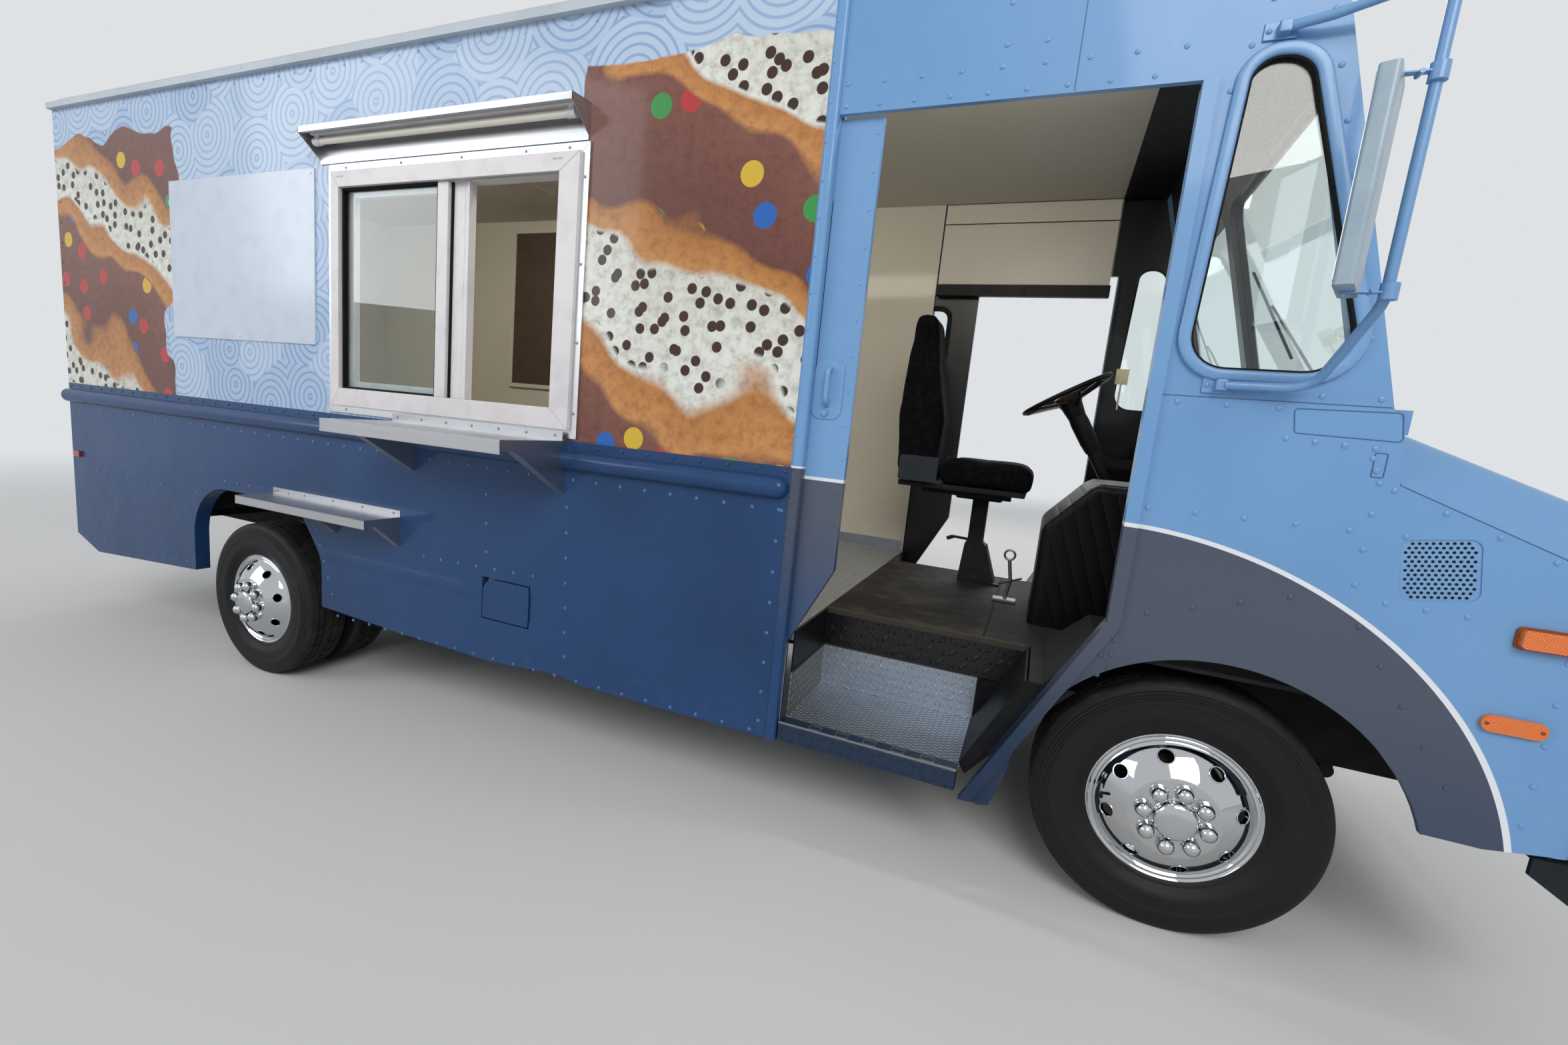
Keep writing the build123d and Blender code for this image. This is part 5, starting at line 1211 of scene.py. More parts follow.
cab_rivets = rows(
    (-1.183, 2.352, -0.37, 2.352), (-1.183, 2.415, -0.31, 2.415), (-1.183, 2.70, -0.08, 2.70),
    (-0.742, 2.47, -0.742, 2.68), (-0.640, 2.47, -0.640, 2.68), (-0.229, 1.580, 0.225, 1.580),
    (-0.190, 1.545, 0.03, 1.545), (-0.236, 0.838, -0.236, 1.716), (-0.236, 1.84, -0.236, 2.28),
    (-0.200, 2.30, -0.09, 2.70), (-0.212, 1.261, 0.330, 1.263), (-0.169, 0.972, 0.135, 1.076),
    (0.283, 1.028, 0.515, 0.671), (0.057, 1.472, 0.235, 1.463, 0.06), (0.235, 1.440, 0.257, 1.383, 0.03),
    (0.289, 1.369, 0.700, 1.202), (0.256, 1.307, 0.256, 1.131, 0.09), (0.322, 1.096, 0.474, 1.092, 0.075),
    (-0.262, 0.773, -0.234, 0.880, 0.05), (-0.325, 0.775, -0.478, 0.455, 0.09),
    (-0.262, 0.830, -0.238, 0.798, 0.03), (0.66, 0.62, 0.66, 1.02, 0.10), (0.180, 1.72, -0.020, 2.46, 0.12),
)
for side_name, side in SIDES:
    studs(f"cab_rivets_{side_name}", cab_rivets, cab_paint, side)
    wall_rivets = rows(
        (TAIL_X + 0.03, 1.239, -1.26, 1.239), (TAIL_X + 0.03, 1.118, -1.26, 1.108),
        (TAIL_X + 0.03, 2.715, -1.26, 2.715), (TAIL_X + 0.022, 0.40, TAIL_X + 0.022, 2.70),
        (-1.270, 0.36, -1.270, 1.11), (-1.300, 0.320, -3.45, 0.300), (-2.118, 0.40, -2.140, 1.00),
        (-2.290, 0.700, -2.893, 0.681), (-2.538, 0.76, -2.548, 1.00), (-3.49, 0.40, -3.60, 0.70, 0.09),
        (-3.80, 0.845, -4.30, 0.845), (-4.66, 0.36, TAIL_X + 0.2, 0.345),
        (TAIL_X + 0.10, 0.76, -4.55, 0.76, 0.16),
    )
    if side > 0:
        wall_rivets += rows(*[(x, 1.30, x, 2.68) for x in BOARD_SEAMS])
    studs(f"wall_rivets_{side_name}", [p for p in wall_rivets if p[1] > RIVET_CHANGE], wall_paint, side)
    # The band's rivets take the lighter blue of a painted highlight; those higher up keep the wall's finish.
    studs(f"band_rivets_{side_name}", [p for p in wall_rivets if p[1] <= RIVET_CHANGE], band_rivet_highlight, side)
    post_rivets = row((-1.230, 0.36), (-1.230, 2.70), 0.110)
    studs(f"post_rivets_{side_name}", post_rivets, wall_paint, side, HALF_WIDTH + 0.012, 0.006)


# Serving window: mitred frames, screws, gasket and the parked sliding pane

def mitred(bm, x, z, widths, y, bevel):
    """A frame of four mitred boards; widths are left, right, sill and head, or one for all."""
    left, right, sill, head = widths if isinstance(widths, tuple) else [widths] * 4
    inner = (x[0] + left, x[1] - right, z[0] + sill, z[1] - head)
    corners = rectangle(*x, *z)
    holes = rectangle(*inner)
    for i in range(4):
        j = (i + 1) % 4
        outline_plate(bm, [corners[i], corners[j], holes[j], holes[i]], y, bevel)


FRAME_PROUD = KERB - 0.024
INNER_FACE = KERB + 0.070
LEFT_PANE = (-3.410, -2.845)
HATCH_EDGE = -2.695
PANE_Z = (1.375, 2.222)
bm = bmesh.new()
mitred(bm, WINDOW_X, WINDOW_Z, 0.034, (KERB - 0.009, KERB), 0.0015)
piece("window_casing", bm, "body", window_bright)
bm = bmesh.new()
mitred(
    bm, (WINDOW_X[0] + 0.032, WINDOW_X[1] - 0.032), (WINDOW_Z[0] + 0.032, WINDOW_Z[1] - 0.032),
    (0.048, 0.091, 0.078, 0.066), (FRAME_PROUD, INNER_FACE), 0.003,
)
mitred(
    bm, (WINDOW_X[0] + 0.060, WINDOW_X[1] - 0.100), (WINDOW_Z[0] + 0.085, WINDOW_Z[1] - 0.075),
    (0.020, 0.023, 0.025, 0.023), (FRAME_PROUD + 0.010, FRAME_PROUD + 0.03), 0.002,
)
piece("window_frame", bm, "body", window_white, stands_for=["serving_window_frame"])
bm = bmesh.new()
slab(bm, (LEFT_PANE[1] - 0.002, LEFT_PANE[1] + 0.056), (KERB - 0.006, KERB + 0.020), PANE_Z, 0.002)
slab(bm, (LEFT_PANE[1] + 0.066, HATCH_EDGE - 0.024), (KERB + 0.016, KERB + 0.046), PANE_Z, 0.002)
slab(bm, (HATCH_EDGE - 0.020, HATCH_EDGE), (KERB + 0.012, KERB + 0.050), PANE_Z, 0.002)
piece("window_stiles", bm, "body", window_white)
bm = bmesh.new()
mitred(
    bm, (LEFT_PANE[0] - 0.001, LEFT_PANE[1] + 0.001), (PANE_Z[0] - 0.001, PANE_Z[1] + 0.001),
    (0.010, 0.008, 0.010, 0.010),
    (KERB - 0.004, KERB + 0.022), 0.001,
)
slab(bm, (LEFT_PANE[1] + 0.056, LEFT_PANE[1] + 0.066), (KERB + 0.010, KERB + 0.040), PANE_Z)
piece("window_gasket", bm, "body", black_rubber)
bm = bmesh.new()
mitred(
    bm, (LEFT_PANE[0] + 0.012, LEFT_PANE[1] + 0.030), (PANE_Z[0] + 0.004, PANE_Z[1] - 0.004),
    (0.034, 0.034, 0.030, 0.030),
    (KERB + 0.026, KERB + 0.050), 0.002,
)
piece("parked_pane_frame", bm, "body", window_white)
bm = bmesh.new()
places = [(x, z) for x in (WINDOW_X[0] + 0.017, WINDOW_X[1] - 0.017) for z in (1.36, 1.62, 1.90, 2.20)]
places += [(x, z) for x in (-3.38, -3.05, -2.72, -2.40, -2.20) for z in (WINDOW_Z[0] + 0.017, WINDOW_Z[1] - 0.017)]
screws(bm, places, KERB - 0.009, 0.006, 0.003)
for x in (-3.40, -2.24):
    for dx in (-0.012, 0.012):
        block(bm, (x + dx - 0.009, FRAME_PROUD - 0.0015, 2.262), (x + dx + 0.009, FRAME_PROUD, 2.266))
piece("window_screws", bm, "body", steel)


# Awning over the window: bent stainless with end caps and a tube lamp

AWNING_X = (-3.547, -2.122)
AWNING_TOP, AWNING_FOOT = 2.450, 2.337
AWNING_TIP = KERB - 0.104
bm = bmesh.new()
section = [
    (KERB, AWNING_FOOT), (KERB, AWNING_TOP), (AWNING_TIP, AWNING_TOP - 0.007),
    (AWNING_TIP, 2.419), (AWNING_TIP + 0.012, 2.417), (AWNING_TIP + 0.012, 2.4205), (AWNING_TIP + 0.003, 2.4225),
    (AWNING_TIP + 0.003, AWNING_TOP - 0.010), (KERB - 0.003, AWNING_TOP - 0.003), (KERB - 0.003, AWNING_FOOT),
]
outline_plate(bm, section, AWNING_X, plane="YZ")
for end, inward in ((AWNING_X[0], 1), (AWNING_X[1], -1)):
    outline_plate(bm, section[:4], sorted((end, end + inward * 0.0025)), plane="YZ")
block(bm, (AWNING_X[0], KERB - 0.006, AWNING_FOOT - 0.012), (AWNING_X[1], KERB, AWNING_FOOT + 0.020), 0.001)
piece("awning_sheet", bm, "body", stainless, stands_for=["awning"])
bm = bmesh.new()
lamp_y, lamp_z = KERB - 0.046, 2.400
rod(bm, (AWNING_X[0] + 0.060, lamp_y, lamp_z), (AWNING_X[1] - 0.060, lamp_y, lamp_z), 0.0135, segments=24)
lamp_tube = make_plain("lamp_tube", "white_panel", "e9e4d6", 0.15, 0.25, 20.0, 0.0002)
piece("awning_lamp_tube", bm, "body", lamp_tube)
bm = bmesh.new()
for x in (AWNING_X[0] + 0.045, AWNING_X[1] - 0.045):
    rod(bm, (x - 0.020, lamp_y, lamp_z), (x + 0.020, lamp_y, lamp_z), 0.0165, segments=24)
    block(bm, (x - 0.012, lamp_y - 0.010, lamp_z + 0.010), (x + 0.012, lamp_y + 0.010, AWNING_TOP - 0.008), 0.002)
holder_z = (AWNING_TOP - 0.028, AWNING_TOP - 0.009)
slab(bm, (AWNING_X[0] + 0.02, AWNING_X[1] - 0.02), (lamp_y - 0.022, lamp_y + 0.022), holder_z, 0.003)
piece("awning_lamp_holder", bm, "body", window_white)


# Shelves: folded stainless with hemmed lips and channel brackets

def shelf(bm, x, top, reach, lip, back_rise, back_y, foot, bracket_xs):
    """One folded shelf on its brackets."""
    tip = KERB - reach
    block(bm, (x[0], tip, top - 0.0025), (x[1], KERB, top), 0.0008)
    block(bm, (x[0], tip, top - lip), (x[1], tip + 0.0025, top), 0.0008)
    block(bm, (x[0], tip, top - lip), (x[1], tip + 0.016, top - lip + 0.0025), 0.0008)
    for end in (x[0], x[1] - 0.0025):
        block(bm, (end, tip, top - lip * 0.8), (end + 0.0025, KERB - 0.002, top), 0.0008)
    block(bm, (x[0], back_y - 0.0025, top - 0.002), (x[1], back_y, top + back_rise), 0.0008)
    for middle in bracket_xs:
        for sheet_x in (middle - 0.021, middle + 0.019):
            web = [(KERB, top - 0.003), (tip + 0.04, top - 0.003), (tip + 0.04, top - 0.022), (KERB, foot)]
            outline_plate(bm, web, (sheet_x, sheet_x + 0.0022), plane="YZ")
        slope = [
            (tip + 0.04, top - 0.022), (KERB, foot), (KERB, foot + 0.003), (tip + 0.042, top - 0.019),
        ]
        outline_plate(bm, slope, (middle - 0.021, middle + 0.021), plane="YZ")


bm = bmesh.new()
shelf(bm, (-3.063, -2.155), 1.256, 0.350, 0.050, 0.034, KERB - 0.026, 1.050, (-2.979, -2.176))
shelf(bm, (-3.914, -3.040), 0.836, 0.176, 0.040, 0.028, KERB, 0.700, (-3.478, -3.061))
piece("shelf_sheets", bm, "body", stainless, stands_for=["shelves"])
bm = bmesh.new()
screws(bm, row((-3.03, 1.274), (-2.19, 1.274), 0.14), KERB - 0.0285, 0.0055, 0.004)
screws(bm, row((-3.88, 0.850), (-3.08, 0.850), 0.20), KERB - 0.0025, 0.005, 0.004)
piece("shelf_screws", bm, "body", steel)


# Blank menu board with screws at its edge
bm = bmesh.new()
board_low, board_high = node_box("menu_board")
columns = (board_low.x + 0.02, (board_low.x + board_high.x) / 2, board_high.x - 0.02)
places = [(x, z) for x in columns for z in (board_low.z + 0.02, board_high.z - 0.02)]
screws(bm, places, board_low.y, 0.005, 0.0025)
piece("menu_board_screws", bm, "body", window_bright)


# Sliding doors: hand grip in its recessed plate, rivet column and window rubber
for side_name, side, front_x in (("right", -1, -1.067), ("left", 1, -0.955)):
    body = f"cab_door_{side_name}"
    face = side * DOOR_FACE
    bm = bmesh.new()
    plate = rounded(rectangle(front_x - 0.133, front_x - 0.035, 1.422, 1.609), 0.030)
    outline_plate(bm, plate, span(side, DOOR_FACE, DOOR_FACE + 0.004), 0.0012)
    piece(f"door_grip_plate_{side_name}", bm, body, blue_trim)
    grip_x = front_x - 0.083
    bm = bent_tube(
        "grip", [
            (grip_x, face, 1.585), (grip_x, face + side * 0.026, 1.575), (grip_x, face + side * 0.026, 1.480),
            (grip_x, face, 1.465),
        ], 0.009, 0.02,
    )
    rod(bm, (grip_x - 0.004, face, 1.442), (grip_x - 0.004, face + side * 0.012, 1.442), 0.012, 0.010)
    piece(f"door_grip_{side_name}", bm, body, blue_trim)
    bm = bmesh.new()
    for x, z in row((front_x - 0.016, 0.97), (front_x - 0.016, 2.28), 0.113):
        rivet_head(bm, (x, face, z), (0, side, 0), 0.005, 0.003)
    piece(f"door_rivets_{side_name}", bm, body, door_paint)
    pane = node_box(f"door_glass_{side_name}")
    hole = rectangle(pane[0].x, pane[1].x, pane[0].z, pane[1].z)
    outer, inner = rounded(grown(hole, 0.018), 0.075), rounded(grown(hole, -0.010), 0.050)
    bm = bmesh.new()
    ring_plate(bm, outer, inner, span(side, 1.0465, 1.0175), bevel=0.002)
    piece(f"door_window_rubber_{side_name}", bm, body, black_rubber)


# Quarter windows: a full opening in the skin, the painted ring, the pane and its thin rubber. The skins of the nose,
# the hood and the cab sides show as merged copies, because the CAD's long facets would shade as streaks.
QUARTER = [(-0.161, 2.369), (-0.045, 2.366), (0.180, 1.632), (-0.190, 1.635)]
QUARTER_RADII = [0.055, 0.070, 0.090, 0.085]


def quarter_outline(amount):
    """The quarter window's outline, moved outwards by an amount."""
    return rounded(grown(QUARTER, amount), [r + amount for r in QUARTER_RADII], 8)


LONGEST_EDGE = 0.055
SHADING_REACH = 0.070
SHADING_COUNT = 36
SHADING_ANGLE = radians(24)


def even_shading(obj):
    """Shades a faceted skin like the smooth surface it stands for."""
    bm = bmesh.new()
    bm.from_mesh(obj.data)
    for _ in range(6):
        long_edges = [e for e in bm.edges if e.calc_length() > LONGEST_EDGE]
        if not long_edges:
            break
        bmesh.ops.subdivide_edges(bm, edges=long_edges, cuts=1, use_grid_fill=True)
        bmesh.ops.triangulate(bm, faces=[f for f in bm.faces if len(f.verts) > 3])
    bm.to_mesh(obj.data)
    bm.free()
    mesh = obj.data
    tree = KDTree(len(mesh.polygons))
    for face in mesh.polygons:
        tree.insert(face.center, face.index)
    tree.balance()
    facing = [face.normal.copy() for face in mesh.polygons]
    weights = [face.area for face in mesh.polygons]
    nearby = [None] * len(mesh.vertices)
    normals = [None] * len(mesh.loops)
    limit = cos(SHADING_ANGLE)
    for face in mesh.polygons:
        own = facing[face.index]
        for number in face.loop_indices:
            index = mesh.loops[number].vertex_index
            if nearby[index] is None:
                nearby[index] = tree.find_n(mesh.vertices[index].co, SHADING_COUNT)
            total = own * weights[face.index] * 0.05
            for _, other, distance in nearby[index]:
                if facing[other].dot(own) > limit:
                    total += facing[other] * (weights[other] * max(0.0, 1 - distance / SHADING_REACH) ** 2)
            normals[number] = total.normalized()
    mesh.normals_split_custom_set(normals)


def skin_of(node, body, cutter=None):
    """A CAD skin's own mesh, merged and evenly shaded, to show in its place."""
    bm = bmesh.new()
    bm.from_mesh(nodes[node].data)
    bmesh.ops.remove_doubles(bm, verts=bm.verts[:], dist=1e-5)
    skin = piece(f"{node}_skin", bm, body, cab_paint, 40, [node], rails=False)
    if cutter is not None:
        bored(skin, cutter)
    even_shading(skin)


skin_of("nose_panel", "body")
skin_of("hood", "hood")
panes = bmesh.new()
panes.from_mesh(nodes["window_glass"].data)
bmesh.ops.remove_doubles(panes, verts=panes.verts[:], dist=1e-5)
bmesh.ops.transform(panes, matrix=to_rails, verts=panes.verts[:])
quarter_panes = [v for v in panes.verts if abs(v.co.x) < 0.3 and abs(v.co.y) > HALF_WIDTH - 0.030]
bmesh.ops.delete(panes, geom=quarter_panes, context="VERTS")
for side_name, side in SIDES:
    cutter = bmesh.new()
    outline_plate(cutter, quarter_outline(0.0), span(side, HALF_WIDTH + 0.002, HALF_WIDTH - 0.0205))
    skin_of(f"cab_side_{side_name}", "body", cutter)
    outline_plate(panes, quarter_outline(0.003), span(side, HALF_WIDTH - 0.014, HALF_WIDTH - 0.009))
    bm = bmesh.new()
    y = span(side, HALF_WIDTH - 0.004, HALF_WIDTH + 0.014)
    ring_plate(bm, quarter_outline(0.031), quarter_outline(0.001), y, bevel=0.006)
    piece(f"quarter_ring_{side_name}", bm, "body", blue_trim, 50)
    bm = bmesh.new()
    y = span(side, HALF_WIDTH - 0.018, HALF_WIDTH + 0.006)
    ring_plate(bm, quarter_outline(0.0015), quarter_outline(-0.004), y)
    piece(f"quarter_rubber_{side_name}", bm, "body", black_rubber, 50)
piece("window_panes", panes, "body", clear_glass, 30, ["window_glass"])


# Perforated air vents on both flanks of the nose
VENT = (0.405, 1.192)
VENT_HALF = 0.074
VENT_TURN = radians(9)
for side_name, side in SIDES:
    tilt = Matrix.Rotation(VENT_TURN, 2)
    square = rectangle(-VENT_HALF, VENT_HALF, -VENT_HALF, VENT_HALF)
    corners = [tuple(Vector(VENT) + tilt @ Vector(corner)) for corner in square]
    bm = bmesh.new()
    y_pair = span(side, HALF_WIDTH - 0.0045, HALF_WIDTH - 0.0030)
    outline_plate(bm, rounded(corners, 0.022), y_pair)
    piece(f"vent_plate_{side_name}", bm, "body", blue_trim)
    # The perforations are black discs in the rubber finish on a solid plate: painted shade of the hollow behind them.
    bm = bmesh.new()
    for line in range(13):
        for place in range(11):
            spot = Vector(((place - 5 + 0.5 * (line % 2)) * 0.0125, (line - 6) * 0.0108))
            if max(abs(spot.x), abs(spot.y)) > 0.068 or abs(spot.x) + abs(spot.y) > 0.126:
                continue
            hole = Vector(VENT) + tilt @ spot
            rod(
                bm, (hole.x, side * (HALF_WIDTH - 0.0040), hole.y), (hole.x, side * (HALF_WIDTH - 0.0026), hole.y),
                0.0036, segments=8,
            )
    piece(f"vent_holes_{side_name}", bm, "body", black_rubber)


# Access plate and slot drawn on the cowl corners, panel seams of the cab
SKIN_SEAM = (KERB - 0.0010, KERB + 0.001)
bm = bmesh.new()
plate = [(0.060, 1.548), (0.070, 1.486), (0.284, 1.482), (0.272, 1.552)]
slot_plate = rectangle(0.236, 0.262, 1.395, 1.455)
for shape, corner in ((plate, 0.010), (slot_plate, 0.005)):
    ring_plate(bm, rounded(shape, corner), rounded(grown(shape, -0.0022), corner - 0.0022), SKIN_SEAM)
mirrored(bm)
piece("cowl_plates", bm, "body", seam_blue)
bm = bmesh.new()
for shape in (
    [(-0.262, 1.5610), (0.249, 1.5610), (0.249, 1.5630), (-0.262, 1.5630)],
    [(0.296, 1.3820), (0.717, 1.2080), (0.717, 1.2100), (0.296, 1.3840)],
    [(-0.5555, 2.336), (-0.5535, 2.336), (-0.5535, 2.742), (-0.5555, 2.742)],
):
    outline_plate(bm, shape, SKIN_SEAM)
mirrored(bm)
piece("cab_seams", bm, "body", seam_blue)


# Mirrors
MIRROR_Y = HALF_WIDTH + 0.230
MIRROR_TUBE_X = 0.118
HEAD_X = 0.045
HEAD_HALF = (0.0185, 0.075)
HEAD_Z = (1.780, 2.203)
HEAD_TURN = radians(21)
BALL_PLACE = (0.112, MIRROR_Y - 0.150, 2.452)
BALL_RADIUS = 0.020
for side_name, side in SIDES:
    def out(x, y, z):
        return (x, side * y, z)
    bm = bent_tube(
        "mirror_arm", [
            out(-0.098, HALF_WIDTH + 0.024, 1.592), out(0.075, HALF_WIDTH + 0.040, 1.592),
            out(MIRROR_TUBE_X, MIRROR_Y - 0.010, 1.760), out(MIRROR_TUBE_X, MIRROR_Y, 2.440),
            out(*BALL_PLACE),
        ], 0.011, 0.07, 10,
    )
    piece(f"mirror_arm_{side_name}", bm, "body", blue_trim, 60)
    bm = bent_tube(
        "mirror_brace", [
            out(-0.112, HALF_WIDTH + 0.016, 2.424), out(-0.030, HALF_WIDTH + 0.040, 2.428),
            out(*BALL_PLACE),
        ], 0.011, 0.05, 8,
    )
    ball = [(BALL_RADIUS * sin(radians(a)), BALL_RADIUS * cos(radians(a))) for a in range(-90, 91, 15)]
    turned(bm, ball, Matrix.Translation(out(*BALL_PLACE)), 20)
    piece(f"mirror_brace_{side_name}", bm, "body", blue_trim, 60)
    bm = bmesh.new()
    for foot_x, foot_z in ((-0.105, 1.592), (-0.116, 2.424)):
        for back, ahead, proud, half, bevel in (
            (0.038, 0.030, 0.006, 0.020, 0.002), (0.012, 0.014, 0.030, 0.014, 0.004),
        ):
            y = span(side, HALF_WIDTH, HALF_WIDTH + proud)
            slab(bm, (foot_x - back, foot_x + ahead), y, (foot_z - half, foot_z + half), bevel)
        for dx in (-0.028, 0.022):
            rivet_head(bm, out(foot_x + dx, HALF_WIDTH + 0.006, foot_z), (0, side, 0), 0.007, 0.005)
    middle = side * MIRROR_Y
    for strap_z, inward in zip(HEAD_Z, (1, -1)):
        low, high = sorted((strap_z - inward * 0.004, strap_z))
        block(bm, (HEAD_X - 0.008, middle - 0.009, low), (MIRROR_TUBE_X, middle + 0.009, high), 0.001)
        rod(bm, (HEAD_X, middle, strap_z - inward * 0.012), (HEAD_X, middle, strap_z), 0.006, segments=6)
        rod(bm, (MIRROR_TUBE_X, middle, strap_z - 0.017), (MIRROR_TUBE_X, middle, strap_z + 0.017), 0.0165, segments=20)
        bolt_x = MIRROR_TUBE_X - 0.030
        rod(bm, (bolt_x, middle - 0.014, strap_z), (bolt_x, middle + 0.014, strap_z), 0.005, segments=6)
    piece(f"mirror_fittings_{side_name}", bm, "body", blue_trim)
    turn = Matrix.Rotation(side * HEAD_TURN, 3, "Z")
    flat_turn = Matrix.Rotation(side * HEAD_TURN, 2)
    bm = bmesh.new()
    section = rounded(rectangle(-HEAD_HALF[0], HEAD_HALF[0], -HEAD_HALF[1], HEAD_HALF[1]), 0.010)
    section = [tuple(Vector((HEAD_X, middle)) + flat_turn @ Vector(point)) for point in section]
    outline_plate(bm, section, HEAD_Z, 0.004, plane="XY", segments=3)
    piece(f"mirror_head_{side_name}", bm, "body", mirror_grey, 40, ["mirrors"] if side < 0 else ())
    bm = bmesh.new()
    spot = Vector((HEAD_X, middle, sum(HEAD_Z) / 2)) + turn @ Vector((-HEAD_HALF[0], 0, 0))
    half = Vector((0.0014, HEAD_HALF[1] - 0.009, (HEAD_Z[1] - HEAD_Z[0]) / 2 - 0.012))
    block(bm, spot - half, spot + half, 0.0006, turn=turn)
    piece(f"mirror_glass_{side_name}", bm, "body", mirror_glass)


# Nose: side lamps, headlamps, wipers and the windscreen's rubber
LAMP_SEAT = Matrix.Translation((NOSE_X, 0.690, 0.925)) @ Matrix.Rotation(pi / 2, 4, "Y")
bm = bmesh.new()
for low, high, proud, corner in (
    ((0.565, 1.041), (0.691, 1.085), 0.024, 0.010), ((0.539, 0.832), (0.656, 0.873), 0.011, 0.0195),
):
    outline_plate(bm, rounded(rectangle(low[0], high[0], low[1], high[1]), corner), (KERB - proud, KERB), 0.003)
mirrored(bm)
piece("amber_side_lenses", bm, "body", amber_lens, stands_for=["amber_lamps"])
bm = bmesh.new()
outline_plate(bm, rounded(rectangle(0.560, 0.696, 1.036, 1.090), 0.012), (KERB - 0.007, KERB), 0.002)
screws(bm, [(0.549, 0.8525), (0.646, 0.8525)], KERB - 0.0105, 0.005, 0.003)
mirrored(bm)
piece("amber_lamp_bases", bm, "body", make_plain("lamp_base", "amber_lens", "7d3d14", 0.3, 0.5))
bm = bmesh.new()
bezel = [
    (-0.014, 0.089), (0.010, 0.089), (0.013, 0.092), (0.012, 0.102), (0.004, 0.106), (-0.002, 0.104), (-0.002, 0.094),
]
turned(bm, bezel, LAMP_SEAT, 48, closed=True)
mirrored(bm)
piece("headlamp_rings", bm, "body", chrome)
bm = bmesh.new()
lens = [(0.004, 0.0885), (0.009, 0.075), (0.013, 0.050), (0.0155, 0.025), (0.016, 0.0), (0.012, 0.0), (0.0, 0.0885)]
turned(bm, lens, LAMP_SEAT, 48)
mirrored(bm)
headlamp_lens = make_lens("headlamp_lens", "lamp_lens", "b9c0c4")
piece("headlamp_lenses", bm, "body", headlamp_lens)

screen_turn = Matrix.Rotation(-SCREEN_LEAN, 3, "Y")


def on_screen(y, up, out=0.0):
    """A place on the windscreen's outer face: across, up from the cowl, and out from it."""
    return Vector((COWL[0], 0, COWL[1])) + screen_turn @ Vector((out, y, up))


for index, (pivot_y, tip_y) in enumerate(((-0.62, -0.24), (0.36, 0.78))):
    arm = [on_screen(pivot_y, 0.045, 0.022), on_screen(tip_y, 0.36, 0.026), on_screen(tip_y + 0.02, 0.40, 0.016)]
    bm = bent_tube("wiper", arm, 0.0045, 0.03)
    rod(bm, on_screen(pivot_y, 0.040, 0.001), on_screen(pivot_y, 0.040, 0.030), 0.014, 0.010)
    rod(bm, on_screen(tip_y - 0.14, 0.20, 0.010), on_screen(tip_y + 0.16, 0.55, 0.010), 0.0045, segments=8)
    piece(f"wiper_{index + 1}", bm, "body", black_rubber)
bm = bmesh.new()
PANE_MARGIN, POST_HALF = 0.104, 0.035
hole = rectangle(POST_HALF, HALF_WIDTH - 0.021 - PANE_MARGIN, 0.090, 0.810)
outer, inner = rounded(grown(hole, 0.014), 0.084, 8), rounded(grown(hole, -0.010), 0.060, 8)
ring_plate(bm, outer, inner, (-0.016, 0.006), plane="YZ", bevel=0.002)
mirrored(bm)
bmesh.ops.transform(bm, matrix=Matrix.Translation((COWL[0], 0, COWL[1])) @ screen_turn.to_4x4(), verts=bm.verts[:])
piece("windscreen_rubber", bm, "body", black_rubber)


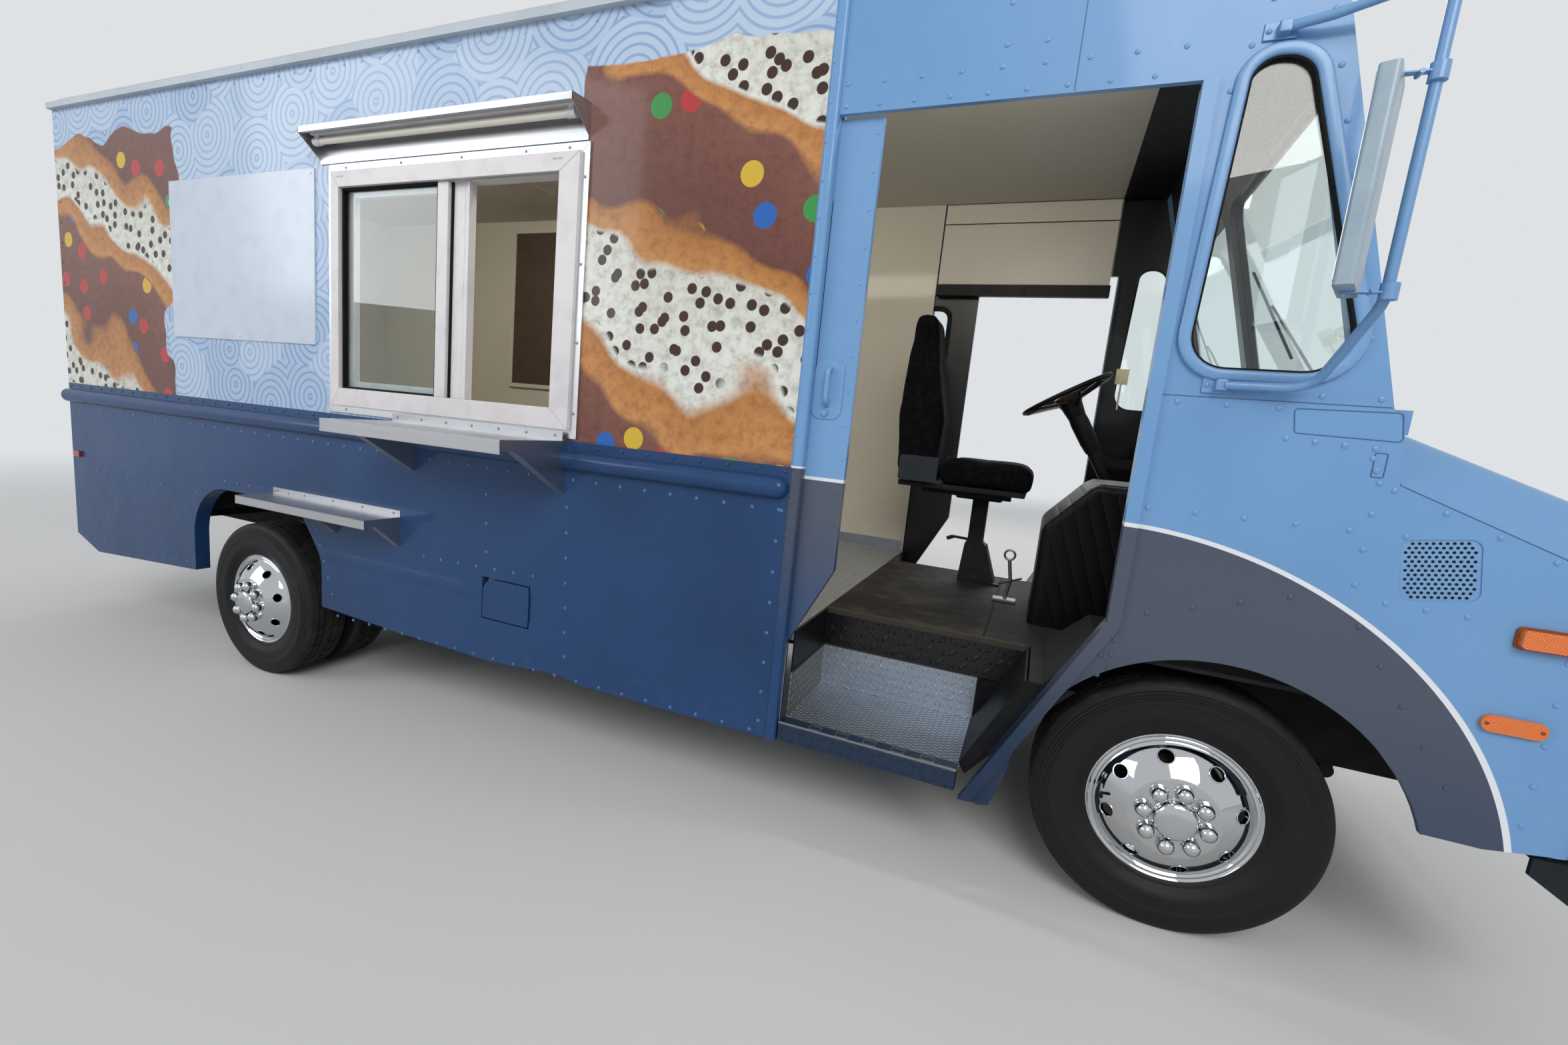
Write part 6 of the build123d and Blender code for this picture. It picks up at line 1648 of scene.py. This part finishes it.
# Step wells: bright tread and lower walls, black upper walls, and the sill with its hoops
STEP = (-1.190, -0.592)
TREAD = 0.375
BRIGHT_TOP = 0.540
STEP_Y = 0.620
STEP_END = 1.010
DOOR_BACK = 1.019
SHEET = 0.006
SILL_X = (STEP[0] - 0.006, STEP[1] - 0.004)
for side_name, side in SIDES:
    riser_y, end_y = span(side, STEP_Y, STEP_Y + SHEET), span(side, STEP_Y, STEP_END)
    bright, black = (TREAD, BRIGHT_TOP), (BRIGHT_TOP, FLOOR_TOP)
    for name, finish, x, y, z in (
        ("step_tread", bright_tread, STEP, span(side, STEP_Y, HALF_WIDTH - 0.022), (TREAD - SHEET, TREAD)),
        ("step_riser", bright_riser, STEP, riser_y, bright),
        ("step_upper_riser", black_riser, (STEP[0], STEP[1] + 0.155), riser_y, black),
        ("step_back", bright_end, (STEP[0], STEP[0] + SHEET), end_y, bright),
        ("step_upper_back", well_black, (STEP[0], STEP[0] + SHEET), end_y, black),
    ):
        stands_for = ["step_wells"] if name == "step_tread" and side < 0 else ()
        slab_piece(f"{name}_{side_name}", finish, x, y, z, 0.001, stands_for=stands_for)
    bm = bmesh.new()
    seam_z = (BRIGHT_TOP - 0.002, BRIGHT_TOP + 0.003)
    slab(bm, STEP, span(side, STEP_Y + 0.004, STEP_Y + 0.010), seam_z, 0.001)
    slab(bm, (STEP[0] + 0.004, STEP[0] + 0.010), end_y, seam_z, 0.001)
    piece(f"step_trim_{side_name}", bm, "body", worn_edge)
    edge_y, edge_z = span(side, STEP_Y - 0.010, STEP_Y + 0.009), (FLOOR_TOP - 0.020, FLOOR_TOP + 0.002)
    slab_piece(f"floor_edge_{side_name}", worn_edge, (STEP[0], STEP[1] + 0.150), edge_y, edge_z, 0.002)
    # The slanted front wall, the corner it leaves at the riser, and the plate behind the door's jamb
    bm = bmesh.new()
    foot, head = STEP[1], STEP[1] + 0.49 * (FLOOR_TOP - TREAD)
    front = [(foot - SHEET, TREAD), (foot, TREAD), (head, FLOOR_TOP), (head - SHEET, FLOOR_TOP)]
    outline_plate(bm, front, span(side, STEP_Y, DOOR_BACK - 0.007), 0.001)
    corner = [(foot - 0.004, BRIGHT_TOP - 0.004), (foot - 0.004, TREAD), (foot + 0.1, BRIGHT_TOP - 0.004)]
    outline_plate(bm, corner, riser_y, 0.0005)
    jamb = [(foot - 0.002, TREAD - 0.003), (-0.438, 0.690), (-0.300, 0.690), (-0.345, 0.640), (-0.575, 0.345)]
    outline_plate(bm, jamb, span(side, DOOR_BACK - 0.013, DOOR_BACK - 0.007), 0.0005)
    piece(f"step_front_{side_name}", bm, "body", well_black)
    sill_y = span(side, HALF_WIDTH - 0.060, HALF_WIDTH - 0.001)
    sill_x, sill_z = (STEP[0] - 0.008, STEP[1] - 0.004), (0.305, TREAD - 0.003)
    slab_piece(f"step_sill_{side_name}", sill_plate, sill_x, sill_y, sill_z, 0.006, 3)
    bm = bmesh.new()
    slab(bm, SILL_X, span(side, HALF_WIDTH - 0.007, HALF_WIDTH - 0.0005), (TREAD - 0.004, TREAD + 0.003), 0.001)
    slab(bm, SILL_X, span(side, HALF_WIDTH - 0.060, HALF_WIDTH - 0.054), (TREAD - 0.008, TREAD + 0.002), 0.001)
    for x, _ in row((STEP[0] + 0.10, 0), (STEP[1] - 0.12, 0), 0.095):
        hoop = rectangle(x, x + 0.044, *span(side, HALF_WIDTH - 0.040, HALF_WIDTH - 0.006))
        ring_plate(bm, hoop, grown(hoop, -0.003), (TREAD + 0.001, TREAD + 0.004), plane="XY")
    piece(f"step_lip_{side_name}", bm, "body", steel)
    strip_y = span(side, HALF_WIDTH - 0.054, HALF_WIDTH - 0.006)
    slab_piece(f"step_strip_{side_name}", sill_plate, SILL_X, strip_y, (TREAD - 0.010, TREAD + 0.0015), 0.001)


# Cab inside: seat, steering wheel, engine cover, levers and linings

def at_height(line, z):
    """The x of a line of (z, x) points at a height."""
    for (z0, x0), (z1, x1) in zip(line, line[1:]):
        if z <= z1:
            break
    return x0 + (x1 - x0) * min(1.0, max(0.0, (z - z0) / (z1 - z0)))


PAD_PRESSURE = 4.0
PAD_VOXEL = 0.014
PAD_FRAMES = 16
PAD_RISE = 0.014


def soft_block(low, high):
    """A crowned pad: a block, remeshed and puffed up by cloth under pressure, as far as PAD_RISE."""
    bm = bmesh.new()
    block(bm, low, high, 0.030, 4)
    pad = placed("pad", mesh_of(bm, "pad"))
    remesh = pad.modifiers.new("even", "REMESH")
    remesh.mode = "VOXEL"
    remesh.voxel_size = PAD_VOXEL
    bpy.context.view_layer.update()
    pad.data = applied(pad)
    pad.modifiers.clear()
    rest = [v.co.copy() for v in pad.data.vertices]
    cloth = pad.modifiers.new("puff", "CLOTH")
    cloth.settings.use_pressure = True
    cloth.settings.uniform_pressure_force = PAD_PRESSURE
    cloth.settings.effector_weights.gravity = 0
    scene = bpy.context.scene
    for number in range(1, PAD_FRAMES + 1):
        scene.frame_set(number)
    shaped = applied(pad)
    pad.modifiers.clear()
    pad.data = shaped
    scene.frame_set(1)
    for vertex, start in zip(pad.data.vertices, rest):
        move = vertex.co - start
        if move.length > PAD_RISE:
            vertex.co = start + move.normalized() * PAD_RISE
    bm = bmesh.new()
    bm.from_mesh(pad.data)
    bpy.data.objects.remove(pad)
    return bm


cushion_low, cushion_high = node_box("seat_cushion")
back_low, back_high = node_box("seat_back")
SEAT_Y = (cushion_low.y + cushion_high.y) / 2
margin = Vector((0.012, 0.012, 0.012))
bm = soft_block(cushion_low + Vector((0.004, 0.012, 0.004)), cushion_high - margin)
for vertex in bm.verts:
    upper = max(0.0, (vertex.co.z - cushion_low.z) / (cushion_high.z - cushion_low.z))
    ahead = max(0.0, (vertex.co.x - cushion_high.x + 0.20) / 0.20)
    vertex.co.z -= 0.030 * ahead ** 3 * upper
    bolster = min(1.0, abs(vertex.co.y - SEAT_Y) / 0.245) ** 4
    if upper > 0.55:
        vertex.co.z += 0.006 * bolster - 0.010 * (1 - bolster)
    vertex.co.z += 0.003 * noise.noise(vertex.co * 14)
piece("driver_seat_cushion", bm, "body", velour, 70, ["seat_cushion"], padding=0.8)
BACK_REAR = [(1.174, -1.148), (1.500, -1.180), (2.012, -1.158)]
BACK_FRONT = [(1.174, -0.958), (1.480, -0.942), (2.012, -1.062)]
bm = soft_block(back_low + margin, back_high - margin)
for vertex in bm.verts:
    up_share = (vertex.co.z - back_low.z) / (back_high.z - back_low.z)
    shoulder = max(0.0, up_share - 0.58) / 0.42
    vertex.co.y = SEAT_Y + (vertex.co.y - SEAT_Y) * (1 - 0.38 * min(1.0, shoulder * 1.7) ** 1.5)
    through = (vertex.co.x - back_low.x) / (back_high.x - back_low.x)
    rear, front = at_height(BACK_REAR, vertex.co.z), at_height(BACK_FRONT, vertex.co.z)
    side_share = min(1.0, abs(vertex.co.y - SEAT_Y) / 0.22)
    hollow = 0.028 * (1 - side_share ** 2) * max(0.0, through - 0.5) * 2 * min(1.0, (1 - shoulder))
    vertex.co.x = rear + (front - rear) * through - hollow + 0.003 * noise.noise(vertex.co * 12)
piece("driver_seat_back", bm, "body", velour, 70, ["seat_back"], padding=0.8)
bm = bmesh.new()
for y in (SEAT_Y - 0.2305, SEAT_Y + 0.2245):
    outline_plate(bm, rounded(rectangle(-1.138, -0.950, 1.176, 1.300), 0.014), (y, y + 0.006), 0.0025)
piece("seat_side_panels", bm, "body", grey_vinyl)
bm = bmesh.new()
block(bm, (-1.135, SEAT_Y - 0.205, 1.148), (-0.540, SEAT_Y + 0.205, 1.174), 0.005)
for y in (SEAT_Y - 0.15, SEAT_Y + 0.15):
    block(bm, (-1.02, y - 0.014, 1.124), (-0.60, y + 0.014, 1.150), 0.003)
block(bm, (-0.86, SEAT_Y - 0.12, 1.110), (-0.64, SEAT_Y + 0.12, 1.150), 0.010)
rod(bm, (-0.775, SEAT_Y - 0.034, 0.900), (-0.850, SEAT_Y - 0.050, 0.906), 0.007)
rod(bm, (-0.850, SEAT_Y - 0.050, 0.906), (-0.882, SEAT_Y - 0.054, 0.892), 0.010)
block(bm, (-0.789, SEAT_Y - 0.044, 0.872), (-0.701, SEAT_Y + 0.044, 0.890), 0.003)
piece("seat_tray", bm, "body", frame_black)

WHEEL_CENTRE = Vector((-0.430, 0.450, 1.655))
WHEEL_TILT = radians(31)
wheel_turn = Matrix.Translation(WHEEL_CENTRE) @ Matrix.Rotation(-WHEEL_TILT, 4, "Y")
bm = bmesh.new()
turned(bm, ring_section(0.200, 0.0125, 0.011, 30), wheel_turn, 72, closed=True)
piece("steering_wheel_grip", bm, "steering_wheel", black_plastic, 40, ["steering_wheel"])
bm = bmesh.new()
for angle in (90, 210, 330):
    spoke = Matrix.Rotation(radians(angle), 4, "Z")
    before = set(bm.verts)
    outline_plate(
        bm, [(0.020, -0.044), (0.100, -0.040), (0.196, -0.056), (0.196, 0.056), (0.100, 0.040), (0.020, 0.044)],
        (-0.018, -0.004), 0.004, plane="XY",
    )
    made = [v for v in bm.verts if v not in before]
    for v in made:
        v.co.z -= 0.034 * (1 - v.co.x / 0.2) if v.co.x < 0.2 else 0.0
    bmesh.ops.transform(bm, matrix=wheel_turn @ spoke, verts=made)
hub_profile = [
    (-0.100, 0.0), (-0.100, 0.036), (-0.070, 0.044), (-0.040, 0.056), (-0.026, 0.064), (-0.008, 0.064),
    (0.000, 0.054), (0.004, 0.036), (0.004, 0.0),
]
turned(bm, hub_profile, wheel_turn, 40)
piece("steering_wheel_spokes", bm, "steering_wheel", bronze_plastic, 40)
bm = bmesh.new()
shroud = [(-0.300, 0.0), (-0.300, 0.034), (-0.250, 0.040), (-0.150, 0.042), (-0.106, 0.038), (-0.106, 0.0)]
turned(bm, shroud, wheel_turn, 32)
piece("column_shroud", bm, "body", black_plastic, 40)
bm = bmesh.new()
block(bm, (-0.236, 0.440, 1.715), (-0.184, 0.444, 1.785), 0.001)
rod(bm, (-0.210, 0.442, 1.720), (-0.210, 0.442, 1.600), 0.004, segments=8)
piece("column_tag", bm, "body", tag_beige)

cover_low = node_box("engine_cover")[0]
bm = bmesh.new()
lid = [
    (cover_low.x + 0.004, 1.062), (cover_low.x + 0.150, 1.2560), (-0.270, 1.277), (0.10, 1.281), (0.10, 1.277),
    (-0.266, 1.2725), (cover_low.x + 0.155, 1.2510), (cover_low.x + 0.010, 1.062),
]
outline_plate(bm, lid, (-0.235, 0.235), 0.0015)
piece("engine_cover_lid", bm, "body", cover_grey)
bm = bent_tube(
    "lever", [(-0.560, 0.060, 0.690), (-0.545, 0.058, 0.790), (-0.560, 0.056, 0.880)], 0.008, 0.05,
)
ring_place = Matrix.Translation((-0.562, 0.056, 0.905)) @ Matrix.Rotation(pi / 2, 4, "X")
turned(bm, ring_section(0.022, 0.005, 0.005, 45), ring_place, 28, closed=True)
block(bm, (-0.610, 0.030, 0.690), (-0.510, 0.086, 0.705), 0.003)
rod(bm, (-0.590, 0.02, 0.775), (-0.500, 0.09, 0.800), 0.005, segments=8)
piece("floor_lever", bm, "body", steel)
bm = bmesh.new()
for pedal_y, pedal_x in ((0.345, -0.175), (0.505, -0.165), (0.610, -0.150)):
    block(bm, (pedal_x - 0.008, pedal_y - 0.036, 0.800), (pedal_x + 0.010, pedal_y + 0.036, 0.900), 0.004,
          turn=Matrix.Rotation(radians(-28), 3, "Y"))
    rod(bm, (pedal_x, pedal_y, 0.850), (pedal_x + 0.10, pedal_y, 0.700), 0.008)
piece("pedals", bm, "body", black_rubber)
bm = bent_tube("stalk", [(-0.385, 0.450, 1.585), (-0.375, 0.335, 1.640), (-0.385, 0.280, 1.660)], 0.005, 0.04)
rod(bm, (-0.385, 0.285, 1.655), (-0.392, 0.250, 1.668), 0.010, 0.012)
piece("turn_stalk", bm, "body", black_plastic)

# Lining boards of the cab, the door tracks under them, and the seams of the kitchen's boards
KICK_TOP = FLOOR_TOP + 0.060
LINING_Y = 0.9955
slab_piece("ceiling_front", well_black, (-0.298, -0.085), (-0.998, 0.998), (CEILING - 0.003, CEILING), 0.001)
bm = bmesh.new()
block(bm, (-1.190, 0.994, 2.276), (-0.300, 1.000, 2.600), 0.001)
block(bm, (-1.190, 0.994, 2.606), (-0.300, 1.000, CEILING - 0.004), 0.001)
for seam_x in BOARD_SEAMS:
    for side in (1, -1):
        if side > 0 or not WINDOW_X[0] < seam_x < WINDOW_X[1]:
            strip_x = (seam_x - 0.012, seam_x + 0.012)
            slab(bm, strip_x, span(side, LINING_Y, LINING_Y + 0.003), (KICK_TOP, CEILING), 0.001)
    block(bm, (seam_x - 0.012, -0.998, CEILING - 0.003), (seam_x + 0.012, 0.998, CEILING), 0.001)
piece("lining_strips", bm, "body", white_lining)
slab_piece("door_track", black_plastic, (-1.190, -0.294), (0.958, 1.000), (2.206, 2.268), 0.003)
bm = bmesh.new()
for side in (1, -1):
    for x in ((TAIL_X + 0.06, -4.60), (-3.55, -1.21)):
        slab(bm, x, span(side, LINING_Y, LINING_Y + 0.0035), (FLOOR_TOP, KICK_TOP), 0.0008)
piece("kick_plates", bm, "body", bright_riser)

# Tall dark panel in a white frame on the driver's side of the kitchen
PANEL = (-4.360, -3.560, 1.490, 2.650)
bm = bmesh.new()
mitred(bm, PANEL[:2], PANEL[2:], 0.030, (0.975, 0.9985), 0.002)
piece("kitchen_panel_frame", bm, "body", white_lining)
board_x, board_z = (PANEL[0] + 0.028, PANEL[1] - 0.028), (PANEL[2] + 0.028, PANEL[3] - 0.028)
slab_piece("kitchen_panel", brown_panel, board_x, (0.982, 0.9975), board_z, 0.001)


# Rear door handles
for side_name, side in SIDES:
    bm = bmesh.new()
    y, pull_x = side * 0.055, TAIL_X - 0.030
    block(bm, (TAIL_X - 0.004, y - 0.020, 1.34), (TAIL_X + 0.003, y + 0.020, 1.50), 0.003)
    rod(bm, (pull_x, y, 1.36), (pull_x, y, 1.48), 0.008)
    for z in (1.37, 1.47):
        rod(bm, (pull_x, y, z), (TAIL_X - 0.002, y, z), 0.007)
    piece(f"rear_handle_{side_name}", bm, f"rear_door_{side_name}", stainless)


# Camera at the photograph's place, turned and framed as it was
PHOTO_WIDTH, PHOTO_HEIGHT = 2352, 1568
CAMERA_PLACE = Vector((-0.4657, -3.1743, 1.0214))
CAMERA_YAW, CAMERA_PITCH, CAMERA_ROLL = 0.4052, -0.14407, 0.0679
FOCAL_PIXELS = 1012.5
CENTRE_PIXEL = (1118.4, 788.75)
camera_data = bpy.data.cameras.new("photo_camera")
camera = placed("photo_camera", camera_data)
camera_data.sensor_width = 36.0
camera_data.lens = camera_data.sensor_width * FOCAL_PIXELS / PHOTO_WIDTH
camera_data.shift_x = (PHOTO_WIDTH / 2 - CENTRE_PIXEL[0]) / PHOTO_WIDTH
camera_data.shift_y = (CENTRE_PIXEL[1] - PHOTO_HEIGHT / 2) / PHOTO_WIDTH
camera_data.clip_start = 0.05
camera.matrix_world = (
    Matrix.Translation(axle_middle + CAMERA_PLACE)
    @ Matrix.Rotation(CAMERA_YAW, 4, "Z")
    @ Matrix.Rotation(pi / 2 + CAMERA_PITCH, 4, "X")
    @ Matrix.Rotation(CAMERA_ROLL, 4, "Z")
)
bpy.context.scene.camera = camera


# Stage: pale floor, soft lamps and a pale surround

def area_lamp(name, place, aim, size, watts, colour=(1.0, 1.0, 1.0)):
    data = bpy.data.lights.new(name, "AREA")
    data.shape = "RECTANGLE"
    data.size, data.size_y = size
    data.energy = watts
    data.color = colour
    lamp = placed(name, data)
    run = Vector(aim) - Vector(place)
    lamp.matrix_world = Matrix.Translation(place) @ run.to_track_quat("-Z", "Y").to_matrix().to_4x4()


area_lamp("key_lamp", (5.0, -9.0, 7.5), (0.4, 0.0, 1.0), (6.0, 5.0), 640.0, (1.0, 0.97, 0.93))
area_lamp("fill_lamp", (-7.5, -8.0, 5.0), (-1.0, 0.0, 1.2), (6.0, 4.0), 260.0, (0.93, 0.96, 1.0))
area_lamp("back_lamp", (0.0, 9.0, 7.0), (0.0, 0.0, 1.2), (9.0, 4.0), 380.0)
kitchen_spot = stance @ Vector((-3.30, -0.84, 2.60))
area_lamp("kitchen_lamp", kitchen_spot, stance @ Vector((-3.30, 0.70, 1.10)), (3.6, 0.20), 22.0, (1.0, 0.93, 0.80))
cab_spot = stance @ Vector((-0.74, -0.92, 2.56))
area_lamp("cab_lamp", cab_spot, stance @ Vector((-0.90, 0.60, 1.30)), (0.7, 0.14), 8.0, (1.0, 0.96, 0.88))

BACKDROP = (0.74, 0.76, 0.78, 1.0)
floor_mesh = bmesh.new()
bmesh.ops.create_grid(floor_mesh, x_segments=1, y_segments=1, size=60.0)
floor_data = mesh_of(floor_mesh, "studio_floor")
floor = placed("studio_floor", floor_data)
floor_finish = Finish("studio_floor", "white_panel", "dcdcda", roughness=0.75)
floor_data.materials.append(floor_finish.material)
floor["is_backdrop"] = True


def seen_rays(tree):
    """1 for the rays that see the background directly, in polish or through glass."""
    path = tree.nodes.new("ShaderNodeLightPath")
    total = path.outputs["Is Camera Ray"]
    for name in ("Is Glossy Ray", "Is Transmission Ray"):
        either = tree.nodes.new("ShaderNodeMath")
        either.operation = "MAXIMUM"
        tree.links.new(total, either.inputs[0])
        tree.links.new(path.outputs[name], either.inputs[1])
        total = either.outputs[0]
    return total


# The floor fades into the backdrop with distance
FADE = (7.0, 20.0)
floor_tree = floor_finish.tree
length = floor_tree.nodes.new("ShaderNodeVectorMath")
length.operation = "LENGTH"
floor_finish.feed(length.inputs[0], floor_finish.where)
far = floor_finish.step(length.outputs["Value"], *FADE)
glow = floor_finish.node("ShaderNodeEmission", Color=BACKDROP)
blend = floor_tree.nodes.new("ShaderNodeMixShader")
share = floor_finish.times(far, seen_rays(floor_tree))
for socket, value in zip(blend.inputs, (share, floor_finish.shader.outputs[0], glow.outputs[0])):
    floor_finish.feed(socket, value)
floor_finish.feed(floor_tree.nodes["Material Output"].inputs["Surface"], blend.outputs[0])

SKY = (0.90, 0.94, 1.0, 1)
SKY_STRENGTH = 0.40
world = bpy.data.worlds.new("studio")
bpy.context.scene.world = world
world.use_nodes = True
tree = world.node_tree
surround = tree.nodes["Background"]
surround.inputs["Color"].default_value = SKY
surround.inputs["Strength"].default_value = SKY_STRENGTH
seen = tree.nodes.new("ShaderNodeBackground")
seen.inputs["Color"].default_value = BACKDROP
seen.inputs["Strength"].default_value = 1.0
choose = tree.nodes.new("ShaderNodeMixShader")
tree.links.new(seen_rays(tree), choose.inputs[0])
tree.links.new(surround.outputs[0], choose.inputs[1])
tree.links.new(seen.outputs[0], choose.inputs[2])
tree.links.new(choose.outputs[0], tree.nodes["World Output"].inputs["Surface"])
bpy.context.scene.view_settings.view_transform = "Standard"


def corners(box):
    """A box as plain lists of numbers."""
    return [[float(value) for value in corner] for corner in box]


{"cad": corners(cad_box), "visual": corners(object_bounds())}
